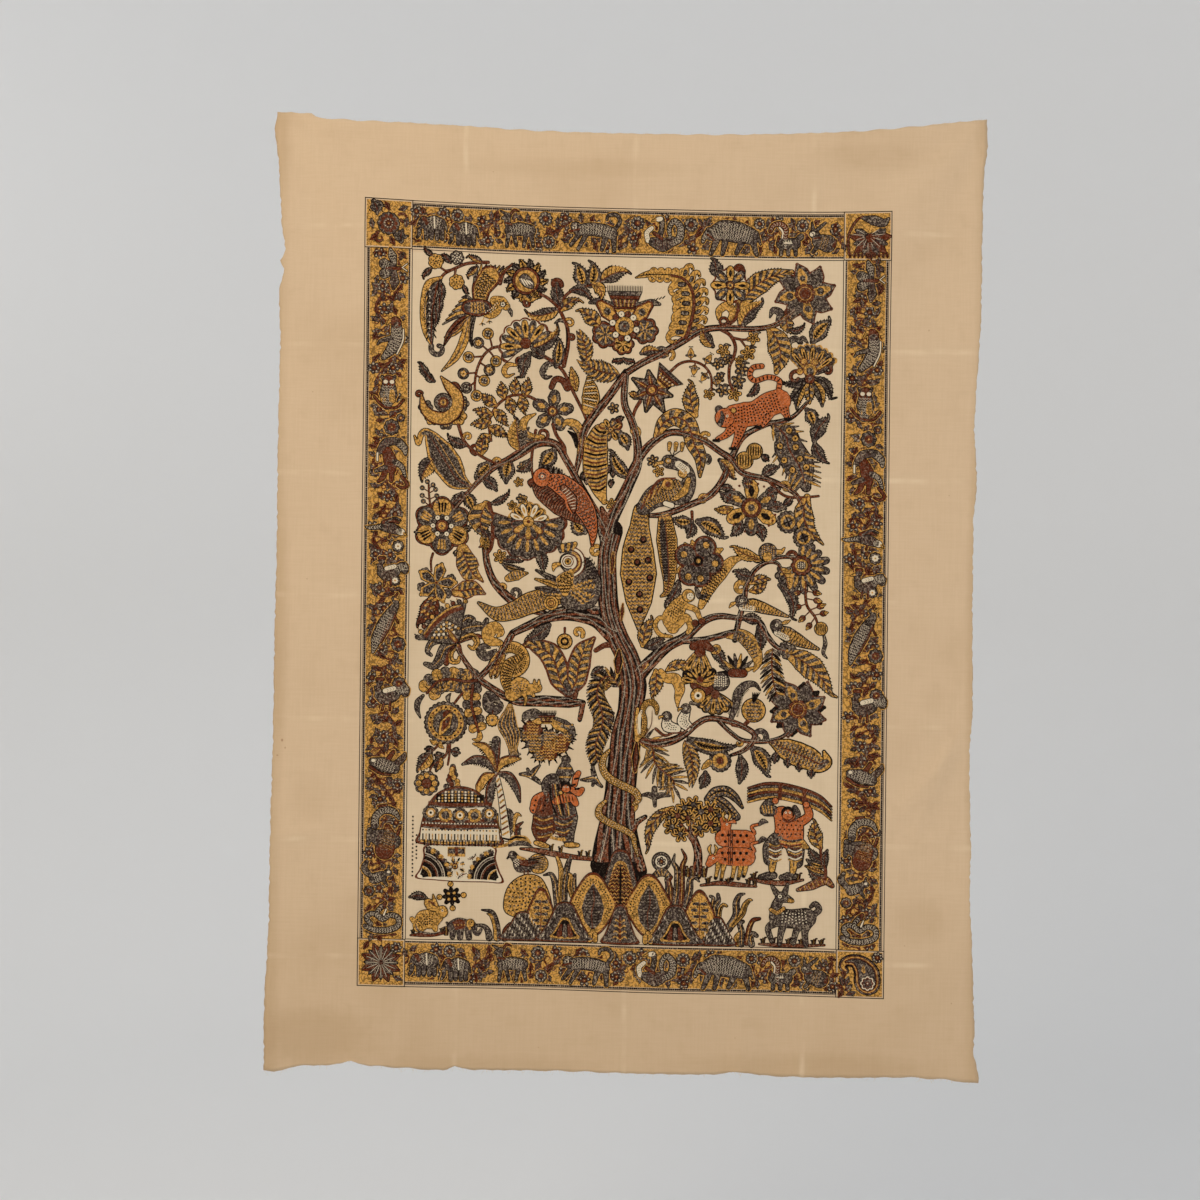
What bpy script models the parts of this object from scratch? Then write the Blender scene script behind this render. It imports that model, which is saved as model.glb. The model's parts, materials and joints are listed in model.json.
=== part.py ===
"""A block-printed and pen-drawn cotton wall panel, hung flat by its top edge.

The panel is one length of plain-woven cotton with no lining, hem or binding, so it is
modelled as one thin closed sheet. The flat cloth is a rectangle. It is moved onto the
shape in which it hangs: pinned high at the two top corners, sagging between them, with
a soft belly, shallow upright folds, a dart of slack in the right margin, and selvedges
and torn ends that wander.

Units are metres. +Z is up, +X is to the viewer's right, and the printed face looks
along -Y. The origin lies in the cloth, just under the middle of the top edge.
"""

import math

import bmesh
import bpy

# The flat cloth.
WIDTH = 1.112
LENGTH = 1.482
THICKNESS = 0.0012
COLUMNS = 38
ROWS = 50

# The origin is this far under the middle of the top edge, inside the cloth.
ORIGIN_BELOW_EDGE = 0.004

# Sag of the top edge between its pinned corners, and how fast it dies out downward.
CORNER_RISE = 0.030
SAG_REACH = 0.15

# How far each edge strays from its straight line, as (place along the edge, stray).
# Places are measured from the origin, and a stray is outward where it is positive.
TOP_STRAY = (
    (-0.560, -0.002), (-0.508, 0.001), (-0.499, -0.005), (-0.447, -0.003),
    (-0.368, 0.000), (-0.262, 0.002), (0.000, 0.000), (0.349, -0.003),
    (0.451, -0.001), (0.525, 0.001), (0.560, 0.001),
)
BOTTOM_STRAY = (
    (-0.562, 0.001), (-0.544, 0.006), (-0.508, -0.004), (-0.457, -0.006),
    (-0.425, -0.014), (-0.394, -0.006), (-0.279, 0.000), (-0.261, -0.007),
    (-0.237, -0.001), (0.146, 0.001), (0.170, -0.003), (0.204, -0.003),
    (0.220, 0.002), (0.370, 0.002), (0.450, 0.000), (0.515, 0.003), (0.562, 0.008),
)
LEFT_STRAY = (
    (0.030, 0.007), (0.000, 0.011), (-0.060, 0.003), (-0.147, -0.003),
    (-0.191, -0.010), (-0.209, -0.002), (-0.224, -0.009), (-0.257, 0.000),
    (-0.320, -0.003), (-0.810, -0.001), (-1.250, 0.003), (-1.374, 0.008),
    (-1.482, 0.007),
)
RIGHT_STRAY = (
    (0.030, 0.002), (-0.018, 0.004), (-0.055, -0.002), (-0.207, -0.004),
    (-0.300, -0.005), (-0.455, -0.012), (-0.540, -0.007), (-0.603, -0.012),
    (-0.900, -0.009), (-0.968, -0.013), (-1.120, -0.008), (-1.192, -0.010),
    (-1.300, -0.003), (-1.410, 0.002), (-1.440, 0.000), (-1.482, 0.009),
)
STRAY_REACH = 0.014

# The belly stands off the wall most below the middle of the top edge.
BELLY = 0.006
BELLY_CENTRE = -0.52
BELLY_HEIGHT = 0.55

# Upright folds: depth, pitch, phase, and how much fainter they are at the top.
FOLD_DEPTH = 0.0032
FOLD_PITCH = 0.41
FOLD_PHASE = 0.7
FOLD_AT_TOP = 0.35

# Drag folds fan out of the two pinned corners.
DRAG_DEPTH = 0.0022
DRAG_COUNT = 9.0
DRAG_REACH = 0.34

# The free edges lift off the wall: depth, and how far in from the edge it reaches.
SIDE_LIFT = 0.0045
SIDE_REACH = 0.045
SIDE_WAVE = 0.31
HEM_LIFTS = ((-0.425, 0.022, 0.004), (0.187, 0.020, 0.005), (0.300, 0.075, 0.007))
HEM_REACH = 0.050

# Ridges of slack, each from one end to the other: x, z, x, z, height, half width.
RIDGES = (
    (0.535, -0.935, 0.413, -1.096, 0.0045, 0.016),
    (0.522, -0.955, 0.445, -1.120, 0.0030, 0.014),
    (0.546, -1.112, 0.414, -1.112, 0.0022, 0.014),
    (-0.556, -1.116, -0.470, -1.108, 0.0020, 0.014),
    (-0.498, 0.012, -0.440, 0.004, 0.0020, 0.012),
)

CLOTH_COLOUR = (0.62, 0.44, 0.25, 1.0)
CLOTH_ROUGHNESS = 0.9


def clear_scene():
    for thing in list(bpy.data.objects):
        bpy.data.objects.remove(thing, do_unlink=True)


def reading(points, place):
    """Value at a place, on straight lines between (place, value) points."""
    ordered = sorted(points)
    if place <= ordered[0][0]:
        return ordered[0][1]
    for (start, low), (end, high) in zip(ordered, ordered[1:]):
        if place <= end:
            return low + (high - low) * (place - start) / (end - start)
    return ordered[-1][1]


def bell(distance, reach):
    return math.exp(-((distance / reach) ** 2))


def ridge_height(x, z, ridge):
    """Height of one ridge of slack, tapering to nothing at both of its ends."""
    x0, z0, x1, z1, height, half_width = ridge
    length = math.hypot(x1 - x0, z1 - z0)
    along = ((x - x0) * (x1 - x0) + (z - z0) * (z1 - z0)) / length
    aside = ((x - x0) * (z1 - z0) - (z - z0) * (x1 - x0)) / length
    if not 0.0 < along < length:
        return 0.0
    return height * math.sin(math.pi * along / length) * bell(aside, half_width)


def corner_drag(x, z, side):
    """Shallow folds that fan out of one pinned top corner."""
    across = side * x - WIDTH / 2
    down = z - CORNER_RISE
    distance = math.hypot(across, down)
    angle = math.atan2(-down, -across)
    rise = distance / DRAG_REACH * math.exp(1.0 - distance / DRAG_REACH)
    return DRAG_DEPTH * rise * math.sin(DRAG_COUNT * angle)


def stand_off(x, z):
    """How far the cloth stands in front of the upright plane through its corners."""
    across = x / (WIDTH / 2)
    down = min(max(-z / LENGTH, 0.0), 1.0)
    depth = BELLY * (1.0 - across**2) * bell(z - BELLY_CENTRE, BELLY_HEIGHT)
    strength = FOLD_AT_TOP + (1.0 - FOLD_AT_TOP) * down
    depth += FOLD_DEPTH * strength * math.sin(math.tau * x / FOLD_PITCH + FOLD_PHASE)
    for side in (-1.0, 1.0):
        depth += corner_drag(x, z, side)
        inward = max(WIDTH / 2 - side * x, 0.0)
        wave = 1.0 + 0.6 * math.sin(math.tau * z / SIDE_WAVE + side)
        depth += SIDE_LIFT * wave * math.exp(-inward / SIDE_REACH) * min(down * 6.0, 1.0)
    for centre, half_width, lift in HEM_LIFTS:
        upward = max(z + LENGTH, 0.0)
        depth += lift * bell(x - centre, half_width) * math.exp(-upward / HEM_REACH)
    for ridge in RIDGES:
        depth += ridge_height(x, z, ridge)
    return depth


def hang(x, y):
    """Where a point of the flat cloth comes to rest. y is 0 at the top edge."""
    half = WIDTH / 2
    from_top = math.exp(y / STRAY_REACH)
    from_bottom = math.exp(-(y + LENGTH) / STRAY_REACH)
    from_left = math.exp(-(x + half) / STRAY_REACH)
    from_right = math.exp(-(half - x) / STRAY_REACH)
    z = y + CORNER_RISE * (x / half) ** 2 * math.exp(y / SAG_REACH)
    z += reading(TOP_STRAY, x) * from_top - reading(BOTTOM_STRAY, x) * from_bottom
    hung_x = x + reading(RIGHT_STRAY, z) * from_right - reading(LEFT_STRAY, z) * from_left
    hung_y = stand_off(0.0, 0.0) - stand_off(hung_x, z)
    return hung_x, hung_y, z + ORIGIN_BELOW_EDGE


def cotton_material():
    material = bpy.data.materials.new("printed_cotton")
    material.use_nodes = True
    shader = material.node_tree.nodes["Principled BSDF"]
    shader.inputs["Base Color"].default_value = CLOTH_COLOUR
    shader.inputs["Roughness"].default_value = CLOTH_ROUGHNESS
    shader.inputs["Metallic"].default_value = 0.0
    return material


def make_cloth(collection):
    bpy.ops.mesh.primitive_grid_add(x_subdivisions=COLUMNS, y_subdivisions=ROWS, size=1.0)
    cloth = bpy.context.object
    cloth.name = "cloth"
    cloth.data.name = "cloth"
    shape = bmesh.new()
    shape.from_mesh(cloth.data)
    for point in shape.verts:
        point.co = hang(point.co.x * WIDTH, (point.co.y - 0.5) * LENGTH)
    shape.to_mesh(cloth.data)
    shape.free()
    cloth.data.shade_smooth()
    cloth.data.materials.append(cotton_material())
    shell = cloth.modifiers.new("cloth_thickness", "SOLIDIFY")
    shell.thickness = THICKNESS
    shell.offset = 0.0
    for holder in list(cloth.users_collection):
        holder.objects.unlink(cloth)
    collection.objects.link(cloth)


def main():
    clear_scene()
    collection = bpy.data.collections.new("kalamkari_panel")
    bpy.context.scene.collection.children.link(collection)
    make_cloth(collection)


main()
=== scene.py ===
"""The looks of a kalamkari wall panel: one length of hand-woven cotton, block printed
and pen drawn with a tree of life, its creatures and a running border, and hung by its
top edge.

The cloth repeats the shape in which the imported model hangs. The print lies on it as one
thin mesh for each dye: ochre, iron grey, orange, russet, madder, iron black for the picture
and for the border, and the cream that wax kept clear. What lies over what is a height above
the cloth, which each drawn shape is given.

Units are metres, apart from the drawing, which is in millimetres on the flat print.
"""

import bisect
import cmath
import json
import math
import random

import bpy
import numpy as np
from mathutils import Matrix, Vector

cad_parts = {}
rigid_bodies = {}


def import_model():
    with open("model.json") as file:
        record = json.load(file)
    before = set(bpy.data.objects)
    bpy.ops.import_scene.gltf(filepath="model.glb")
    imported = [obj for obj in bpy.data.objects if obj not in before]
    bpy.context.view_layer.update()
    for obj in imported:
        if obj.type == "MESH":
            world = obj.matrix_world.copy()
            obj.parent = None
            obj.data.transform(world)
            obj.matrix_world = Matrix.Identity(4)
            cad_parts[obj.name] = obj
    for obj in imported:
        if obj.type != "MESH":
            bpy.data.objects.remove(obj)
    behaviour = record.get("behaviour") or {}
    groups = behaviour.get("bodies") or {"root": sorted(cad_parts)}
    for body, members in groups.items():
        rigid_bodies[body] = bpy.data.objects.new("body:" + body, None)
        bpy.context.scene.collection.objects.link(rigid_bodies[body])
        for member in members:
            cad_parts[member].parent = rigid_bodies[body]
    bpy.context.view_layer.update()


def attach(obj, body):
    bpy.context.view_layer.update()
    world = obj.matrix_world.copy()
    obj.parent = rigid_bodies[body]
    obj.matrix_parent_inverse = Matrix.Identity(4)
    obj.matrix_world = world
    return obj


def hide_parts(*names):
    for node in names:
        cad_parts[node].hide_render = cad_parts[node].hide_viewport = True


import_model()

bl_info = {
    "name": "Kalamkari wall panel",
    "version": (1, 0, 0),
    "blender": (4, 5, 0),
    "location": "View3D > Sidebar > Kalamkari",
    "description": "Builds a hung cotton panel with a block-printed tree of life",
    "category": "Object",
}


def linear(code):
    """The linear colour that a node takes, from an sRGB hex code."""
    parts = [int(code[i:i + 2], 16) / 255 for i in (0, 2, 4)]
    curve = [p / 12.92 if p <= 0.04045 else ((p + 0.055) / 1.055) ** 2.4 for p in parts]
    return (*curve, 1.0)


def colour_property(name, description, code):
    return bpy.props.FloatVectorProperty(
        name=name, description=description, subtype="COLOR", size=4, min=0.0, max=1.0,
        default=linear(code))


def length_property(name, description, default):
    return bpy.props.FloatProperty(
        name=name, description=description, default=default, min=0.0, unit="LENGTH",
        precision=4)


class ClothSettings(bpy.types.PropertyGroup):
    thickness: length_property("Thickness", "How thick the cotton is", 0.0005)
    cell: length_property("Cell", "Size of the faces that carry the folds", 0.0060)
    margin: colour_property("Margin", "Cotton steeped in myrobalan and buffalo milk", "d6ba97")
    field: colour_property("Field", "The washed and paler ground of the picture", "dac3a1")
    # This colour paints real soiling, and also the painted shade that darkens the bottom of the cloth.
    soil_and_shade: colour_property("Soil", "Where handling and damp have darkened the cloth", "a98960")
    crease: colour_property("Crease", "Rubbed lines where the cloth was folded away", "efdab6")
    rust: colour_property("Rust", "Small spots of rust", "8a4e2a")


class DyeSettings(bpy.types.PropertyGroup):
    ochre: colour_property("Ochre", "Pomegranate rind and alum", "cf9948")
    grey: colour_property("Iron grey", "A thin wash of iron liquor", "50433d")
    orange: colour_property("Orange", "Madder on a weak mordant", "c0632f")
    russet: colour_property("Russet", "Madder root over alum, washed thin", "7a3d22")
    madder: colour_property("Madder", "Madder root over alum, with iron", "642a12")
    black: colour_property("Black", "Iron liquor and palm sugar, drawn with a pen", "140a05")
    resist: colour_property("Resist", "Cotton that wax kept clear of dye", "d9c8aa")
    strength: bpy.props.FloatProperty(
        name="Show-through", description="How much of the dye reaches the back of the cloth",
        default=0.42, min=0.0, max=1.0, subtype="FACTOR")


class FraySettings(bpy.types.PropertyGroup):
    thread: length_property("Thread", "How thick a loose warp or weft thread is", 0.00045)
    reach: length_property("Reach", "How far the longest loose threads stand out", 0.0075)
    pitch: length_property("Pitch", "Distance between loose threads along an edge", 0.0028)


class StageSettings(bpy.types.PropertyGroup):
    wall: colour_property("Wall", "Pale distempered plaster of the studio sweep", "e9e9e8")
    distance: length_property("Distance", "From the camera to the cloth", 2.625)
    drop: length_property("Drop", "From the foot of the cloth to the floor", 0.75)
    key: bpy.props.FloatProperty(
        name="Key", description="Power of the large soft light", default=50.0, min=0.0,
        unit="POWER")
    fill: bpy.props.FloatProperty(
        name="Fill", description="Power of the weak light from the right", default=18.0,
        min=0.0, unit="POWER")
    wall_light: bpy.props.FloatProperty(
        name="Wall light", description="Power of the lamp that brightens the wall at the left",
        default=8.0, min=0.0, unit="POWER")
    sky: bpy.props.FloatProperty(
        name="Sky", description="Strength of the even light all round", default=0.95, min=0.0)


# ---------------------------------------------------------------------------
# The hung shape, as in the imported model, with the fine creases that it leaves out.
# ---------------------------------------------------------------------------

WIDTH = 1.112
LENGTH = 1.482
ORIGIN_BELOW_EDGE = 0.004
CORNER_RISE = 0.030
SAG_REACH = 0.15

# How far each edge strays from its straight line: (place along the edge, stray outward).
TOP_STRAY = (
    (-0.560, -0.002), (-0.508, 0.001), (-0.499, -0.005), (-0.447, -0.003),
    (-0.368, 0.000), (-0.262, 0.002), (0.000, 0.000), (0.349, -0.003),
    (0.451, -0.001), (0.525, 0.001), (0.560, 0.001),
)
BOTTOM_STRAY = (
    (-0.562, 0.001), (-0.544, 0.006), (-0.508, -0.004), (-0.457, -0.006),
    (-0.425, -0.014), (-0.394, -0.006), (-0.279, 0.000), (-0.261, -0.007),
    (-0.237, -0.001), (0.146, 0.001), (0.170, -0.003), (0.204, -0.003),
    (0.220, 0.002), (0.370, 0.002), (0.450, 0.000), (0.515, 0.003), (0.562, 0.008),
)
LEFT_STRAY = (
    (0.030, 0.007), (0.000, 0.011), (-0.060, 0.003), (-0.147, -0.003),
    (-0.191, -0.010), (-0.209, -0.002), (-0.224, -0.009), (-0.257, 0.000),
    (-0.320, -0.003), (-0.810, -0.001), (-1.250, 0.003), (-1.374, 0.008),
    (-1.482, 0.007),
)
RIGHT_STRAY = (
    (0.030, 0.002), (-0.018, 0.004), (-0.055, -0.002), (-0.207, -0.004),
    (-0.300, -0.005), (-0.455, -0.012), (-0.540, -0.007), (-0.603, -0.012),
    (-0.900, -0.009), (-0.968, -0.013), (-1.120, -0.008), (-1.192, -0.010),
    (-1.300, -0.003), (-1.410, 0.002), (-1.440, 0.000), (-1.482, 0.009),
)
STRAY_REACH = 0.014

BELLY = 0.006
BELLY_CENTRE = -0.52
BELLY_HEIGHT = 0.55
FOLD_DEPTH = 0.0032
FOLD_PITCH = 0.41
FOLD_PHASE = 0.7
FOLD_AT_TOP = 0.35
DRAG_DEPTH = 0.0022
DRAG_COUNT = 9.0
DRAG_REACH = 0.34
SIDE_LIFT = 0.0045
SIDE_REACH = 0.045
SIDE_WAVE = 0.31
HEM_LIFTS = ((-0.425, 0.022, 0.004), (0.187, 0.020, 0.005), (0.300, 0.075, 0.007))
HEM_REACH = 0.050

# Ridges of slack, each from one end to the other: x, z, x, z, height, half width.
RIDGES = (
    (0.535, -0.935, 0.413, -1.096, 0.0045, 0.016),
    (0.522, -0.955, 0.445, -1.120, 0.0030, 0.014),
    (0.546, -1.112, 0.414, -1.112, 0.0022, 0.014),
    (-0.556, -1.116, -0.470, -1.108, 0.0020, 0.014),
    (-0.498, 0.012, -0.440, 0.004, 0.0020, 0.012),
)

# Lighter creases, which only the fine sheet shows.
FINE_RIDGES = (
    (-0.470, -1.458, -0.350, -1.466, 0.0008, 0.006),
    (-0.462, -1.470, -0.360, -1.474, 0.0006, 0.006),
    (0.500, -0.690, 0.550, -0.690, 0.0010, 0.007),
    (-0.560, -1.116, -0.480, -1.104, 0.0012, 0.008),
    (-0.500, 0.006, -0.430, -0.010, 0.0010, 0.008),
    (0.548, -0.900, 0.460, -1.040, 0.0010, 0.008),
    (0.470, -1.130, 0.552, -1.180, 0.0010, 0.010),
)

# The cloth was kept folded in four across and in eight along.
UPRIGHT_CREASES = (-0.262, 0.005, 0.286)
LEVEL_CREASES = (-0.148, -0.335, -0.538, -0.730, -0.925, -1.115, -1.300)
CREASE_DEPTH = 0.00030
CREASE_REACH = 0.014


def reading(points, place):
    """Value at a place, on straight lines between (place, value) points."""
    places, values = zip(*sorted(points))
    return np.interp(place, places, values)


def bell(distance, reach):
    return np.exp(-((distance / reach) ** 2))


def ridge_height(x, z, ridge):
    """Height of one ridge of slack, tapering to nothing at both of its ends."""
    x0, z0, x1, z1, height, half_width = ridge
    length = math.hypot(x1 - x0, z1 - z0)
    along = ((x - x0) * (x1 - x0) + (z - z0) * (z1 - z0)) / length
    aside = ((x - x0) * (z1 - z0) - (z - z0) * (x1 - x0)) / length
    inside = (along > 0.0) & (along < length)
    return np.where(inside, height * np.sin(np.pi * along / length) * bell(aside, half_width), 0.0)


def corner_drag(x, z, side):
    """Shallow folds that fan out of one held top corner."""
    across = side * x - WIDTH / 2
    down = z - CORNER_RISE
    distance = np.hypot(across, down)
    angle = np.arctan2(-down, -across)
    rise = distance / DRAG_REACH * np.exp(1.0 - distance / DRAG_REACH)
    return DRAG_DEPTH * rise * np.sin(DRAG_COUNT * angle)


def fine_creases(x, z):
    """Storage creases and small wrinkles, as a height that counts forward."""
    depth = sum(ridge_height(x, z, ridge) for ridge in FINE_RIDGES)
    for i, place in enumerate(UPRIGHT_CREASES):
        depth = depth + CREASE_DEPTH * (1, -1)[i % 2] * bell(x - place, CREASE_REACH)
    for i, place in enumerate(LEVEL_CREASES):
        depth = depth + CREASE_DEPTH * (1, -1)[i % 2] * bell(z - place, CREASE_REACH)
    return depth


def stand_off(x, z):
    """How far the cloth stands in front of the upright plane through its corners."""
    across = x / (WIDTH / 2)
    down = np.clip(-z / LENGTH, 0.0, 1.0)
    depth = BELLY * (1.0 - across**2) * bell(z - BELLY_CENTRE, BELLY_HEIGHT)
    strength = FOLD_AT_TOP + (1.0 - FOLD_AT_TOP) * down
    depth = depth + FOLD_DEPTH * strength * np.sin(math.tau * x / FOLD_PITCH + FOLD_PHASE)
    for side in (-1.0, 1.0):
        depth = depth + corner_drag(x, z, side)
        inward = np.maximum(WIDTH / 2 - side * x, 0.0)
        wave = 1.0 + 0.6 * np.sin(math.tau * z / SIDE_WAVE + side)
        depth = depth + SIDE_LIFT * wave * np.exp(-inward / SIDE_REACH) * np.minimum(down * 6.0, 1.0)
    for centre, half_width, lift in HEM_LIFTS:
        upward = np.maximum(z + LENGTH, 0.0)
        depth = depth + lift * bell(x - centre, half_width) * np.exp(-upward / HEM_REACH)
    for ridge in RIDGES:
        depth = depth + ridge_height(x, z, ridge)
    return depth


def hang(x, y):
    """Where points of the flat cloth come to rest. y is 0 at the top edge."""
    half = WIDTH / 2
    from_top = np.exp(y / STRAY_REACH)
    from_bottom = np.exp(-(y + LENGTH) / STRAY_REACH)
    from_left = np.exp(-(x + half) / STRAY_REACH)
    from_right = np.exp(-(half - x) / STRAY_REACH)
    z = y + CORNER_RISE * (x / half) ** 2 * np.exp(y / SAG_REACH)
    z = z + reading(TOP_STRAY, x) * from_top - reading(BOTTOM_STRAY, x) * from_bottom
    hung_x = x + reading(RIGHT_STRAY, z) * from_right - reading(LEFT_STRAY, z) * from_left
    middle = stand_off(np.zeros(1), np.zeros(1))
    hung_y = middle - stand_off(hung_x, z) - fine_creases(hung_x, z)
    return np.stack([hung_x, hung_y, z + ORIGIN_BELOW_EDGE], axis=-1)


# Where the print lies on the flat cloth, in millimetres: it was laid a little askew.
PRINT_WIDE = 831.0
PRINT_TALL = 1235.0
BORDER_WIDE = 76.0
PRINT_LEFT = -417.5
PRINT_FOOT = -1349.3
PRINT_LEAN = -4.0
PRINT_DIP = -0.0115


def on_cloth(u, v):
    """Flat cloth coordinates, in metres, of places on the print in millimetres."""
    x = PRINT_LEFT + PRINT_LEAN * v / PRINT_TALL + u
    y = PRINT_FOOT + v + PRINT_DIP * u
    return x / 1000, y / 1000


# ---------------------------------------------------------------------------
# Drawing with dye. Places are complex numbers in millimetres on the flat print:
# the real part runs right from its left edge, the imaginary part up from its foot.
# ---------------------------------------------------------------------------

DYES = ("ochre", "grey", "orange", "russet", "madder", "black", "border_black", "resist")

# Heights above the cloth, in mm: of the lowest dye, from one dye to the next within a motif,
# and from one motif to the next that lies over it.
FIRST_LIFT = 0.14
SUBLAYER = 0.08
LEVEL = 0.36

# The widest face of a dye that still follows the folds, and the usual pen line.
CELL = 9.0
LINE = 1.25

# Iron black runs fuller from the pen than the other dyes.
BLACK_RUN = 1.25

# Points along a soft curve stand this far apart.
STEP = 3.0

# How much wider iron black dries than the pen lays it, as it creeps along the threads.
CREEP = 1.4


class Print:
    """Gathers flat faces of each dye, with the height in mm at which each point lies."""

    def __init__(self):
        self.points = {dye: [] for dye in DYES}
        self.faces = {dye: [] for dye in DYES}
        self.at_border = False

    def add(self, dye, points, faces, height):
        if dye == "black" and self.at_border:
            dye = "border_black"
        start = len(self.points[dye])
        self.points[dye].extend((z.real, z.imag, height) for z in points)
        self.faces[dye].extend(tuple(start + corner for corner in face) for face in faces)


class Pen:
    """Draws in its own small frame, set on the print at a place, a turn and a size."""

    def __init__(self, sheet, place=0j, turn=0.0, size=1.0, flip=False, level=0, parent=None):
        self.sheet, self.place, self.flip, self.parent = sheet, place, flip, parent
        self.spin = size * cmath.exp(1j * math.radians(turn))
        self.size = size * (parent.size if parent else 1.0)
        self.level = level

    def at(self, place=0j, turn=0.0, size=1.0, flip=False, rise=0):
        return Pen(self.sheet, place, turn, size, flip, self.level + rise, self)

    def put(self, z):
        z = self.place + self.spin * (z.conjugate() if self.flip else z)
        return self.parent.put(z) if self.parent else z

    def height(self, sub):
        return FIRST_LIFT + self.level * LEVEL + sub * SUBLAYER


def read(values, place):
    """Value at a fractional index of a list, or the value itself if it is one number."""
    if isinstance(values, (int, float)):
        return float(values)
    place = min(max(place, 0.0), len(values) - 1.0)
    low = min(int(place), max(len(values) - 2, 0))
    high = min(low + 1, len(values) - 1)
    return values[low] + (values[high] - values[low]) * (place - low)


def smooth(points, spacing=STEP, closed=False):
    """Points on a soft curve through given ones, and their fractional indices."""
    count = len(points)
    spans = count if closed else count - 1
    line, places = [], []
    for i in range(spans):
        b, c = points[i], points[(i + 1) % count]
        a = points[i - 1] if (i or closed) else 2 * b - c
        d = points[(i + 2) % count] if (closed or i + 2 < count) else 2 * c - b
        steps = max(1, math.ceil(abs(c - b) / spacing))
        for k in range(steps):
            t = k / steps
            z = 2 * b + (c - a) * t + (2 * a - 5 * b + 4 * c - d) * t**2
            line.append(0.5 * (z + (3 * b - a - 3 * c + d) * t**3))
            places.append(i + t)
    if not closed:
        line.append(points[-1])
        places.append(count - 1.0)
    return line, places


def lay_band(pen, dye, line, halves, sub):
    """Faces of a band whose middle line and half widths are given, on the print itself."""
    count = len(line)
    cells = max(1, math.ceil(2 * max(halves) / CELL))
    rows = []
    for i, z in enumerate(line):
        along = line[min(i + 1, count - 1)] - line[max(i - 1, 0)]
        side = 1j * along / (abs(along) or 1.0)
        rows.extend(z + side * halves[i] * (1 - 2 * k / cells) for k in range(cells + 1))
    wide = cells + 1
    faces = []
    for i in range(count - 1):
        for k in range(cells):
            corner = i * wide + k
            faces.append((corner, corner + wide, corner + wide + 1, corner + 1))
    pen.sheet.add(dye, rows, faces, pen.height(sub))


def ribbon(pen, dye, points, widths, sub=3, spacing=STEP, round_ends=False, grow=0.0):
    """A band along a soft line. Widths are one number, or one for each point."""
    line, places = smooth([pen.put(z) for z in points], spacing * max(pen.size, 0.6))
    halves = [0.5 * pen.size * read(widths, place) + grow for place in places]
    if round_ends:
        for end, inner, order in ((0, 1, 1), (-1, -2, -1)):
            out = line[end] - line[inner]
            out /= abs(out) or 1.0
            caps = [(line[end] + out * halves[end] * reach, halves[end] * share)
                    for reach, share in ((0.5, 0.86), (0.85, 0.52), (0.99, 0.12))]
            if order == 1:
                line = [z for z, _ in reversed(caps)] + line
                halves = [half for _, half in reversed(caps)] + halves
            else:
                line = line + [z for z, _ in caps]
                halves = halves + [half for _, half in caps]
    lay_band(pen, dye, line, halves, sub)


def stroke(pen, points, weight=LINE, dye="black", sub=3, taper=(0.5, 0.3)):
    """A pen line of one weight on the print, thinning towards its ends."""
    line, places = smooth([pen.put(z) for z in points], STEP)
    last = places[-1] or 1.0
    weight *= BLACK_RUN if dye == "black" else 1.0
    halves = []
    for place in places:
        t = place / last
        start = taper[0] + (1 - taper[0]) * min(t / 0.25, 1.0)
        end = taper[1] + (1 - taper[1]) * min((1 - t) / 0.25, 1.0)
        halves.append(0.5 * weight * min(start, end))
    lay_band(pen, dye, line, halves, sub)


def body(pen, dye, points, widths, edge=1.1, sub=1, rim="black"):
    """A filled band with a dark edge round it, rounded at both ends."""
    if edge:
        ribbon(pen, rim, points, widths, sub - 1, STEP, True, grow=edge * CREEP)
    ribbon(pen, dye, points, widths, sub, STEP, True)


def patch(pen, dye, centre, outline, sub=1, edge=0.0):
    """A filled shape that its centre can see all of, from a closed soft outline."""
    centre = pen.put(centre)
    line, _ = smooth([pen.put(z) for z in outline], 4.0, closed=True)
    if edge:
        under = [z + (z - centre) / (abs(z - centre) or 1.0) * edge * CREEP for z in line]
        fill_star(pen, "black", centre, under, sub - 1)
    fill_star(pen, dye, centre, line, sub)


def fill_star(pen, dye, centre, line, sub):
    rings = max(1, math.ceil(max(abs(z - centre) for z in line) / CELL))
    count = len(line)
    points = [centre]
    for ring in range(1, rings + 1):
        points.extend(centre + (z - centre) * ring / rings for z in line)
    faces = [(0, 1 + i, 1 + (i + 1) % count) for i in range(count)]
    for ring in range(1, rings):
        low, high = 1 + (ring - 1) * count, 1 + ring * count
        for i in range(count):
            j = (i + 1) % count
            faces.append((low + i, high + i, high + j, low + j))
    pen.sheet.add(dye, points, faces, pen.height(sub))


def wheel(pen, dye, centre, radius, sub=1, edge=0.0, rim="black", lobes=0, depth=0.0, turn=0.0):
    """A disc, or with lobes a scalloped one."""
    steps = max(10, 6 * lobes, math.ceil(radius * pen.size * 1.6))
    outline = []
    for i in range(steps):
        angle = math.tau * i / steps
        reach = radius
        if lobes:
            reach *= 1 - depth + depth * abs(math.cos(lobes * (angle - math.radians(turn)) / 2))
        outline.append(centre + cmath.rect(reach, angle))
    middle = pen.put(centre)
    line = [pen.put(z) for z in outline]
    if edge:
        under = [z + (z - middle) / abs(z - middle) * edge * CREEP for z in line]
        fill_star(pen, rim, middle, under, sub - 1)
    fill_star(pen, dye, middle, line, sub)


def dot(pen, place, radius=0.9, dye="black", sub=3):
    """A small round dot. Its radius is on the print, whatever the pen's size."""
    z = pen.put(place)
    points = [z + cmath.rect(radius, math.tau * i / 6) for i in range(6)]
    pen.sheet.add(dye, points, [(0, 1, 2, 3, 4, 5)], pen.height(sub))


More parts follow.
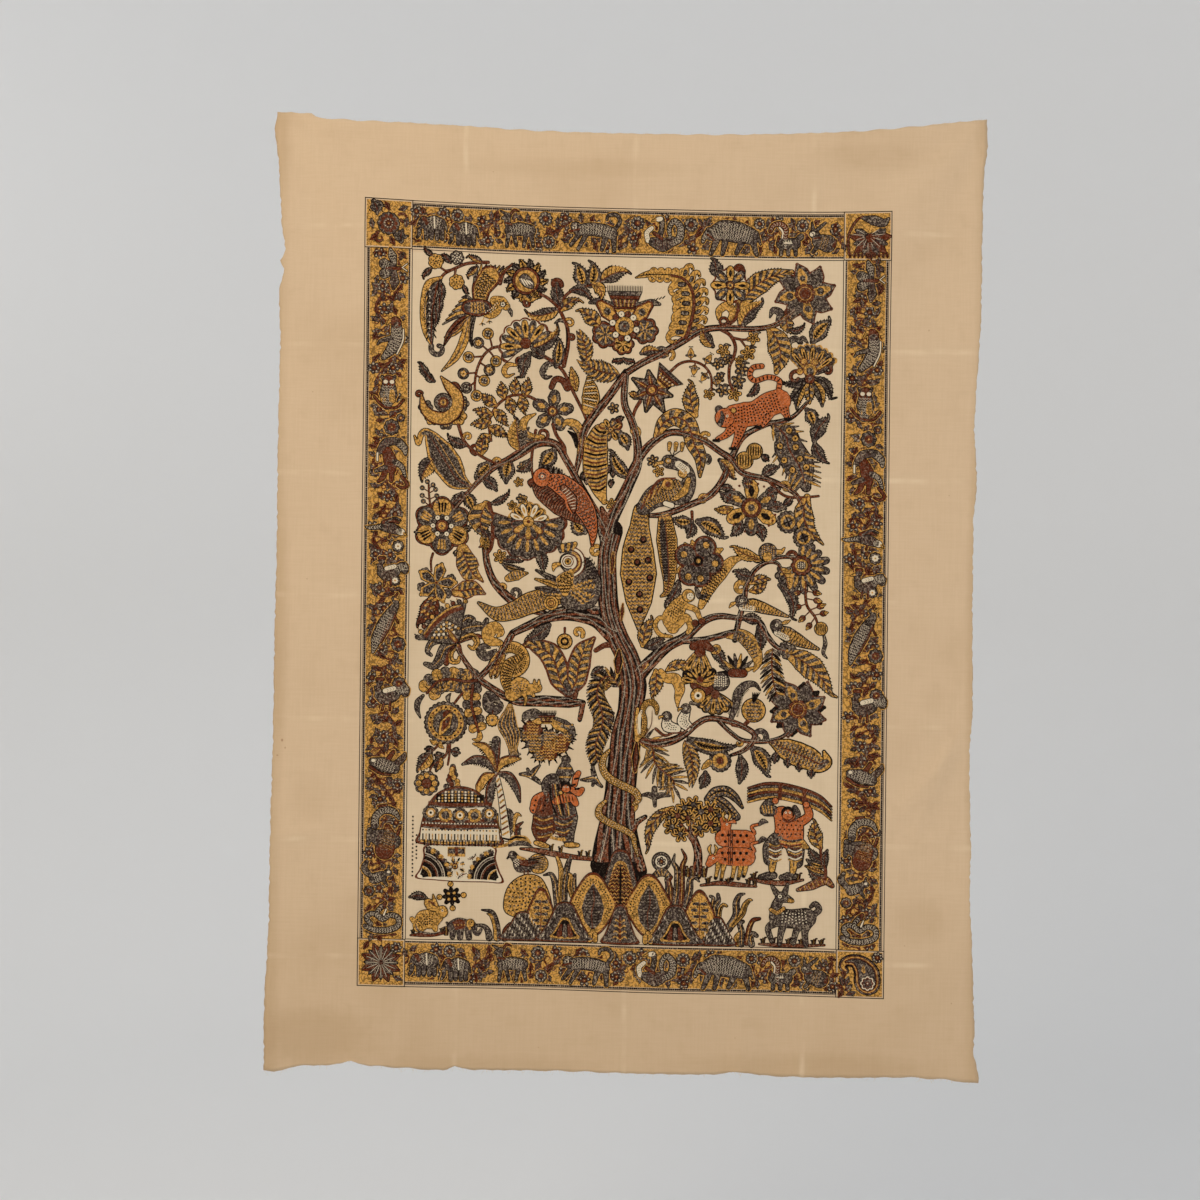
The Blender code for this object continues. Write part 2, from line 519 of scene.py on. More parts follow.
def ring(pen, dye, centre, radius, width, sub=2):
    steps = max(12, math.ceil(radius * pen.size * 1.4))
    middle = pen.put(centre)
    radius *= pen.size
    half = 0.5 * width
    points, faces = [], []
    for i in range(steps):
        arm = cmath.rect(1.0, math.tau * i / steps)
        points.extend((middle + arm * (radius - half), middle + arm * (radius + half)))
        j = 2 * i
        k = (j + 2) % (2 * steps)
        faces.append((j, k, k + 1, j + 1))
    pen.sheet.add(dye, points, faces, pen.height(sub))


def arc(centre, radius, start, end, count=6):
    """Points round part of a circle, angles in degrees."""
    return [centre + cmath.rect(radius, math.radians(start + (end - start) * i / (count - 1)))
            for i in range(count)]


def scroll(start, direction, radius, turn=1, sweep=290):
    """Points of a small closing curl that leaves a place along a direction in degrees."""
    z, heading = start, math.radians(direction)
    points = [z]
    steps = 9
    for i in range(steps):
        share = 1 - 0.62 * i / steps
        step = math.radians(sweep / steps)
        heading += 0.5 * step * turn
        z += cmath.rect(radius * share * step, heading)
        heading += 0.5 * step * turn
        points.append(z)
    return points


# ---------------------------------------------------------------------------
# Motifs: leaves, curls, fruit, flowers and the parts that creatures are made of.
# ---------------------------------------------------------------------------


class Spine:
    """A soft middle line, read by the share of its length, with a width at each point."""

    def __init__(self, points, widths):
        self.line, places = smooth(points, 2.0)
        self.widths = [read(widths, place) for place in places]
        self.lengths = [0.0]
        for a, b in zip(self.line, self.line[1:]):
            self.lengths.append(self.lengths[-1] + abs(b - a))
        self.length = self.lengths[-1]

    def at(self, share, aside=0.0):
        """A place on the line, or aside of it by a number of half widths to the left."""
        want = min(max(share, 0.0), 1.0) * self.length
        i = min(bisect.bisect_left(self.lengths, want), len(self.line) - 1)
        i = max(i, 1)
        step = self.line[i] - self.line[i - 1]
        part = (want - self.lengths[i - 1]) / (abs(step) or 1.0)
        width = self.widths[i - 1] + (self.widths[i] - self.widths[i - 1]) * part
        side = 1j * step / (abs(step) or 1.0)
        return self.line[i - 1] + step * part + side * aside * width / 2

    def points(self, start=0.0, end=1.0, aside=0.0, count=5):
        return [self.at(start + (end - start) * i / (count - 1), aside) for i in range(count)]


def limbs(pen, dye, parts, edge=1.0, sub=1):
    """Several bands that read as one shape with one dark edge."""
    for points, widths in parts:
        ribbon(pen, "black", points, widths, sub - 1, STEP, True, grow=edge)
    for points, widths in parts:
        ribbon(pen, dye, points, widths, sub, STEP, True)


def stipple(pen, points, widths, pitch=2.6, radius=0.75, dye="black", sub=3, reach=0.78):
    """Rows of dots inside a band, set like bricks."""
    spine = Spine(points, widths)
    rows = max(2, round(spine.length * pen.size / pitch))
    for row in range(rows):
        share = (row + 0.5) / rows
        width = abs(spine.at(share, 1) - spine.at(share, -1)) * pen.size
        count = max(1, round(width * reach / pitch))
        for k in range(count):
            aside = reach * (2 * (k + 0.5 + 0.25 * (row % 2)) / count - 1)
            dot(pen, spine.at(share, aside), radius, dye, sub)


def scales(pen, points, widths, pitch=4.0, dye="black", weight=0.9, sub=3, reach=0.9):
    """Rows of small curved marks across a band, like feathers lying on each other."""
    spine = Spine(points, widths)
    rows = max(2, round(spine.length * pen.size / pitch))
    for row in range(rows):
        share = (row + 0.5) / rows
        width = abs(spine.at(share, 1) - spine.at(share, -1)) * pen.size
        count = max(1, round(width * reach / pitch))
        for k in range(count):
            a = reach * (2 * k / count - 1)
            b = reach * (2 * (k + 1) / count - 1)
            tip = spine.at(share + 0.6 / rows, (a + b) / 2)
            stroke(pen, [spine.at(share, a), tip, spine.at(share, b)], weight, dye, sub)


def bars(pen, points, widths, count, dye="black", weight=1.0, sub=3, reach=0.9, slant=0.0):
    """Lines across a band."""
    spine = Spine(points, widths)
    for i in range(count):
        share = (i + 0.5) / count
        ends = [spine.at(share + slant, reach), spine.at(share, 0), spine.at(share + slant, -reach)]
        stroke(pen, ends, weight, dye, sub)


def panels(pen, spine, count, dye, lead=0.10):
    """Every other slanting panel on each side of a midrib."""
    for side in (1, -1):
        for i in range(0 if side > 0 else 1, count, 2):
            start, end = 0.06 + 0.9 * i / count, 0.06 + 0.9 * (i + 1) / count
            near = [spine.at(start), spine.at(end)]
            middle = [spine.at(start + lead * 0.6, 0.5 * side), spine.at(end + lead * 0.6, 0.5 * side)]
            far = [spine.at(start + lead, 0.97 * side), spine.at(end + lead, 0.97 * side)]
            points = [pen.put(z) for z in (*near, *middle, *far)]
            pen.sheet.add(dye, points, [(0, 1, 3, 2), (2, 3, 5, 4)], pen.height(2))
            line = [spine.at(start), spine.at(start + lead * 0.6, 0.5 * side), far[0]]
            stroke(pen, line, 0.8)


# How far the dark teeth of a leaf stand out, in mm.
TOOTH = 2.7


def teeth(pen, spine, count):
    """Small dark points along both edges of a leaf, leaning towards its tip."""
    for i in range(count):
        share = 0.10 + 0.78 * i / count
        along = spine.at(share + 0.02) - spine.at(share)
        along /= abs(along) or 1.0
        for side in (1, -1):
            edge = spine.at(share, side)
            out = (1j * side + 0.8) * along * TOOTH / pen.size
            stroke(pen, [edge - out * 0.3, edge + out], 2.3, "black", 0, (1, 0.15))


def leaf(pen, base, tip, width, kind="veined", bend=0.0, hook=0.0, rib="madder"):
    """A pointed leaf. bend bows its midrib to the left of its run, hook turns its tip."""
    run = tip - base
    points = [base + run * t + 1j * run * 4 * bend * t * (1 - t) for t in (0, 0.25, 0.5, 0.75, 1)]
    if hook:
        points.append(tip + run * 0.12 + 1j * run * hook * 0.22)
    widths = [0.30 * width, 0.86 * width, width, 0.62 * width, 0.16 * width, 0.05 * width]
    spine = Spine(points, widths[:len(points)])
    count = max(4, round(abs(run) * pen.size / 6.5))
    fill = {"striped": "ochre", "ochre": "ochre", "feather": None, "dark": "grey",
            "madder": "madder"}.get(kind, "grey")
    if fill:
        body(pen, fill, points, widths, 1.1)
        teeth(pen, spine, count + 3)
    if kind == "striped":
        panels(pen, spine, 2 * (count // 2) + 2, "grey")
    elif kind == "edged":
        inner = spine.points(0.10, 0.80)
        ribbon(pen, "ochre", inner, [0.15 * width, 0.5 * width, 0.56 * width, 0.36 * width, 0.1], 2)
        for i in range(count):
            share = 0.16 + 0.6 * i / count
            for side in (0.34, -0.34):
                stroke(pen, [spine.at(share), spine.at(share + 0.07, side)], 1.7, "black", 3)
        stroke(pen, spine.points(0.08, 0.82), 1.8, "black", 3)
        return spine
    elif kind == "halved":
        half = [spine.at(t, 0.5) for t in (0.04, 0.25, 0.5, 0.75, 0.95)]
        ribbon(pen, "ochre", half, [0.12 * width, 0.42 * width, 0.5 * width, 0.3 * width, 0.05], 2)
        for i in range(count + 1):
            share = 0.10 + 0.75 * i / count
            stroke(pen, [spine.at(share), spine.at(share + 0.1, 0.9)], 0.9)
            stroke(pen, [spine.at(share), spine.at(share + 0.1, -0.9)], 1.0)
    elif kind == "dark":
        stipple(pen, points, widths, 3.0, 0.85)
        stroke(pen, spine.points(0.05, 0.9), 1.5, rib)
        return spine
    elif kind == "feather":
        barbs = max(6, round(abs(run) * pen.size / 5.0))
        for i in range(barbs):
            share = 0.04 + 0.86 * i / barbs
            for side in (1, -1):
                dye = ("ochre", "grey")[(i + (side > 0)) % 2]
                root, end = spine.at(share), spine.at(share + 0.15, 1.18 * side)
                middle = spine.at(share + 0.05, 0.62 * side)
                body(pen, dye, [root, middle, end], [2.6, 3.8, 0.4], 0.7)
    else:
        for i in range(count + 1):
            share = 0.08 + 0.78 * i / count
            for side in (0.86, -0.86):
                stroke(pen, [spine.at(share), spine.at(share + 0.12, side)], 0.95)
    stroke(pen, spine.points(0.0, 0.92), 1.7, rib, 4)
    return spine


def hooked(pen, points, width, dye="grey", sub=1):
    """A small leaf or spur with a hooked tip, along its own points."""
    swell = (0.4, 1, 0.8, 0.1)
    widths = [width * read(swell, 3 * i / (len(points) - 1)) for i in range(len(points))]
    body(pen, dye, points, widths, 0.9, sub)


def curl(pen, start, direction, radius, width=4.0, dye="madder", turn=1):
    """A scroll that closes on itself, thinner towards its eye."""
    points = scroll(start, direction, radius, turn)
    widths = [width * (1 - 0.25 * i / len(points)) for i in range(len(points))]
    body(pen, dye, points, widths, 0.8)


def berry(pen, centre, radius, outer="ochre", inner="grey"):
    wheel(pen, outer, centre, radius, 1, 1.0)
    wheel(pen, inner, centre, radius * 0.62, 2, 0.0, lobes=5, depth=0.2)
    ring(pen, "black", centre, radius * 0.66, 0.8, 3)
    dot(pen, centre, 1.2)
    for i in range(4):
        dot(pen, centre + cmath.rect(radius * 0.4, i * 1.6 + 0.5), 0.7, "resist", 4)


def blossom(pen, centre, radius, dye="ochre", lobes=7, spots="black"):
    """A round head of small petals, freckled all over."""
    wheel(pen, dye, centre, radius, 1, 1.1, lobes=lobes, depth=0.14)
    for reach, count in ((0.0, 1), (0.36, 5), (0.66, 9)):
        for i in range(count):
            place = centre + cmath.rect(radius * reach, math.tau * i / count + reach)
            dot(pen, place, 1.15 if reach else 1.5, spots)
    for i in range(lobes):
        angle = math.tau * i / lobes
        ends = [centre + cmath.rect(radius * share, angle) for share in (0.72, 0.98)]
        stroke(pen, ends, 0.9)


def petal(pen, base, tip, width, dye="grey", rim="black", edge=1.0, eye=None, sub=1, pointed=False):
    """One petal from its base out to its tip, with a spot of another dye if eye is given."""
    run = tip - base
    points = [base + run * t for t in (0.0, 0.35, 0.7, 0.93)]
    shape = (0.35, 0.8, 1.0, 0.25) if pointed else (0.35, 0.75, 1.0, 0.8)
    body(pen, dye, points, [width * share for share in shape], edge, sub, rim)
    if eye:
        spot = [base + run * t for t in (0.42, 0.62, 0.8)]
        ribbon(pen, eye, spot, [width * 0.22, width * 0.46, width * 0.3], sub + 1, 2.0, True)


def rosette(pen, centre, radius, petals=8, dyes=("grey", "ochre"), heart="madder", turn=0.0,
            inner=0.34):
    """A round flower of like petals about a ringed heart."""
    width = math.tau * radius * 0.66 / petals * 0.86
    for i in range(petals):
        arm = cmath.exp(1j * (math.tau * i / petals + math.radians(turn)))
        dye = dyes[i % len(dyes)]
        petal(pen, centre + arm * radius * 0.2, centre + arm * radius, width, dye, "black", 1.0,
              "black" if dye == "ochre" else "ochre")
    wheel(pen, heart, centre, radius * inner, 2, 0.9)
    wheel(pen, "ochre", centre, radius * inner * 0.66, 3)
    wheel(pen, "grey", centre, radius * inner * 0.36, 4)
    for i in range(10):
        dot(pen, centre + cmath.rect(radius * inner * 0.82, math.tau * i / 10), 0.7)


def fan(pen, base, direction, radius, spread=150, petals=7, dyes=("grey", "ochre"), rim="madder",
        band="resist", heart="madder"):
    """A half-open flower: petals spread from a heart, inside a scalloped rim."""
    outline = [base]
    steps = 8 * petals
    for i in range(steps + 1):
        share = i / steps
        angle = math.radians(direction + spread * (share - 0.5))
        scallop = 1.0 - 0.07 * (1 - abs(math.sin(math.pi * petals * share)))
        outline.append(base + cmath.rect(radius * scallop, angle))
    middle = base + cmath.rect(radius * 0.45, math.radians(direction))
    patch(pen, rim, middle, outline, 0, 0.0)
    shrunk = [middle + (z - middle) * (1 - 4.6 / radius) for z in outline]
    patch(pen, band, middle, shrunk, 1)
    for i in range(petals):
        angle = math.radians(direction + (spread - 14) * ((i + 0.5) / petals - 0.5))
        arm = cmath.exp(1j * angle)
        width = 0.8 * radius * 0.7 * math.radians(spread) / petals
        dye = dyes[i % len(dyes)]
        petal(pen, base + arm * radius * 0.22, base + arm * radius * 0.86, width, dye, "black", 0.8,
              "black" if dye == "ochre" else "ochre", 3)
    wheel(pen, heart, base + cmath.rect(radius * 0.12, math.radians(direction)), radius * 0.18, 4, 0.8)


def star_flower(pen, centre, radius, petals=8, turn=0.0):
    """A large open flower with pointed petals, each with a coloured edge and an eye."""
    for i in range(petals):
        arm = cmath.exp(1j * (math.tau * i / petals + math.radians(turn)))
        width = 0.60 * radius * (8 / petals)
        base, tip = centre + arm * radius * 0.25, centre + arm * radius
        swing = 1j * arm * radius * 0.10
        points = [base, base + arm * radius * 0.3, base + arm * radius * 0.52 + swing * 0.3, tip + swing]
        shape = (0.5, 1.0, 0.75, 0.06)
        body(pen, "grey", points, [width * 0.9 * s for s in shape], 1.7, rim="madder")
        eye = "grey" if i % 2 else "ochre"
        ribbon(pen, eye, points[:3], [width * 0.3, width * 0.55, width * 0.3], 2, 2.0, True)
        wheel(pen, "grey", centre + arm * radius * 0.52, width * 0.17, 3, 0.7)
    wheel(pen, "madder", centre, radius * 0.34, 3, 0.8, lobes=petals, depth=0.12, turn=turn)
    ring(pen, "ochre", centre, radius * 0.22, 1.2, 4)
    for i in range(9):
        dot(pen, centre + cmath.rect(radius * 0.15, math.tau * i / 9), 0.9, "grey", 4)
        dot(pen, centre + cmath.rect(radius * 0.28, math.tau * i / 9), 0.7, "ochre", 4)


def crown(pen, base, direction, foot, top, height, comb=True):
    """A flaring basket of banded rows, with a comb of fine spikes on its top."""
    up = cmath.exp(1j * math.radians(direction))
    side = -1j * up
    bands = (("ochre", 0.00, 0.16), ("madder", 0.16, 0.26), ("grey", 0.26, 0.62),
             ("madder", 0.62, 0.80), ("grey", 0.80, 1.0))
    axis = [base, base + up * height * 0.5, base + up * height]
    ribbon(pen, "black", axis, [foot, (foot + top) / 2, top], 0, 3.0, grow=1.1)
    for dye, low, high in bands:
        ends = [base + up * height * low, base + up * height * high]
        ribbon(pen, dye, ends, [foot + (top - foot) * low, foot + (top - foot) * high], 1)
        wide = (foot + (top - foot) * high) / 2
        stroke(pen, [ends[1] - side * wide, ends[1] + side * wide], 0.9, "black", 3, (1, 1))
    count = max(4, round(top / 5))
    for i in range(count):
        share = (i + 0.5) / count * 2 - 1
        low = base + up * height * 0.28 + side * share * (foot + (top - foot) * 0.28) * 0.46
        high = base + up * height * 0.60 + side * share * (foot + (top - foot) * 0.60) * 0.46
        ribbon(pen, "ochre" if i % 2 else "madder", [low, high], top / count * 0.45, 2)
        dot(pen, (low + high) / 2, 0.9, "black", 3)
    if comb:
        spikes = round(top / 2.6)
        for i in range(spikes + 1):
            foot_at = base + up * height + side * (i / spikes - 0.5) * top
            stroke(pen, [foot_at, foot_at + up * height * 0.30], 0.9, "black", 3, (1, 0.1))


def stem(pen, points, width=3.0, edge=0.5, taper=0.7):
    """A twig that thins towards its end."""
    count = len(points) - 1
    widths = [width * (1 - (1 - taper) * i / count) for i in range(count + 1)]
    body(pen, "madder", points, widths, edge)


def bud(pen, base, tip, width, dye="ochre", calyx="grey"):
    """A closed bud in its calyx."""
    run = tip - base
    body(pen, dye, [base + run * t for t in (0.3, 0.6, 0.95)], [width, width * 0.8, width * 0.15], 0.9)
    for side in (1, -1):
        points = [base, base + run * 0.25 + 1j * run * 0.18 * side, base + run * 0.6 + 1j * run * 0.30 * side]
        body(pen, calyx, points, [width * 0.3, width * 0.5, 0.3], 0.8, 2)
    stroke(pen, [base + run * 0.35, base + run * 0.85], 1.0)


def tuft(pen, base, height, blades=3):
    """Blades of grass with bent tips."""
    for i in range(blades):
        side = (i + 0.5) / blades * 2 - 1
        reach = height * (0.7 + 0.3 * ((i * 7) % 3) / 2)
        foot = base + side * height * 0.18
        points = [foot, foot + reach * (0.5j + 0.08 * side), foot + reach * (0.88j + 0.25 * side),
                  foot + reach * (0.9j + 0.48 * side)]
        dye = ("grey", "ochre", "madder")[i % 3]
        body(pen, dye, points, [height * 0.09, height * 0.13, height * 0.08, 0.3], 0.8)
        stroke(pen, points[:3], 0.8)


def line_of(*numbers):
    """Places from numbers that run right and up by turns."""
    return [complex(u, v) for u, v in zip(numbers[::2], numbers[1::2])]


def leaves(pen, *rows):
    """Leaves by base, tip, width and kind, then bend and hook if they have them."""
    for u0, v0, u1, v1, width, kind, *turns in rows:
        leaf(pen, complex(u0, v0), complex(u1, v1), width, kind, *turns)


def curls(pen, *rows):
    """Curls by place, direction, radius, width, dye and the way that they turn."""
    for u, v, direction, radius, width, dye, turn in rows:
        curl(pen, complex(u, v), direction, radius, width, dye, turn)


def stems(pen, *rows):
    """Twigs by width and the places on them."""
    for width, *numbers in rows:
        stem(pen, line_of(*numbers), width)


def spurs(pen, *rows):
    """Small hooked leaves by width, dye and the places on them."""
    for width, dye, *numbers in rows:
        hooked(pen, line_of(*numbers), width, dye)


def rounds(pen, *rows):
    """Small round flowers by place, radius, number of petals and main dye."""
    for u, v, radius, petals, dye in rows:
        other = "grey" if dye == "ochre" else "ochre"
        rosette(pen, complex(u, v), radius, petals, (dye, other) if petals > 7 else (dye,),
                "madder", turn=u, inner=0.3)


def fringe(pen, points, widths, length=3.0, pitch=2.2):
    """Short hairs along the edges of a band."""
    spine = Spine(points, widths)
    count = max(3, round(spine.length / pitch))
    for side in (1, -1):
        for i in range(count):
            root = spine.at((i + 0.5) / count, side * 0.95)
            out = root - spine.at((i + 0.5) / count)
            out /= abs(out) or 1.0
            stroke(pen, [root, spine.at((i + 0.9) / count, side) + out * length * 0.8], 1.0, "black", 0,
                   (1, 0.2))


# ---------------------------------------------------------------------------
# The picture, motif by motif, from the top left of the field down.
# ---------------------------------------------------------------------------


def blossom_spray(pen):
    """Blossoms on a twig, with the long layered leaf that hangs from it and its scroll."""
    stem(pen, [195 + 1144j, 178 + 1143j, 160 + 1140j, 143 + 1132j, 128 + 1124j, 120 + 1114j,
               113 + 1100j], 4.6)
    stem(pen, [135 + 1129j, 128 + 1128j, 121 + 1132j], 3)
    stem(pen, [144 + 1130j, 143 + 1121j], 3)
    blossom(pen, 113 + 1142j, 11.5, "ochre")
    blossom(pen, 146 + 1149j, 10.5, "grey", spots="resist")
    blossom(pen, 146 + 1111j, 11.5, "ochre")
    for base, tip, width, kind, hook in (
        (108 + 1150j, 95 + 1160j, 6, "veined", -1), (106 + 1131j, 93 + 1118j, 7, "veined", 1),
        (136 + 1141j, 125 + 1153j, 8, "veined", 1), (157 + 1106j, 162 + 1094j, 5, "veined", 1),
        (185 + 1144j, 165 + 1153j, 8, "halved", 1), (178 + 1136j, 163 + 1122j, 9, "halved", 1),
    ):
        leaf(pen, base, tip, width, kind, hook=hook)
    body(pen, "ochre", [122 + 1117j, 102 + 1107j, 95 + 1082j, 94 + 1052j, 98 + 1030j, 106 + 1012j],
         [3, 9, 9, 8, 6, 1], 1.0)
    stipple(pen, [110 + 1112j, 98 + 1100j, 94 + 1070j, 97 + 1035j], 6, 3.4, 1.0)
    body(pen, "grey", [120 + 1113j, 106 + 1092j, 103 + 1062j, 105 + 1036j, 107 + 1012j],
         [4, 15, 16, 12, 2], 1.2)
    for i in range(8):
        high = 1102 - 10 * i
        stroke(pen, [108 + high * 1j, 101 + (high - 9) * 1j, 99 + (high - 15) * 1j], 1.8)
        stroke(pen, [110 + (high - 2) * 1j, 115 + (high - 10) * 1j], 1.8)
        dot(pen, 104 + (high - 5) * 1j, 1.3, "resist", 4)
    for root, end in ((120 + 1110j, 121 + 1078j), (118 + 1090j, 116 + 1058j),
                      (112 + 1072j, 112 + 1040j)):
        leaf(pen.at(rise=1), root, end, 9, "dark", 0.08)
    stroke(pen, [119 + 1116j, 113 + 1092j, 108 + 1060j, 107 + 1012j], 2.6, "madder", 4)
    curl(pen, 107 + 1010j, 255, 11, 7, "grey", 1)


def berry_spray(pen):
    """Round berries on a bowed twig that grows out of the shell flower."""
    fan(pen, 258 + 1014j, 118, 46, 205, 9)
    leaf(pen, 267 + 1012j, 306 + 1040j, 20, "halved", -0.10, 1)
    leaf(pen, 262 + 1003j, 252 + 967j, 18, "dark", -0.12, -1)
    blossom(pen, 275 + 1006j, 10, "grey", 5)
    hooked(pen, [241 + 984j, 228 + 984j, 222 + 974j, 227 + 966j, 238 + 970j], 8, "ochre")
    curl(pen, 250 + 985j, 200, 7, 3, "madder", -1)
    stem(pen, [212 + 1012j, 202 + 1009j, 190 + 998j, 181 + 980j, 177 + 962j, 176 + 942j], 3.6)
    for root, at, outer, inner in (
        (203 + 1010j, 196 + 1032j, "ochre", "grey"), (198 + 1004j, 181 + 1017j, "grey", "ochre"),
        (188 + 996j, 166 + 994j, "ochre", "grey"), (200 + 1003j, 209 + 989j, "ochre", "grey"),
        (186 + 985j, 199 + 975j, "grey", "ochre"), (178 + 970j, 158 + 968j, "grey", "ochre"),
        (178 + 966j, 191 + 958j, "ochre", "grey"), (176 + 955j, 163 + 946j, "grey", "grey"),
        (176 + 945j, 179 + 934j, "ochre", "grey"),
    ):
        stem(pen, [root, (root + at) / 2 + 1, at], 2.2, edge=0.4)
        berry(pen, at, 8.2, outer, inner)


def medallion_flower(pen):
    """A ringed seed head in a wreath of pointed leaves."""
    centre = 255 + 1117j
    for i in range(14):
        arm = cmath.exp(1j * (math.tau * i / 14 + 0.2))
        leaf(pen, centre + arm * 18, centre + arm * 33 * cmath.exp(0.25j), 10,
             ("veined", "ochre")[i % 2], 0.12, 0.8, rib="black")
    up = pen.at(rise=1)
    wheel(up, "madder", centre, 21, 1, 1.1)
    wheel(up, "ochre", centre, 17, 2)
    patch(up, "grey", 256 + 1116j, [244 + 1120j, 254 + 1128j, 266 + 1116j, 266 + 1106j, 254 + 1108j], 4, 0.9)
    for i in range(4):
        stroke(up, [247 + 4 * i + (1121 - i) * 1j, 254 + 4 * i + (1109 + i) * 1j], 2.2, "resist", 5)
    blossom(up, 268 + 1098j, 6, "ochre", 5)
    hooked(pen, [275 + 1093j, 262 + 1088j, 250 + 1092j, 240 + 1090j], 7, "ochre")
    curl(pen, 256 + 1088j, 200, 6, 5, "madder", 1)


def left_stems(pen):
    """The stem that carries the medallion, the three tall leaves and the curls on it."""
    stem(pen, [316 + 985j, 322 + 1018j, 321 + 1045j, 314 + 1062j, 305 + 1078j, 290 + 1091j,
               276 + 1098j], 6, taper=0.6)
    stem(pen, [309 + 1072j, 312 + 1088j, 322 + 1100j, 336 + 1108j, 352 + 1112j, 378 + 1123j], 4.5)
    stroke(pen, [318 + 1000j, 321 + 1030j, 319 + 1046j], 1.6, "black", 2)
    leaf(pen, 345 + 1111j, 335 + 1145j, 24, "edged", -0.05, 0.7)
    leaf(pen, 356 + 1113j, 360 + 1147j, 23, "edged", -0.12, 0.9)
    leaf(pen, 374 + 1121j, 413 + 1137j, 24, "halved", 0.08, -0.7)
    leaf(pen, 360 + 1115j, 374 + 1094j, 17, "ochre", 0.22, -1)
    leaf(pen, 326 + 1104j, 357 + 1092j, 14, "dark", 0.22, -0.6)
    leaf(pen, 309 + 1082j, 303 + 1117j, 18, "dark", 0.06, 0.8)
    curl(pen, 311 + 1112j, 88, 8, 6.5, "madder", 1)
    leaf(pen, 309 + 1072j, 338 + 1090j, 16, "striped", 0.10, -1)
    leaf(pen, 306 + 1074j, 261 + 1064j, 19, "halved", 0.10, -0.9)
    curl(pen, 319 + 1058j, 40, 7, 3.4, "ochre", -1)
    hooked(pen, [317 + 1054j, 309 + 1057j, 301 + 1052j], 5, "grey")
    curl(pen, 323 + 1032j, 60, 5, 4, "madder", -1)
    leaf(pen, 304 + 984j, 308 + 1026j, 18, "edged", -0.06, 0.9)
    hooked(pen, [302 + 988j, 290 + 986j, 283 + 975j, 288 + 966j, 297 + 968j], 10, "grey")
    for i in range(4):
        dot(pen, 288 + 2 * i + (972 + 4.5 * i) * 1j, 1.3, "resist", 4)
    body(pen, "madder", [322 + 950j, 314 + 962j, 303 + 963j, 297 + 951j], [9, 8, 8, 7], 1.0)
    leaf(pen, 336 + 948j, 328 + 982j, 13, "ochre")
    leaf(pen, 405 + 974j, 338 + 998j, 30, "feather", 0.10)
    leaf(pen.at(rise=1), 352 + 992j, 337 + 1043j, 21, "feather", -0.08)
    leaf(pen, 371 + 1050j, 342 + 1074j, 23, "striped", -0.05, 0.7)


def crowned_lotus(pen):
    """The large flower with a flaring fringed crown and a ring of beads about its heart."""
    centre = 411 + 1050j
    hearts = pen.at(rise=1)
    for at, dye, radius in ((381 + 1036j, "grey", 21), (443 + 1044j, "grey", 21), (409 + 1022j, "ochre", 17)):
        wheel(pen, "madder", at, radius, 1, 1.3, lobes=7, depth=0.16)
        wheel(pen, dye, at, radius - 3.5, 2, lobes=7, depth=0.16)
        for i in range(7):
            arm = cmath.rect(1, math.tau * i / 7 + 0.3)
            spot = "black" if dye == "ochre" else "ochre"
            ribbon(pen, spot, [at + arm * 3, at + arm * (radius * 0.6)], [1.2, 3.6], 3, 2.0, True)
    for side in (-1, 1):
        at = 411 + side * 27 + 1073j
        points = [411 + side * 14 + 1058j, at, 411 + side * 38 + 1084j]
        for i in range(9):
            root = 411 + side * (16 + 5.4 * i) + (1082 + 1.6 * i) * 1j
            stroke(pen, [root, root + side * 5 + 5j], 1.4, "black", 1, (1, 0.1))
        body(pen, "grey", [411 + side * 22 + 1082j, 411 + side * 42 + 1088j, 411 + side * 55 + 1086j],
             [10, 10, 3], 1.0)
        body(pen, "madder", points, [12, 24, 14], 1.0, 2)
        ribbon(pen, "ochre", points, [9, 19, 8], 3, 3.0, True)
        wheel(pen, "grey", at, 5.5, 4, 0.8)
        dot(pen, at, 1.6, "black", 5)
    crown(pen, 411 + 1072j, 90, 27, 54, 33)
    wheel(hearts, "ochre", centre, 14.5, 2, 0.9)
    wheel(hearts, "grey", centre, 9, 3, 0.9, lobes=14, depth=0.12)
    wheel(hearts, "madder", centre, 2.6, 4)
    for i in range(12):
        at = centre + cmath.rect(19.5, math.tau * i / 12 + 0.26)
        wheel(hearts, ("madder", "resist")[i % 2], at, 4.6, 2, 0.8)
        dot(hearts, at, 1.0, ("grey", "black")[i % 2], 3)
    for side in (-1, 1):
        leaf(pen, 410 + 999j, 410 + side * 16 + 996j, 7, "veined", -0.2 * side, -side)


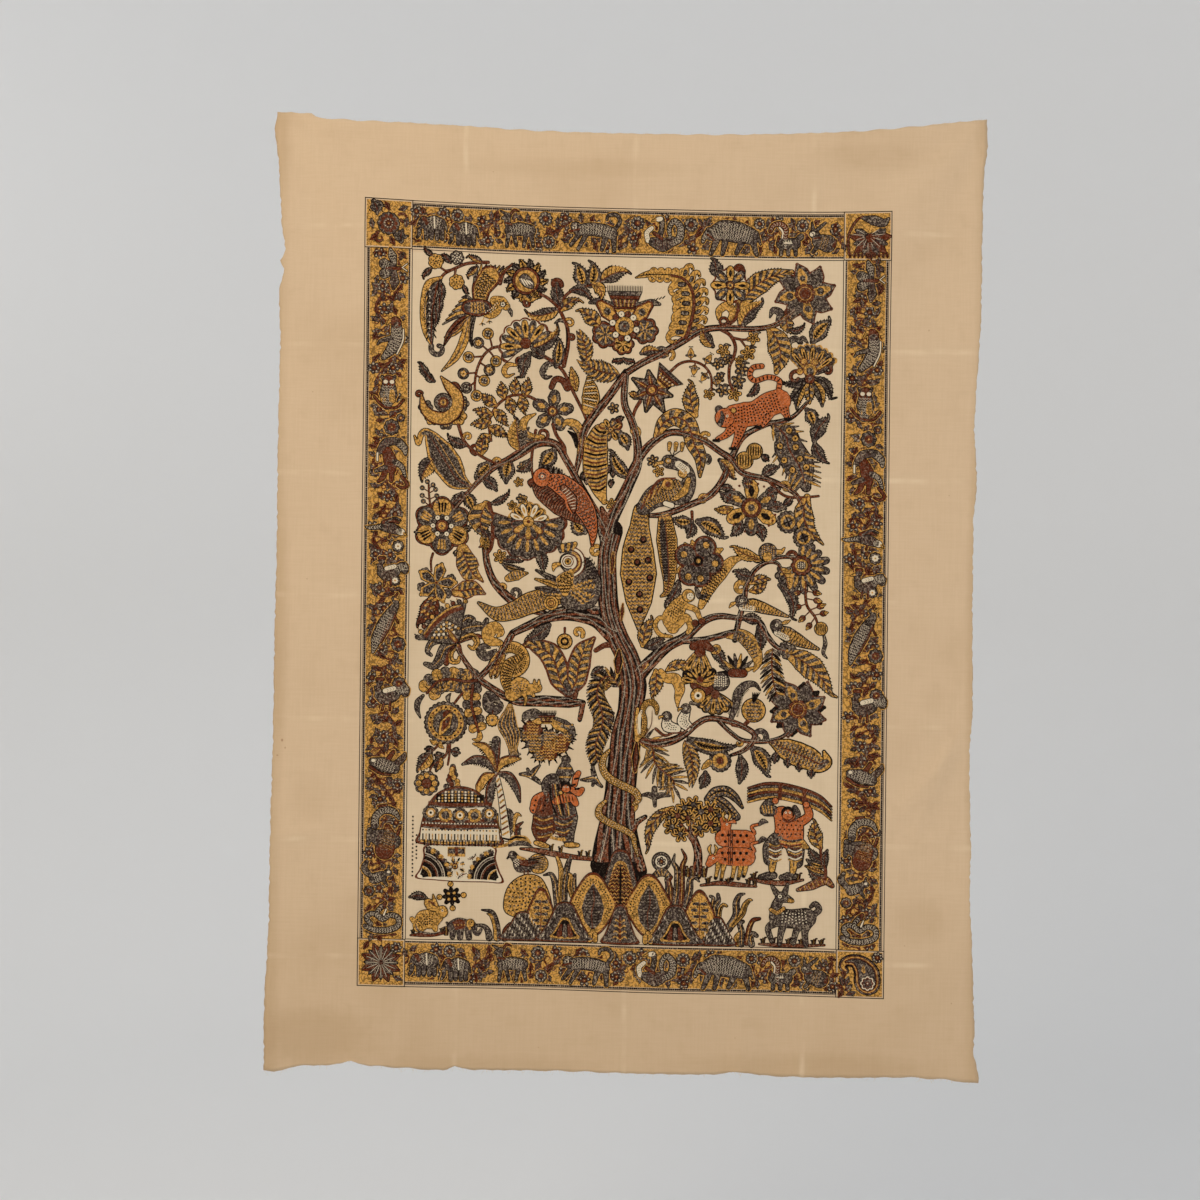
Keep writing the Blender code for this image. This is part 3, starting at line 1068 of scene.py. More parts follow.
def curled_fern(pen):
    """A bowed fern in ochre whose lobes all end in curls, with dark eyes along its rib."""
    rib = [508 + 1034j, 516 + 1060j, 520 + 1085j, 517 + 1108j, 504 + 1126j, 484 + 1132j]
    spine = Spine(rib, [1] * 6)
    for i in range(6):
        share = 0.06 + 0.13 * i
        root = spine.at(share)
        body(pen, "ochre", [root, root - 13 + 3j, root - 24 + 0.5j, root - 30 - 7j, root - 26 - 14j,
                            root - 18 - 12j], [15, 15, 11, 7, 5, 3], 0.9)
        body(pen, "grey", [root - 9 + 2j, root - 15 + 2j], [5, 6], 1.0, 3)
        dot(pen, root - 20 - 12j, 1.5, "black", 4)
    for i in range(8):
        root = spine.at(0.10 + 0.105 * i)
        arm = cmath.exp(1j * (0.35 + 0.13 * i))
        points = [root, root + arm * 10, root + arm * 20, root + arm * (24 - 5j), root + arm * (20 - 9j)]
        body(pen, "ochre", points, [9, 10, 7, 5, 3.4], 0.9)
        body(pen, "grey", [root + arm * 7, root + arm * 12], [3.4, 4], 0.9, 3)
        dot(pen, root + arm * (20 - 8j), 1.4, "black", 4)
    body(pen, "ochre", [505 + 1128j, 480 + 1133j, 455 + 1134j, 440 + 1131j, 428 + 1127j],
         [16, 12, 10, 7, 1], 0.9)
    for i in range(5):
        root = 452 + 11.5 * i + 1136j
        curl(pen, root, 100, 5, 4, "ochre", -1)
        curl(pen, root - 2 - 8j, 262, 5, 4, "ochre", 1)
    stroke(pen, [498 + 1131j, 470 + 1133j, 440 + 1131j, 430 + 1128j], 1.2, "black", 4)
    for i in range(10):
        dot(pen, 440 + 5 * i + 1133j, 1.3, "black", 5)
    stem(pen.at(rise=1), rib, 5.0, taper=0.6)


def round_flower(pen):
    """Broad petals in a madder scalloped rim, on the bowed stem right of the fern."""
    centre = 577 + 1118j
    wheel(pen, "madder", centre, 30, 0, 0.0, lobes=8, depth=0.10)
    wheel(pen, "resist", centre, 26.5, 1, 0.0, lobes=8, depth=0.10)
    rosette(pen.at(rise=1), centre, 27, 8, ("ochre", "grey"), inner=0.24)
    leaf(pen, 560 + 1132j, 552 + 1158j, 20, "dark", 0.06, 0.8)
    curl(pen, 585 + 1146j, 60, 7, 5, "madder", -1)
    stem(pen, [583 + 1104j, 590 + 1085j, 583 + 1064j, 564 + 1053j], 6.4, taper=1.0)
    body(pen, "ochre", [560 + 1066j, 560 + 1078j, 572 + 1086j, 582 + 1076j, 577 + 1062j],
         [6, 10, 12, 12, 8], 1.0)
    curl(pen.at(rise=1), 574 + 1060j, 95, 7.5, 3.4, "madder", 1)


def bell_spray(pen):
    """Two bowed twigs with bell flowers and small blossoms."""
    stem(pen, [484 + 980j, 499 + 993j, 518 + 997j, 537 + 990j, 548 + 974j, 549 + 952j], 3.6)
    for root, turn, size in ((516 + 998j, 90, 1), (538 + 991j, 60, 1), (523 + 995j, 262, 1),
                             (543 + 981j, 235, 0.9), (549 + 962j, 20, 0.8)):
        bell = pen.at(root, turn, size)
        stem(bell, [0, 7], 2, edge=0.3)
        body(bell, "grey", [8 - 7j, 9 + 0j, 8 + 7j], [2, 4.5, 2], 0.7)
        body(bell, "ochre", [9, 14, 18], [9, 8, 3], 0.8)
        dot(bell, 13, 1.1, "madder")
        for k in (-1, 0, 1):
            dot(bell, 22 + 2.6j * k, 1.1)
    stem(pen, [562 + 1049j, 578 + 1039j, 586 + 1022j, 583 + 1004j, 577 + 990j, 577 + 968j,
               583 + 952j], 5)
    stem(pen, [580 + 1036j, 596 + 1033j, 606 + 1034j], 3.4)
    stem(pen, [594 + 1033j, 602 + 1022j], 3)
    for at, radius, dye in (
        (567 + 1015j, 8.5, "ochre"), (559 + 994j, 7.5, "grey"), (574 + 1000j, 6.5, "grey"),
        (561 + 972j, 6.5, "grey"), (566 + 952j, 8, "grey"), (592 + 1000j, 5.5, "ochre"),
        (596 + 987j, 9, "grey"), (591 + 968j, 9, "grey"), (585 + 947j, 9, "ochre"),
        (614 + 1036j, 8.5, "ochre"), (606 + 1012j, 9.5, "ochre"), (545 + 946j, 7, "ochre"),
    ):
        rosette(pen, at, radius, 5, (dye, dye), "grey" if dye == "ochre" else "ochre",
                turn=at.imag * 7, inner=0.3)
        hooked(pen, [at + radius * 0.7j, at + radius * (0.5 + 1.1j), at + radius * (1.3 + 1.0j)], 4)


def thistle_head(pen):
    """A dark fringed flower under a tilted crown, and the striped leaf beside it."""
    centre = 455 + 950j
    for angle, reach, fringe in ((150, 34, 1), (100, 30, 0), (205, 30, 1), (255, 34, 1), (300, 38, 1),
                                 (345, 32, 0), (20, 36, 1)):
        tip = centre + cmath.rect(reach, math.radians(angle))
        points = [centre, (centre + tip) / 2, tip]
        body(pen, "grey", points, [9, 17, 3], 1.6)
        ribbon(pen, "madder", [centre, (centre + tip) / 2, centre * 0.25 + tip * 0.75], [3, 8, 3], 2)
        stroke(pen, [centre, tip], 1.2, "ochre", 3)
        if fringe:
            spine = Spine(points, [9, 17, 3])
            for side in (-1, 1):
                for k in range(8):
                    root = spine.at(0.3 + 0.09 * k, side)
                    stroke(pen, [root, root + (root - spine.at(0.3 + 0.09 * k)) * 0.5], 1.0, "black", 0,
                           (1, 0.1))
    crown(pen.at(rise=1), 468 + 958j, 48, 14, 50, 26, comb=False)
    for k in range(7):
        dot(pen.at(rise=1), 462 + 5 * k + (977 - 3.4 * k) * 1j, 1.1, "resist", 5)
    wheel(pen.at(rise=1), "madder", centre, 9, 2, 1.0)
    wheel(pen.at(rise=1), "ochre", centre, 5, 3)
    stem(pen, [437 + 932j, 429 + 918j, 425 + 903j], 5)
    leaf(pen, 433 + 940j, 420 + 944j, 8, "ochre")


def flower_tree_top_right(pen):
    """Star flower, long striped leaves and curls on the limb along the top right."""
    leaf(pen, 590 + 1084j, 674 + 1141j, 32, "striped", 0.13)
    curl(pen, 617 + 1118j, 85, 8, 6, "madder", 1)
    leaf(pen, 594 + 1054j, 627 + 1091j, 25, "halved", 0.12, 0.4)
    curl(pen, 587 + 1143j, 50, 7, 5, "madder", -1)
    star_flower(pen, 695 + 1107j, 47, 8, 10)
    hooked(pen, [652 + 1064j, 656 + 1076j, 645 + 1080j, 640 + 1069j], 11, "grey")
    curl(pen, 673 + 1078j, 120, 5, 5, "madder", 1)
    leaf(pen, 670 + 1073j, 676 + 1046j, 20, "striped", -0.24, 1)
    leaf(pen.at(rise=1), 672 + 1050j, 693 + 1056j, 8, "dark", -0.2, 0.8)
    leaf(pen, 640 + 1051j, 651 + 983j, 36, "striped", 0.16)
    leaf(pen, 620 + 966j, 606 + 945j, 10, "veined", 0.2)


def crown_flower(pen):
    """The half-open flower at the right with a leaf above it and a skirt of leaves below."""
    fan(pen, 704 + 980j, 84, 50, 118, 9, ("ochre", "grey"), "ochre", "grey", "grey")
    leaf(pen, 708 + 1032j, 734 + 1064j, 26, "edged", 0.08, 0.6)
    hooked(pen, [690 + 1030j, 680 + 1036j, 670 + 1030j, 671 + 1022j], 9, "grey")
    hooked(pen, [686 + 1030j, 692 + 1037j, 700 + 1030j], 8, "grey")
    curl(pen, 688 + 984j, 150, 10, 5, "madder", 1)
    curl(pen, 722 + 990j, 70, 9, 5, "madder", -1)
    leaf(pen, 716 + 983j, 740 + 998j, 12, "dark", 0.1, 0.6)
    up = pen.at(rise=1)
    for at in (694 + 1001j, 712 + 1000j, 688 + 985j):
        wheel(up, "ochre", at, 4.4, 1, 1.2, "madder")
    wheel(up, "ochre", 704 + 987j, 10, 2, 1.0, "madder")
    wheel(up, "grey", 704 + 986j, 6, 3, 0.8)
    for base, tip, width, kind, bend, hook in (
        (696 + 973j, 663 + 966j, 11, "dark", 0.12, -1), (694 + 971j, 668 + 938j, 12, "veined", 0.10, -1),
        (699 + 968j, 684 + 926j, 13, "halved", -0.10, 0), (703 + 968j, 704 + 936j, 15, "striped", 0, 0),
        (709 + 970j, 724 + 932j, 15, "halved", 0.10, 0), (713 + 975j, 737 + 944j, 13, "dark", 0.2, 1),
    ):
        leaf(pen, base, tip, width, kind, bend, hook, rib="black")
    wheel(up, "madder", 704 + 974j, 7.5, 3, 1.0)
    wheel(up, "grey", 704 + 974j, 3, 4)


def flying_bird(pen):
    """A bird with both wings raised and three long tail feathers."""
    for root, tip, width, dye in (
        (168 + 1060j, 127 + 1011j, 11, "madder"), (164 + 1056j, 128 + 1024j, 7, "ochre"),
        (165 + 1058j, 124 + 971j, 13, "ochre"), (174 + 1057j, 171 + 1012j, 7, "grey"),
    ):
        run = tip - root
        bow = -0.10 if dye == "ochre" else 0.08
        points = [root, root + run * 0.35 - 1j * run * bow, root + run * 0.7 - 1j * run * bow, tip]
        body(pen, dye, points, [width * 0.5, width, width * 0.8, 0.6], 1.0)
        stroke(pen, points, 1.8, "grey" if dye == "ochre" else "black", 3)
    for i in range(7):
        end = 125 + 5 * i + (1044 + 7.2 * i) * 1j
        root = 164 + 0.8 * i + (1062 + 3.6 * i) * 1j
        dye = ("grey", "ochre")[i % 2]
        body(pen, dye, [root, (root + end) / 2 + 3j, end], [4.5, 4.6, 0.6], 0.9)
    for i in range(8):
        root = 175 + 5.2 * i + (1112 + 1.5 * i) * 1j
        end = root + cmath.rect(27 - 0.8 * i, math.radians(86 - 5.5 * i))
        body(pen, ("grey", "ochre")[i % 2], [root, (root + end) / 2, end], [5, 4.6, 0.8], 0.9)
    wing = [183 + 1086j, 186 + 1104j, 198 + 1122j]
    body(pen, "madder", wing, [22, 30, 34], 1.0, 1)
    ribbon(pen, "ochre", wing, [17, 24, 28], 2, 3.0, True)
    scales(pen, wing, [17, 24, 28], 5.0, "black", 1.6, 3)
    stipple(pen, wing, [17, 24, 28], 5.0, 1.3, "grey", 4)
    body(pen, "madder", [214 + 1112j, 219 + 1128j, 233 + 1143j], [5, 4.4, 2], 0.8, 2)
    belly = [166 + 1072j, 180 + 1072j, 190 + 1073j]
    limbs(pen.at(rise=1), "ochre", [
        ([190 + 1068j, 200 + 1064j, 208 + 1070j, 212 + 1080j], [16, 16, 16, 14]),
        ([206 + 1084j, 216 + 1082j, 224 + 1076j], [14, 18, 12]),
    ])
    stipple(pen.at(rise=1), [192 + 1066j, 203 + 1066j, 209 + 1078j, 218 + 1082j, 224 + 1076j],
            [13, 13, 13, 14, 10], 3.4, 1.1, "black", 3)
    stipple(pen.at(rise=1), [190 + 1064j, 203 + 1070j, 211 + 1082j], [8, 9, 8], 4.4, 1.0, "resist", 4)
    body(pen.at(rise=1), "madder", belly, [22, 27, 22], 1.0, 2)
    ribbon(pen.at(rise=1), "grey", belly, [16, 21, 16], 3, 3.0, True)
    scales(pen.at(rise=1), belly, [16, 21, 16], 5.0, "ochre", 1.8, 4)
    wheel(pen.at(rise=1), "resist", 219 + 1079j, 3.6, 3, 0.9)
    dot(pen.at(rise=1), 219 + 1079j, 1.5, "black", 5)
    hooked(pen.at(rise=1), [227 + 1075j, 231 + 1068j, 233 + 1061j], 6, "grey")
    for foot in (186 + 1048j, 197 + 1052j):
        stroke(pen, [foot + 4 + 10j, foot, foot - 4 - 3j], 1.8, "ochre", 2)
        stroke(pen, [foot, foot + 2 - 5j], 1.4)
        stroke(pen, [foot, foot + 6 - 2j], 1.4)


def bark(pen, numbers, widths, strands):
    """A limb of long flowing strands in madder and grey between black lines."""
    points = line_of(*numbers)
    body(pen, "black", points, widths, 0.9)
    spine = Spine(points, widths)
    steps = 4 * len(points)
    for i in range(strands):
        aside = (2 * (i + 0.5) / strands - 1) * 0.92
        dye = ("russet", "grey")[i % 2]
        lane = []
        for k in range(steps + 1):
            share = 0.01 + 0.98 * k / steps
            wave = 0.7 / strands * math.sin(2.1 * i + 26.0 * share)
            lane.append(spine.at(share, aside + wave))
        width = [read(widths, (len(widths) - 1) * k / steps) * 0.84 / strands for k in range(steps + 1)]
        ribbon(pen, dye, lane, width, 2, 4.0)
        if i % 2:
            ribbon(pen, "resist", lane, [0.09 * wide for wide in width], 3, 5.0)


def boughs(pen):
    """The trunk and its limbs, from the rocks up."""
    bark(pen, (413, 975, 385, 935, 360, 903, 347, 878, 344, 850, 336, 815), (10, 11, 12, 11, 9, 5), 3)
    bark(pen, (414, 978, 412, 930, 424, 900, 433, 868, 433, 832, 420, 800, 405, 768, 394, 745,
               386, 722), (8, 9, 10, 11, 13, 15, 17, 19, 20), 4)
    bark(pen, (413, 975, 440, 993, 470, 1008, 500, 1027, 530, 1045, 562, 1051, 610, 1050, 643, 1055,
               664, 1068, 684, 1088), (9, 9, 9, 10, 9, 8, 7, 6, 6, 4), 3)
    bark(pen, (582, 848, 600, 880, 635, 900, 675, 912, 705, 942), (8, 7, 6, 5, 3), 2)
    bark(pen, (420, 812, 445, 855, 475, 880, 500, 884, 535, 874, 563, 856, 580, 845, 600, 823,
               640, 814, 672, 800, 690, 783, 701, 742), (12, 11, 9, 9, 8, 8, 9, 8, 7, 6, 5, 3), 3)
    bark(pen, (580, 845, 570, 815, 550, 788, 515, 770, 478, 755, 452, 752), (9, 9, 9, 8, 8, 5), 3)
    bark(pen, (140, 748, 172, 787, 190, 806, 207, 822, 228, 833, 248, 845, 270, 860, 290, 864,
               308, 858, 322, 836, 338, 808, 360, 770, 378, 740, 390, 712),
         (4, 5, 7, 9, 10, 12, 13, 12, 10, 9, 9, 10, 12, 14), 3)
    bark(pen, (240, 562, 262, 573, 288, 585, 315, 592, 345, 591, 372, 583, 400, 560),
         (9, 11, 13, 15, 16, 18, 24), 4)
    bark(pen, (286, 590, 312, 600, 342, 606, 376, 600), (4, 7, 9, 12), 2)
    bark(pen, (176, 496, 186, 490, 215, 520, 240, 562), (6, 7, 9, 9), 3)
    bark(pen, (150, 540, 168, 512, 186, 490, 205, 476, 232, 460), (4, 6, 8, 9, 10), 3)
    bark(pen, (228, 462, 250, 455, 290, 456, 330, 455, 352, 455), (8, 13, 16, 15, 7), 4)
    bark(pen, (438, 500, 460, 525, 485, 548, 512, 563, 540, 588, 566, 597, 600, 594),
         (22, 18, 15, 13, 10, 8, 6), 4)
    bark(pen, (505, 556, 545, 560, 590, 572, 606, 566), (8, 8, 8, 4), 2)
    bark(pen, (430, 402, 462, 394, 490, 398, 512, 409, 530, 425, 548, 435, 572, 434, 600, 426,
               622, 413, 620, 400, 606, 386, 586, 378), (14, 12, 11, 9, 8, 8, 8, 7, 7, 7, 5, 3), 3)
    bark(pen, (566, 432, 588, 412, 606, 402, 640, 401, 668, 410, 684, 428), (5, 5, 5, 5, 4, 3), 2)
    bark(pen, (590, 560, 596, 590, 604, 622, 607, 645, 618, 668, 638, 683, 655, 683, 664, 672),
         (7, 7, 7, 7, 6, 5, 4, 2), 2)
    bark(pen, (640, 684, 660, 692, 686, 692, 700, 684), (4, 4, 4, 3), 2)
    bark(pen, (600, 596, 628, 590, 640, 570, 655, 552, 672, 545), (5, 7, 7, 6, 3), 2)
    trunk = (409, 200, 408, 235, 409, 275, 412, 315, 416, 360, 421, 405, 426, 445, 430, 485,
             422, 525, 405, 560, 392, 600, 388, 650, 388, 690, 396, 728)
    bark(pen, trunk, (84, 70, 52, 46, 46, 46, 36, 42, 34, 32, 30, 28, 27, 30), 9)
    bark(pen, (378, 205, 384, 225, 388, 250), (16, 12, 6), 3)
    bark(pen, (448, 192, 442, 215, 434, 240), (14, 12, 6), 3)
    bark(pen, (385, 705, 379, 722, 372, 745), (13, 10, 6), 2)
    bark(pen, (390, 738, 384, 750, 378, 762), (7, 8, 5), 1)
    bark(pen, (352, 455, 349, 438, 347, 428), (6, 6, 5), 1)
    bark(pen, (338, 460, 341, 470, 342, 478), (5, 5, 4), 1)
    up = pen.at(rise=2)
    for u, v, wide, tall in ((396, 677, 9, 32), (407, 522, 16, 34), (436, 372, 15, 44), (412, 600, 8, 26)):
        points = line_of(u - 1, v - tall / 2, u, v, u + 1, v + tall / 2)
        ribbon(up, "ochre", points, [wide * 0.5, wide, wide * 0.4], 0, 3, True)
        ribbon(up, "black", points, [wide * 0.5 - 2, wide - 2.4, wide * 0.4 - 2], 1, 3, True)
        ribbon(up, "madder", points, [wide * 0.2, wide * 0.4, 1], 2, 3, True)


def trunk_serpent(pen):
    """A speckled rope of a snake that winds twice round the trunk."""
    up = pen.at(rise=3)
    for numbers, widths in (
        ((394, 381, 386, 370, 384, 354, 393, 339, 412, 328, 434, 318, 441, 306, 433, 297),
         (4, 8, 10, 11, 11, 11, 9, 4)),
        ((389, 301, 380, 291, 379, 279, 392, 269, 416, 258, 432, 248, 436, 232, 441, 216),
         (4, 8, 10, 10, 9, 8, 6, 2)),
    ):
        points = line_of(*numbers)
        body(up, "ochre", points, widths, 0.9)
        scales(up, points, widths, 3.6, "black", 0.9, 3)
        stipple(up, points, widths, 4.2, 0.7, "resist", 4)


def rearing_serpent(pen):
    """A hooded snake beside the trunk."""
    up = pen.at(rise=2)
    points = line_of(440, 402, 447, 412, 449, 430, 446, 445, 452, 457, 462, 458, 468, 450, 468, 441)
    body(up, "ochre", line_of(438, 400, 436, 425, 438, 448), [8, 5, 4], 0.9)
    body(up, "resist", line_of(441, 410, 440, 430, 444, 445), [5, 7, 3], 0.7)
    body(up, "ochre", points, [6, 8, 7, 7, 9, 9, 7, 3], 0.9)
    scales(up, points, [6, 8, 7, 7, 9, 9, 7, 3], 3.4, "black", 1.0, 3)
    stroke(up, line_of(461, 446, 460, 425, 454, 412, 449, 405), 1.2, "madder")


def rocks(pen):
    """The hill of leaf-shaped rocks from which the tree grows, with blades of grass between."""
    base = 80
    for u, wide, tall, heading in (
        (208, 20, 20, 1), (221, 18, 44, 1), (220, 11, 38, 1), (232, 9, 24, -1),
    ):
        body(pen, ("grey", "madder", "grey", "ochre")[wide % 4],
             [u + base * 1j, u - 2 * heading + (base + tall * 0.5) * 1j,
              u - 9 * heading + (base + tall * 0.92) * 1j, u - wide * heading * 1.4 + (base + tall) * 1j],
             [9, 8, 5, 0.5], 1.0)
    for points, width, dye in (
        (line_of(316, 130, 313, 155, 310, 172, 304, 183, 293, 181), 10, "grey"),
        (line_of(318, 138, 320, 165, 320, 190, 314, 210), 8, "ochre"),
        (line_of(325, 140, 326, 170, 330, 195, 335, 212), 9, "grey"),
        (line_of(338, 150, 334, 165, 336, 180, 333, 184), 7, "ochre"),
        (line_of(344, 150, 341, 165, 341, 178, 342, 183), 6, "grey"),
        (line_of(500, 140, 503, 165, 503, 195, 497, 207, 499, 220), 9, "grey"),
        (line_of(510, 142, 511, 170, 511, 200, 516, 215, 510, 228), 8, "madder"),
        (line_of(518, 142, 523, 165, 524, 180, 531, 185, 538, 178), 10, "grey"),
        (line_of(494, 146, 493, 165, 490, 178, 494, 184), 7, "madder"),
        (line_of(487, 150, 489, 168, 487, 180), 7, "grey"),
        (line_of(585, 104, 597, 125, 597, 145, 602, 157, 610, 160), 11, "grey"),
        (line_of(590, 110, 606, 128, 611, 142, 618, 150, 622, 150), 9, "ochre"),
        (line_of(614, 82, 618, 105, 624, 118, 634, 121), 7, "madder"),
        (line_of(606, 80, 606, 100, 603, 112, 608, 116), 8, "grey"),
        (line_of(622, 80, 620, 90, 624, 97, 630, 94), 9, "grey"),
        (line_of(565, 120, 563, 138, 569, 148, 568, 158), 7, "grey"),
        (line_of(561, 122, 559, 140, 561, 152, 556, 155), 5, "grey"),
        (line_of(570, 122, 572, 136, 577, 142, 582, 140), 5, "ochre"),
        (line_of(600, 80, 598, 90, 602, 96), 7, "ochre"),
    ):
        widths = [width, width * 0.95, width * 0.8, width * 0.5, 0.6]
        body(pen, dye, points, widths[:len(points)], 1.0)
        stroke(pen, points[:-1], 1.2, "ochre" if dye != "ochre" else "black")
        stroke(pen, [z + width * 0.25 for z in points[:-1]], 0.9)
    dome = [235 + 120j, 231 + 140j, 240 + 165j, 262 + 180j, 285 + 178j, 298 + 160j, 305 + 135j,
            300 + 118j, 265 + 112j]
    patch(pen, "ochre", 266 + 142j, dome, 1, 1.2)
    for ring_at in range(1, 7):
        for k in range(4 * ring_at + 3):
            at = 266 + 142j + cmath.rect(5.6 * ring_at, math.tau * k / (4 * ring_at + 3))
            at = complex(at.real * 0.98 + 5.3, at.imag)
            if 118 < at.imag < 178 and 236 < at.real < 300:
                dot(pen, at, 1.7, ("black", "grey")[k % 2], 3)
    for centre, half, foot, top, kind in (
        (262, 34, 80, 121, "wavy"), (289, 19, 86, 156, "spotted"), (566, 28, 80, 121, "wavy"),
        (539, 22, 88, 160, "spotted"),
    ):
        rock(pen.at(rise=1), centre, half, foot, top, kind)
    rock(pen.at(rise=1), 414, 42, 120, 222, "great")
    for centre in (371, 459):
        rock(pen.at(rise=2), centre, 34, 94, 184, "leafy")
    for centre in (327, 501):
        rock(pen.at(rise=3), centre, 40, 80, 138, "hollow")
    rock(pen.at(rise=3), 414, 25, 80, 136, "sprig")
    for centre in (371, 458):
        for side in (-1, 1):
            body(pen.at(rise=3), "ochre", [centre + side * 4 + 81j, centre + side * 4 + 90j], [7, 6], 0.9)
        wheel(pen.at(rise=3), "ochre", centre + 95j, 3.4, 1, 0.9)


def rock(pen, centre, half, foot, top, kind):
    """One pointed rock, like a leaf standing on its stalk."""
    tall = top - foot
    narrow = kind in ("spotted", "leafy")
    reach = (0.25, 0.72, 1.0, 0.62, 0.30) if narrow else (1.0, 0.86, 0.62, 0.42, 0.26)
    heights = (0.0, 0.22, 0.48, 0.78, 0.95)
    outline = [complex(centre + half * r, foot + tall * h) for r, h in zip(reach, heights)]
    outline.append(complex(centre, top))
    outline += [complex(2 * centre - z.real, z.imag) for z in reversed(outline[:-1])]
    middle = complex(centre, foot + tall * 0.45)
    ground = {"spotted": "ochre", "leafy": "ochre"}.get(kind, "grey")
    patch(pen, "madder", middle, [middle + (z - middle) * (1 + 2.6 / half) for z in outline], 0, 0.8)
    patch(pen, ground, middle, outline, 1)

    def inside(share):
        return [middle + (z - middle) * share for z in outline]

    if kind == "wavy":
        for i in range(7):
            for k in range(int(9 - i)):
                at = complex(centre + (k - (8 - i) / 2) * half * 0.22, foot + 3 + tall * 0.125 * i)
                stroke(pen, [at, at + 1 + 2j, at + 0.4 + 5j], 1.6, ("resist", "black")[(k + i) % 2], 3)
    elif kind == "spotted":
        stroke(pen, [complex(centre, foot), complex(centre, foot + tall * 0.86)], 1.6, "madder", 3)
        for i in range(5):
            for side in (-1, 1):
                at = complex(centre + side * half * (0.28 + 0.12 * (i % 2)), foot + tall * (0.2 + 0.14 * i))
                ribbon(pen, "grey", [at - 3, at + 3], [4, 6], 2, 3, True)
                stroke(pen, [at - 3 + 1j, at + 3 - 1j], 1.2)
                dot(pen, at + side * 5 + 4j, 1.1)
                dot(pen, at - side * 3 - 5j, 1.0)
    elif kind == "leafy":
        wide = complex(centre, foot + tall * 0.42)
        points = [wide + tall * share * 1j for share in (-0.38, -0.22, 0.0, 0.22, 0.40)]
        widths = [4, half * 0.8, half * 1.05, half * 0.72, 5]
        ribbon(pen, "grey", points, widths, 2, 3.0, True)
        bars(pen, points, widths, 15, "black", 0.9, 3, 0.95)
        stroke(pen, [points[0], wide - 2 - 8j, wide + 2 + 10j, points[4]], 1.7, "madder", 4)
        spots = Spine(inside(0.86)[1:-1], 1)
        for i in range(30):
            at = spots.at(i / 30)
            if abs(at.real - centre) > half * 0.42 or at.imag > foot + tall * 0.8:
                dot(pen, at, 1.3)
                dot(pen, at * 0.84 + middle * 0.16 + 1j, 1.1)
    elif kind == "great":
        patch(pen, "ochre", middle, inside(0.74), 2)
        patch(pen, "black", middle, inside(0.64), 3)
        core = [complex(centre, foot + tall * h) for h in (0.0, 0.3, 0.6, 0.82)]
        scales(pen, core, [56, 48, 36, 10], 5.0, "madder", 2.2, 4)
        scales(pen, core, [50, 42, 30, 8], 6.0, "ochre", 1.3, 5)
        stroke(pen, core, 3.0, "black", 6)
        for i in range(14):
            for side in (-1, 1):
                at = complex(centre + side * half * (0.86 - 0.035 * i), foot + 6 + tall * 0.062 * i)
                stroke(pen, [at, at + 1.5 + 4j], 1.3, "black", 3)
    elif kind == "hollow":
        low = complex(centre, foot + tall * 0.30)
        small = [low + (z - middle) * 0.56 for z in outline]
        patch(pen, "ochre", low, small, 2, 0.8)
        patch(pen, "black", low, [low + (z - low) * 0.80 for z in small], 3)
        for side in (-1, 0, 1):
            dye = "grey" if side == 0 else "madder"
            ribbon(pen, dye, [low + side * 9 - 10j, low + side * 6 + 6j], [8, 4], 4, 3, True)
        for i in range(6):
            for side in (-1, 1):
                at = complex(centre + side * half * (0.88 - 0.11 * i), foot + 4 + tall * 0.145 * i)
                stroke(pen, [at, at - side * 2 + 5j], 1.5, ("resist", "black")[i % 2], 4)
                stroke(pen, [at - side * 4, at - side * 6 + 5j], 1.3, "black", 4)
    elif kind == "sprig":
        stroke(pen, [complex(centre, foot), complex(centre, foot + tall * 0.75)], 4, "madder", 2, (1, 0.4))
        for i in range(4):
            for side in (-1, 1):
                root = complex(centre, foot + 3 + tall * 0.16 * i)
                stroke(pen, [root, root + side * 7 + 5j, root + side * (12 - 2 * i) + 2j], 2.4, "ochre", 3)


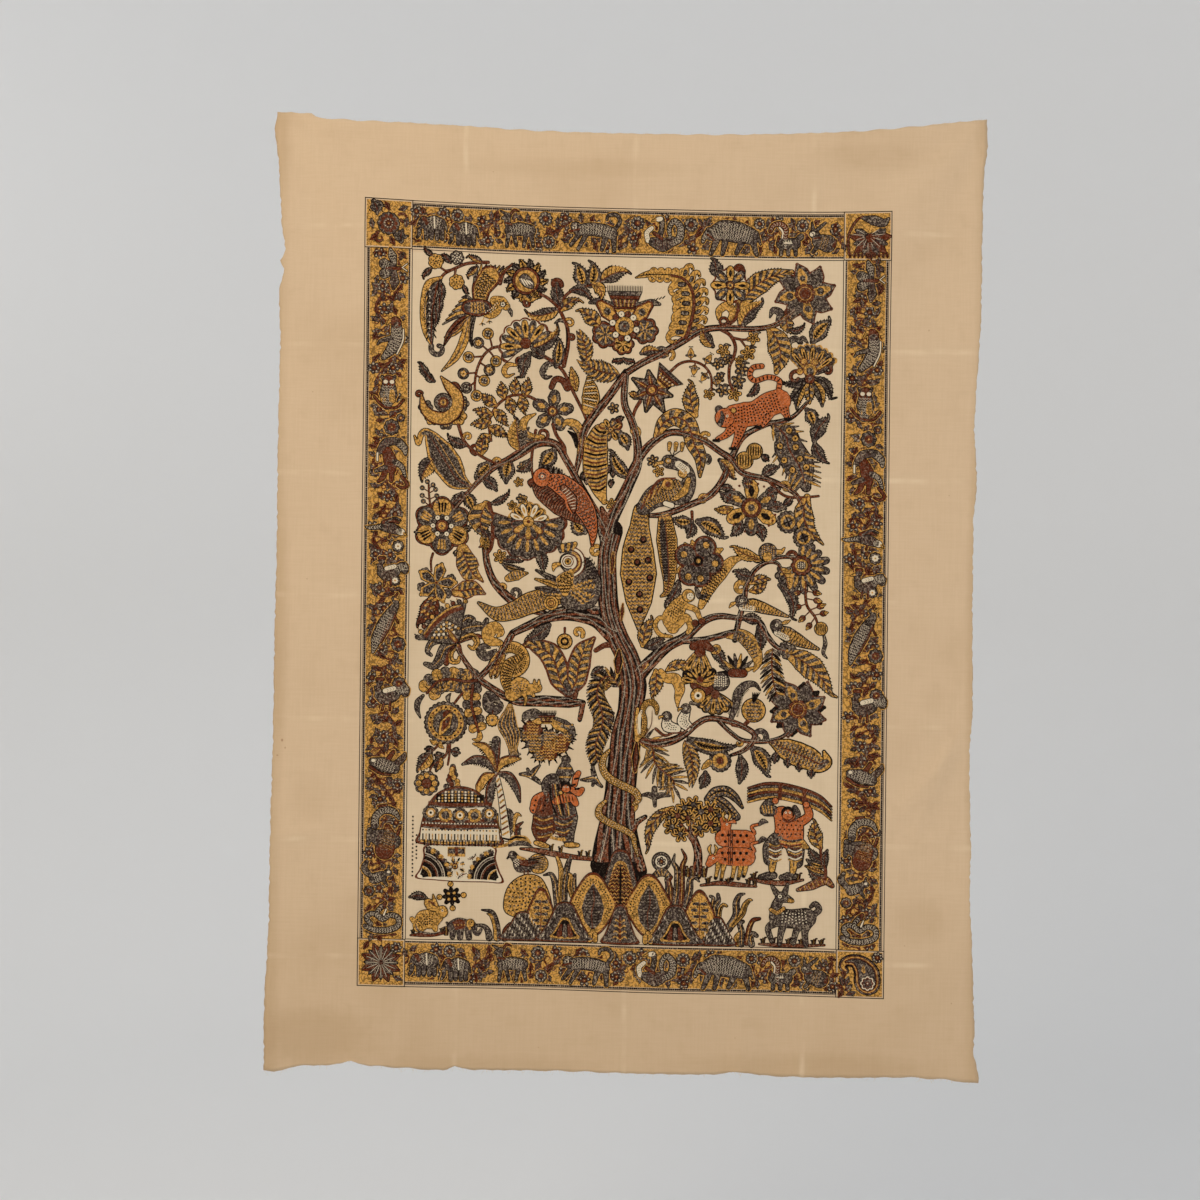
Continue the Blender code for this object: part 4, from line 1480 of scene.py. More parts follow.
def crescent_flower(pen):
    """The flower that an ochre crescent wraps, with a berry twig below it."""
    stem(pen, line_of(150, 890, 162, 860, 188, 839, 212, 829, 236, 828), 4.5)
    for angle, reach, dye, radius in ((0, 29, "grey", 12), (-40, 31, "ochre", 14), (-80, 30, "grey", 12),
                                      (-125, 29, "ochre", 11), (-165, 28, "grey", 11)):
        at = 126 + 921j + cmath.rect(reach, math.radians(angle))
        wheel(pen, dye, at, radius, 1, 1.1, lobes=6, depth=0.2)
        for k in range(5):
            arm = cmath.rect(1, math.radians(angle) + 0.5 * (k - 2))
            stroke(pen, [at - arm * radius * 0.2, at + arm * radius * 0.7], 1.5,
                   "black" if dye == "ochre" else "ochre")
    up = pen.at(rise=1)
    crescent = line_of(92, 933, 97, 912, 112, 899, 132, 898, 147, 912, 148, 932, 135, 948, 123, 962)
    body(up, "madder", crescent, [3, 13, 19, 20, 20, 19, 14, 2], 0.9)
    ribbon(up, "ochre", crescent, [1, 10, 16, 17, 17, 16, 11, 1], 2, 3, True)
    wheel(up, "grey", 127 + 922j, 14, 2, 1.0)
    wheel(up, "madder", 127 + 922j, 9, 3, lobes=9, depth=0.2)
    wheel(up, "ochre", 127 + 922j, 5, 4)
    dot(up, 127 + 922j, 2.2, "grey", 5)
    leaves(pen, (105, 962, 91, 983, 11, "dark", 0.1, 0.6), (112, 955, 99, 968, 10, "veined", 0.1))
    curls(pen, (137, 948, 60, 8, 5, "madder", -1), (93, 936, 120, 5, 4, "madder", 1))
    curls(pen, (160, 868, 95, 6, 4, "ochre", -1), (178, 842, 170, 8, 4.5, "madder", -1),
          (207, 832, 75, 6, 4, "ochre", -1))
    leaves(pen, (163, 856, 136, 868, 14, "veined", 0.1, -0.6), (187, 842, 190, 870, 18, "striped"),
           (200, 830, 179, 808, 22, "edged", 0.1, 0.5), (232, 834, 227, 799, 24, "edged", -0.05),
           (190, 804, 212, 786, 16, "dark", 0.1), (250, 850, 243, 897, 32, "halved", 0.05, 0.3))


def striped_leaf_spray(pen):
    """A bowed twig of short striped leaves."""
    stem(pen, line_of(284, 923, 262, 935, 240, 937, 225, 931, 212, 920, 203, 905, 199, 888, 203, 864), 4)
    for row in ((222, 932, 219, 954), (240, 938, 241, 961), (256, 936, 261, 961), (210, 920, 188, 936),
                (229, 931, 236, 908), (249, 934, 254, 910), (203, 905, 178, 912), (208, 912, 226, 890),
                (200, 893, 174, 890), (201, 885, 226, 872), (201, 872, 182, 862)):
        leaf(pen, complex(*row[:2]), complex(*row[2:]), 16, "striped", 0.04, 0.3)
    rounds(pen, (299, 913, 27, 5, "grey"))
    stems(pen, (5, 300, 892, 306, 875, 318, 858, 320, 846))
    spurs(pen, (16, "ochre", 284, 872, 266, 870, 252, 880, 256, 898, 272, 908),
          (10, "grey", 276, 868, 262, 868, 256, 876, 262, 886))
    stems(pen, (4, 273, 882, 268, 850, 267, 822, 273, 797))
    curls(pen, (289, 868, 40, 9, 4, "madder", 1))
    leaves(pen, (302, 852, 281, 826, 24, "edged", 0.05, 0.4), (265, 835, 248, 818, 16, "dark", 0.1, -0.5))


def stippled_plume(pen):
    """The great dark leaf with a hooked tail, and the budding sprig and leaves by it."""
    plume = line_of(172, 790, 150, 802, 135, 824, 121, 846, 104, 872, 93, 872, 88, 856, 82, 868)
    widths = [4, 34, 44, 40, 14, 8, 6, 2]
    body(pen, "ochre", plume, widths, 1.0)
    ribbon(pen, "grey", plume[:6], [2, 27, 37, 33, 9, 4], 2)
    stipple(pen, plume[:5], [4, 26, 36, 32, 8], 3.6, 1.0)
    stroke(pen, plume[:5], 2.0, "madder", 4)
    stroke(pen, [z + 6 + 3j for z in plume[:5]], 1.2, "ochre", 4)
    leaves(pen, (112, 834, 94, 802, 24, "halved", -0.05, 0.4), (163, 779, 176, 754, 18, "edged", 0.05, -0.5),
           (158, 780, 140, 764, 14, "dark", 0.1, -0.6))
    stems(pen, (2.6, 109, 752, 106, 775, 105, 794))
    for u, v in ((103, 797), (112, 792), (95, 787), (116, 785), (95, 775), (118, 775), (97, 766), (119, 766)):
        stem(pen, [106 + (v - 6) * 1j, complex(u, v)], 1.6, edge=0.2)
        wheel(pen, "grey", complex(u, v), 3.4, 2, 0.6)
        dot(pen, complex(u, v), 1.0, "ochre", 4)


def rim_petal_flower(pen):
    """The six-petalled flower in broad madder rims at the left."""
    centre = 127 + 728j
    for i in range(6):
        arm = cmath.exp(1j * (math.tau * i / 6 + 0.52))
        at = centre + arm * 27
        wheel(pen, "madder", at, 19, 0, 0.9, lobes=4, depth=0.12, turn=math.degrees(cmath.phase(arm)))
        dye = ("grey", "ochre")[i % 2]
        wheel(pen, dye, at + arm, 14.5, 2, 0.8)
        for k in (-1, 0, 1):
            ribbon(pen, "black" if dye == "ochre" else "ochre", [at - arm * 5 + 1j * arm * 4 * k,
                                                                  at + arm * 8 + 1j * arm * 5 * k],
                                                                  [2, 4], 3, 2, True)
    up = pen.at(rise=1)
    for i in range(12):
        at = centre + cmath.rect(14.5, math.tau * i / 12)
        wheel(up, ("resist", "grey")[i % 2], at, 3.6, 1, 0.7)
        dot(up, at, 1.0, "black", 3)
    wheel(up, "madder", centre, 9.5, 2, 0.9)
    wheel(up, "ochre", centre, 6, 3)
    dot(up, centre, 2, "grey", 4)
    leaves(pen, (160, 723, 172, 726, 7, "edged"), (98, 716, 84, 717, 7, "edged"),
           (152, 690, 148, 682, 6, "edged"))
    stems(pen, (3, 113, 684, 110, 672, 111, 656))
    spine = Spine(line_of(160, 691, 166, 672, 174, 656, 183, 650), [20, 34, 30, 4])
    body(pen, "ochre", line_of(160, 691, 166, 672, 174, 656, 184, 650, 192, 642), [18, 32, 30, 8, 1],
         1.2, rim="madder")
    panels(pen, spine, 12, "grey")
    stroke(pen, line_of(158, 694, 166, 672, 176, 654, 192, 642), 2.2, "madder", 4)
    body(pen, "ochre", line_of(150, 624, 164, 628, 178, 630, 195, 623), [12, 26, 22, 1], 1.6, rim="madder")
    panels(pen, Spine(line_of(150, 624, 164, 628, 178, 630, 195, 623), [12, 26, 22, 1]), 10, "grey")
    stroke(pen, line_of(142, 628, 160, 627, 180, 630, 194, 625), 2.2, "madder", 4)
    leaves(pen, (196, 763, 192, 716, 40, "striped", -0.14, 0.2), (204, 765, 231, 782, 9, "dark", -0.1, 0.6))
    stems(pen, (7, 200, 765, 207, 735, 205, 700, 198, 686), (3, 196, 700, 186, 696))
    curls(pen, (200, 700, 200, 8, 6, "ochre", -1))
    rounds(pen, (237, 763, 6, 5, "ochre"), (251, 774, 6, 5, "grey"), (247, 800, 6, 5, "ochre"),
           (252, 824, 6, 5, "grey"), (255, 773, 5, 5, "ochre"))


def pointed_star(pen):
    """A five-pointed flower with small round leaves behind it, and the leaf under it."""
    for i in range(6):
        at = 119 + 638j + cmath.rect(24, math.tau * i / 6 + 0.3)
        wheel(pen, "grey", at, 7, 1, 0.9, lobes=5, depth=0.2)
    for i in range(5):
        arm = cmath.exp(1j * (math.tau * i / 5 + 1.3))
        petal(pen, 119 + 638j, 119 + 638j + arm * 33, 17, "ochre", "black", 1.0, None, 2, True)
        petal(pen, 119 + 638j + arm * 5, 119 + 638j + arm * 27, 12, "grey", "black", 0.3, None, 3, True)
        for k in range(4):
            dot(pen, 119 + 638j + arm * (9 + 5 * k), 1.4, "black", 4)
    dot(pen, 119 + 638j, 2.4, "madder", 5)
    leaf(pen, 116 + 618j, 91 + 574j, 27, "madder", 0.08, 0.2)
    spine = Spine(line_of(116, 618, 106, 596, 91, 574), [10, 27, 2])
    for i in range(6):
        for side in (0.4, -0.4):
            at = spine.at(0.15 + 0.12 * i, side)
            ribbon(pen, ("ochre", "grey")[i % 2], [at - 2, at + 2 + 2j], [3, 4], 4, 2, True)


def comb_flower(pen):
    """The flower that opens as a great fringed comb, with curling leaves round it."""
    heart = 150 + 548j
    for points, dye, width in (
        (line_of(152, 556, 157, 572, 168, 584, 178, 582, 178, 574), "grey", 9),
        (line_of(152, 552, 162, 566, 180, 571, 194, 572, 199, 582), "grey", 17),
        (line_of(146, 544, 126, 548, 112, 543, 106, 530, 112, 524), "grey", 10),
        (line_of(148, 542, 134, 535, 126, 518, 116, 507, 103, 510), "grey", 17),
        (line_of(152, 540, 142, 528, 144, 516, 154, 515, 156, 522), "ochre", 9),
        (line_of(158, 550, 176, 556, 184, 546, 178, 536, 171, 540), "ochre", 9),
        (line_of(156, 546, 168, 552, 184, 556, 190, 554), "madder", 6),
        (line_of(146, 540, 140, 528, 136, 512), "madder", 8),
    ):
        widths = [width * s for s in (0.6, 1.0, 0.9, 0.6, 0.3)][:len(points)]
        body(pen, dye, points, widths, 1.0)
        stroke(pen, points[:-1], 1.3, "ochre" if dye == "grey" else "black")
        if dye == "grey":
            stipple(pen, points[:-1], widths[:-1], 3.4, 0.8, "black", 3, 0.7)
    comb = [152 + 545j, 105 + 548j, 92 + 549j, 104 + 568j, 126 + 592j, 150 + 604j, 165 + 606j, 160 + 580j]
    patch(pen.at(rise=1), "grey", 130 + 570j, comb, 1, 1.1)
    up = pen.at(rise=1)
    ribbon(up, "madder", line_of(102, 552, 118, 574, 140, 592, 162, 600), [6, 7, 7, 5], 2)
    ribbon(up, "ochre", line_of(100, 556, 115, 577, 137, 596, 158, 604), [2, 3, 3, 2], 3)
    for i in range(5):
        rows = line_of(112 + 7 * i, 549, 124 + 6 * i, 566 - i, 138 + 5 * i, 578 - 2 * i)
        for k in range(7 - i):
            at = Spine(rows, 1).at((k + 0.5) / (7 - i))
            wheel(up, ("ochre", "resist")[k % 2], at, 2.2, 3)
            dot(up, at + 3 - 1j, 1.4, "black", 3)
    for i in range(11):
        at = Spine(line_of(90, 552, 104, 574, 126, 596, 150, 608, 165, 610), 1).at(i / 10)
        wheel(up, ("grey", "ochre", "madder")[i % 3], at, 3.2, 1, 0.8)
        dot(up, at + cmath.rect(5.5, 2.3), 1.3, ("black", "ochre")[i % 2], 1)
    ribbon(up, "madder", [heart, 143 + 557j, 137 + 567j], [8, 9, 2], 4, 2, True)
    ribbon(up, "ochre", [heart, 143 + 557j, 139 + 564j], [3, 5, 1], 5, 2, True)
    stem(pen, line_of(156, 540, 160, 525, 170, 508, 182, 498), 5)


def seeded_fruit(pen):
    """The round cut fruit full of seeds, the caterpillar leaves and the small flower below."""
    for rib, count, size in ((line_of(184, 486, 165, 484, 142, 487, 122, 482, 106, 464), 8, 18),
                             (line_of(178, 478, 176, 450, 182, 425, 188, 405), 6, 13)):
        spine = Spine(rib, 1)
        for i in range(count):
            for side in (-1, 1):
                at = spine.at((i + 0.4) / count)
                out = at + (spine.at((i + 0.4) / count, 2 * side) - at) * size * 0.55
                wheel(pen, ("ochre", "grey")[(i + side) % 2], out, size * 0.52, 1, 1.0, lobes=3, depth=0.12)
                stroke(pen, [at, out], 1.4)
        stem(pen.at(rise=1), rib, 4.2)
    spurs(pen, (8, "grey", 100, 460, 92, 450, 91, 438, 96, 425),
          (8, "ochre", 188, 408, 190, 398, 186, 392, 179, 393))
    stem(pen, line_of(176, 478, 160, 463, 150, 450), 4)
    centre = 136 + 418j
    wheel(pen, "grey", centre, 33, 1, 1.3, lobes=26, depth=0.06)
    wheel(pen, "ochre", centre, 28, 2)
    for i in range(20):
        dot(pen, centre + cmath.rect(24.5, math.tau * i / 20), 1.9, ("madder", "black")[i % 2], 3)
    wheel(pen, "grey", centre, 20, 3, 0.9)
    wheel(pen, "madder", centre + 3 + 12j, 8, 4)
    body(pen.at(rise=1), "ochre", line_of(128, 401, 135, 415, 143, 430), [6, 17, 7], 0.8)
    ribbon(pen.at(rise=1), "madder", line_of(130, 405, 136, 417, 142, 427), [3, 11, 4], 4)
    dot(pen.at(rise=1), 138 + 420j, 2.6, "grey", 5)
    spurs(pen, (7, "grey", 140, 452, 139, 458, 143, 464), (8, "ochre", 126, 390, 118, 386, 112, 390),
          (8, "ochre", 128, 389, 128, 382, 133, 378))
    stems(pen, (3, 126, 384, 116, 374, 100, 362), (3, 140, 384, 136, 366, 116, 350, 112, 342),
          (3, 143, 384, 142, 366, 140, 352))
    leaves(pen, (112, 370, 93, 344, 22, "halved", 0.05, 0.3), (118, 376, 104, 376, 7, "dark"),
           (128, 364, 122, 342, 13, "halved"), (146, 374, 158, 371, 12, "dark"),
           (132, 368, 119, 367, 9, "dark", 0.1))
    wheel(pen, "grey", 107 + 322j, 19, 1, 1.1, lobes=10, depth=0.12)
    for i in range(8):
        wheel(pen, "ochre", 107 + 322j + cmath.rect(12.5, math.tau * i / 8), 4.2, 2, 0.6)
    wheel(pen, "madder", 107 + 322j, 7.5, 3, 0.8)
    for i in range(16):
        at = 148 + 333j + complex(11 * math.sin(2.4 * i) * (i / 16), 16 - 2.1 * i)
        wheel(pen, ("grey", "madder", "ochre")[i % 3], at, 4, 1 + i % 3, 0.6)


def paisley_ring(pen):
    """The ochre crescent leaf, the ring fruit and the leafless spiral over the long branch."""
    spurs(pen, (22, "ochre", 220, 546, 204, 550, 202, 562, 212, 570, 221, 562, 216, 556),
          (16, "grey", 212, 532, 198, 524, 190, 532, 196, 540, 204, 538))
    leaves(pen, (216, 528, 206, 495, 22, "ochre", 0.1, 0.3), (226, 526, 216, 494, 16, "ochre", -0.1, -0.3))
    ring_line = [238 + 520j + cmath.rect(20, math.radians(a)) for a in range(160, -150, -30)]
    body(pen, "ochre", ring_line, [3, 12, 16, 17, 17, 17, 17, 16, 16, 14, 10], 1.1)
    fringe(pen, ring_line, 16, 3.0, 3.4)
    stipple(pen, ring_line[1:], 11, 3.2, 1.3)
    body(pen, "grey", line_of(216, 455, 204, 462, 203, 446, 214, 440, 222, 448, 218, 454),
         [9, 15, 16, 14, 8, 3], 1.0)
    stroke(pen, line_of(210, 440, 210, 432), 2, "madder")
    wheel(pen, "ochre", 209 + 424j, 9, 1, 1.6, lobes=12, depth=0.12)
    dot(pen, 209 + 424j, 2.6, "grey")
    nest = line_of(237, 450, 236, 438, 233, 418, 240, 400, 242, 380, 244, 370)
    body(pen, "grey", nest, [4, 14, 29, 24, 12, 14], 1.1)
    for i in range(6):
        stroke(pen, [z + (i - 2.5) * 3.4 * w for z, w in zip(nest, (0.3, 0.9, 1.8, 1.5, 0.7, 0.6))],
               1.4, "ochre")
    stroke(pen, line_of(235, 366, 246, 369, 255, 372), 5, "grey", 1, (1, 0.6))
    squirrel(pen)


def squirrel(pen):
    """A squirrel that sits on the long branch, its brush curled over its back."""
    up = pen.at(rise=2)
    brush = line_of(236, 470, 230, 490, 236, 512, 252, 525)
    body(up, "ochre", brush, [12, 17, 18, 8], 1.0)
    scales(up, brush, [12, 17, 18, 8], 4.4, "black", 1.6)
    body(up, "ochre", line_of(240, 466, 252, 478, 266, 474, 276, 476), [22, 30, 18, 13], 1.0, 2)
    stipple(up, line_of(242, 470, 252, 478, 264, 475), [18, 26, 14], 4.0, 1.3, "grey", 4)
    wheel(up, "ochre", 279 + 477j, 7.5, 2, 0.9)
    dot(up, 281 + 479j, 1.2, "black", 4)
    for u in (275, 282):
        body(up, "ochre", [u + 483j, u + 489j], [4, 2], 0.8, 3)
    for points in (line_of(258, 468, 262, 458, 260, 450), line_of(270, 470, 274, 464)):
        body(up, "ochre", points, [6, 4, 3][:len(points)], 0.8, 2)


def domed_hut(pen):
    """A domed and tasselled hut that stands on a patterned tray."""
    tray = [108 + 224j, 104 + 205j, 98 + 186j, 92 + 173j, 120 + 170j, 160 + 168j, 200 + 168j, 228 + 168j,
            222 + 186j, 216 + 205j, 213 + 224j, 160 + 226j]
    patch(pen, "madder", 160 + 198j, [160 + 198j + (z - 160 - 198j) * 1.02 for z in tray], 0)
    patch(pen, "resist", 160 + 198j, [160 + 198j + (z - 160 - 198j) * 0.965 for z in tray], 1)
    for corner, side in ((98 + 174j, 1), (222 + 171j, -1)):
        start, end = (78, 2) if side > 0 else (102, 178)
        for radius, width, dye in ((10, 12, "black"), (16, 4, "ochre"), (22, 7, "black"), (27, 3, "madder"),
                                   (32, 6, "black"), (37, 3, "grey"), (42, 5, "black")):
            ribbon(pen, dye, arc(corner, radius, start, end, 6), width, 2, 4.0)
        for k in range(8):
            at = corner + cmath.rect(46, math.radians(start + (end - start) * (k + 0.5) / 8))
            wheel(pen, ("grey", "ochre")[k % 2], at, 4.6, 2, 0.8, lobes=3, depth=0.2)
    rounds(pen, (153, 192, 17, 8, "ochre"))
    leaves(pen, (138, 202, 122, 211, 9, "dark", 0.2), (172, 204, 186, 213, 9, "dark", -0.2),
           (158, 173, 172, 181, 6, "dark", 0.1))
    ribbon(pen, "ochre", [141 + 215j, 169 + 215j], [15, 15], 2)
    ribbon(pen, "grey", [142 + 216j, 168 + 216j], [8, 8], 3)
    ribbon(pen, "madder", [155 + 223j, 155 + 209j], [5, 5], 4)
    up = pen.at(rise=1)
    dome = [96 + 228j, 98 + 245j, 103 + 268j, 112 + 290j, 128 + 308j, 155 + 317j, 182 + 312j, 203 + 294j,
            216 + 268j, 221 + 245j, 224 + 228j, 160 + 226j]
    middle = 160 + 262j
    patch(up, "madder", middle, [middle + (z - middle) * 1.02 for z in dome], 0, 0.6)
    patch(up, "grey", middle, [middle + (z - middle) * 0.965 for z in dome], 1)

    def band(v, half, width, dye, sub=2, sag=3):
        ribbon(up, dye, [160 - half + v * 1j, 160 - half / 2 + (v - sag) * 1j, 160 + (v - sag) * 1j,
                         160 + half / 2 + (v - sag / 2) * 1j, 160 + half + v * 1j], width, sub, 6.0)

    band(300, 38, 12, "black")
    band(292, 50, 5, "madder", 3)
    band(277, 55, 20, "resist")
    band(266, 58, 5, "madder", 3)
    band(258, 60, 5, "madder", 3)
    band(248, 61, 9, "resist")
    band(238, 62, 12, "resist")
    band(232, 62, 4, "ochre", 3)
    for row in range(4):
        for k in range(15 - 2 * row):
            at = complex(158 + (k - 7 + row) * 5.2, 296 + 4.6 * row - abs(k - 7 + row) * 0.2)
            dot(up, at, 1.8, ("ochre", "resist")[(k + row) % 2], 4)
    for k in range(5):
        at = complex(114 + 23 * k, 275 - 3.2 * (1 - ((k - 2) / 2) ** 2))
        if k % 2:
            wheel(up, "ochre", at, 11, 4, 0.6, lobes=9, depth=0.12)
            wheel(up, "grey", at, 6.5, 5)
        else:
            wheel(up, "grey", at, 12.5, 4, 0.6, lobes=12, depth=0.1)
            wheel(up, "ochre", at + 1j, 7.5, 5)
            wheel(up, "resist", at + 1j, 4.8, 6)
            dot(up, at + 1j, 2.2, "black", 7)
    for k in range(24):
        at = 102 + 5 * k
        dot(up, complex(at, 259.5), 1.2, "resist", 5)
        dot(up, complex(at, 249), 1.5, ("black", "ochre")[k % 2], 5)
        stroke(up, [complex(at, 243), complex(at, 231)], 1.7, ("black", "ochre")[k % 2], 5, (1, 0.6))
        stroke(up, [complex(at + 2.5, 234), complex(at + 2.5, 224)], 1.8, ("black", "grey")[k % 2], 5, (1, 1))
    for k in range(30):
        if k < 16:
            dot(pen, complex(86, 269 - 6.2 * k), 1.6, ("black", "grey")[k % 3 == 1])
        elif k < 23:
            dot(pen, complex(92, 240 - 6.0 * (k - 16)), 1.6)


def palm(pen):
    """A palm with a banded stem and saw-edged fronds."""
    stalk = line_of(217, 340, 223, 310, 228, 280, 233, 240)
    body(pen, "resist", stalk, [5, 8, 10, 13], 1.0)
    spine = Spine(stalk, [5, 8, 10, 13])
    for i in range(12):
        ends = [spine.at(i / 12, 0.9), spine.at(i / 12 + 0.05, -0.9)]
        stroke(pen, ends, 3.0, ("madder", "ochre")[i % 2], 3, (1, 1))
    for numbers, dye in (
        ((216, 342, 200, 358, 182, 361, 163, 353), "grey"),
        ((216, 344, 208, 368, 196, 382, 180, 386), "ochre"),
        ((217, 346, 215, 372, 216, 392), "grey"), ((218, 344, 226, 358, 240, 363, 254, 364), "ochre"),
        ((218, 340, 236, 336, 248, 318, 254, 296), "grey"),
        ((215, 338, 200, 334, 190, 318, 188, 309), "ochre"),
        ((216, 338, 208, 318, 206, 300, 207, 284), "grey"),
    ):
        frond = line_of(*numbers)
        widths = [4, 13, 12, 2][:len(frond)]
        side = -1 if numbers[2] < 216 else 1
        body(pen, dye, frond, widths, 0.9)
        spine = Spine(frond, widths)
        low = -1 if (frond[1] - frond[0]).real > 0 else 1
        for i in range(11):
            root = spine.at(0.15 + 0.078 * i, low * 0.9)
            stroke(pen, [root, root + (root - spine.at(0.15 + 0.078 * i)) * 0.9 + side * 1.5], 1.9,
                   "black", 0, (1, 0.2))
        stroke(pen, spine.points(0, 0.95, -low * 0.8, 6), 2.2, "madder", 3)
    spurs(pen, (8, "ochre", 222, 248, 217, 262, 219, 276),
          (8, "grey", 240, 246, 242, 266, 238, 280, 234, 284),
          (7, "ochre", 245, 250, 244, 264, 250, 276, 256, 274), (7, "madder", 248, 240, 250, 256, 259, 264),
          (6, "grey", 254, 240, 252, 250, 256, 254))
    ribbon(pen, "ochre", line_of(212, 224, 228, 226, 238, 230, 244, 238, 262, 238, 272, 230),
           [5, 5, 6, 8, 9, 4], 2)
    ribbon(pen, "black", line_of(226, 238, 240, 236, 248, 240, 264, 239), [3, 3, 4, 2], 3)
    ribbon(pen, "grey", line_of(236, 226, 250, 230, 264, 230, 276, 224), [4, 8, 8, 2], 3)


def pot_carrier(pen):
    """A walking woman who carries a pot on her head and a bundle on her back."""
    up = pen.at(rise=1)
    body(pen, "orange", line_of(278, 286, 284, 296, 296, 302, 304, 292), [16, 24, 22, 16], 1.1)
    for k in range(12):
        dot(pen, complex(275 + (k % 4) * 8 + (k // 4) * 2, 283 + (k // 4) * 8), 1.9,
            ("black", "madder")[k % 2])
    body(pen, "grey", line_of(305, 300, 300, 325, 308, 333, 320, 325, 330, 300), [24, 22, 16, 22, 26], 1.1)
    body(pen, "madder", line_of(300, 290, 296, 268, 290, 250, 288, 235), [40, 42, 34, 14], 1.1)
    body(pen, "grey", line_of(322, 295, 326, 272, 328, 250, 333, 232), [34, 38, 26, 12], 1.1, 2)
    for i in range(9):
        stroke(up, line_of(276 + i, 278 - 5.2 * i, 290, 272 - 4.4 * i, 306, 276 - 4.2 * i), 2.4,
               ("grey", "ochre", "madder")[i % 3], 3, (1, 1))
        stroke(up, line_of(310, 275 - 4.6 * i, 324, 270 - 4.2 * i, 342 - 1.8 * i, 278 - 4.8 * i), 2.2,
               ("madder", "grey", "ochre")[i % 3], 4, (1, 1))
    for i in range(6):
        stroke(up, line_of(301 + 4 * i, 326, 303 + 5 * i, 300, 312 + 4 * i, 276), 2.0,
               ("black", "madder", "ochre")[i % 3], 4, (1, 1))
    body(up, "orange", line_of(310, 298, 322, 303, 336, 304, 342, 296), [10, 15, 12, 9], 0.9, 3)
    for k in range(5):
        stroke(up, line_of(316 + 5 * k, 308, 318 + 5 * k, 298), 1.2, "black", 5)
    for points in (line_of(336, 318, 346, 312, 352, 318), line_of(340, 326, 342, 336, 346, 344)):
        body(up, "orange", points, [8, 9, 7], 0.9, 3)
    for u, v in ((344, 318), (338, 324), (343, 334)):
        stroke(up, [complex(u - 4, v), complex(u + 4, v + 2)], 2.4, "black", 5, (1, 1))
    wheel(up, "black", 325 + 322j, 9.6, 3)
    calm_face(up.at(326.5 + 320j, 0, 0.95, rise=1), hair="black")
    wheel(up, "ochre", 318 + 312j, 2.8, 5, 0.7)
    pot = line_of(325, 336, 325, 344, 325, 352, 325, 360, 326, 364)
    body(up, "grey", pot, [16, 27, 20, 9, 13], 1.1, 3)
    for v, width in ((337, 18), (351, 20)):
        stroke(up, [complex(325 - width / 2, v), complex(325 + width / 2, v)], 2.6, "ochre", 5, (1, 1))
    for foot, toe in ((280 + 232j, 298 + 227j), (328 + 230j, 346 + 230j)):
        body(up, "ochre", [foot, (foot + toe) / 2, toe], [6, 8, 5], 1.0, 3)
    ribbon(up, "ochre", line_of(302, 242, 312, 239, 326, 240), [5, 4, 4], 4)


def calm_face(pen, hair="black"):
    """A small plain face in three-quarter view: round cheeks, level eyes and a closed mouth."""
    wheel(pen, "orange", 0j, 7.5, 1, 0.9)
    for side in (-1, 1):
        wheel(pen, "resist", complex(2.6 * side, 1.4), 1.5, 3)
        dot(pen, complex(2.6 * side, 1.4), 0.8, "black", 4)
        stroke(pen, [complex(2.6 * side - 1.8, 3.6), complex(2.6 * side + 1.8, 3.6)], 0.8)
    stroke(pen, [0.2 + 1.6j, 0.5 - 1.2j], 0.8)
    stroke(pen, [-1.8 - 3.4j, 0 - 3.8j, 1.8 - 3.4j], 0.9, "madder")
    ribbon(pen, hair, arc(0j, 7.3, 200, -20, 7), [2, 3.4, 4, 4.4, 4, 3.4, 2], 3)


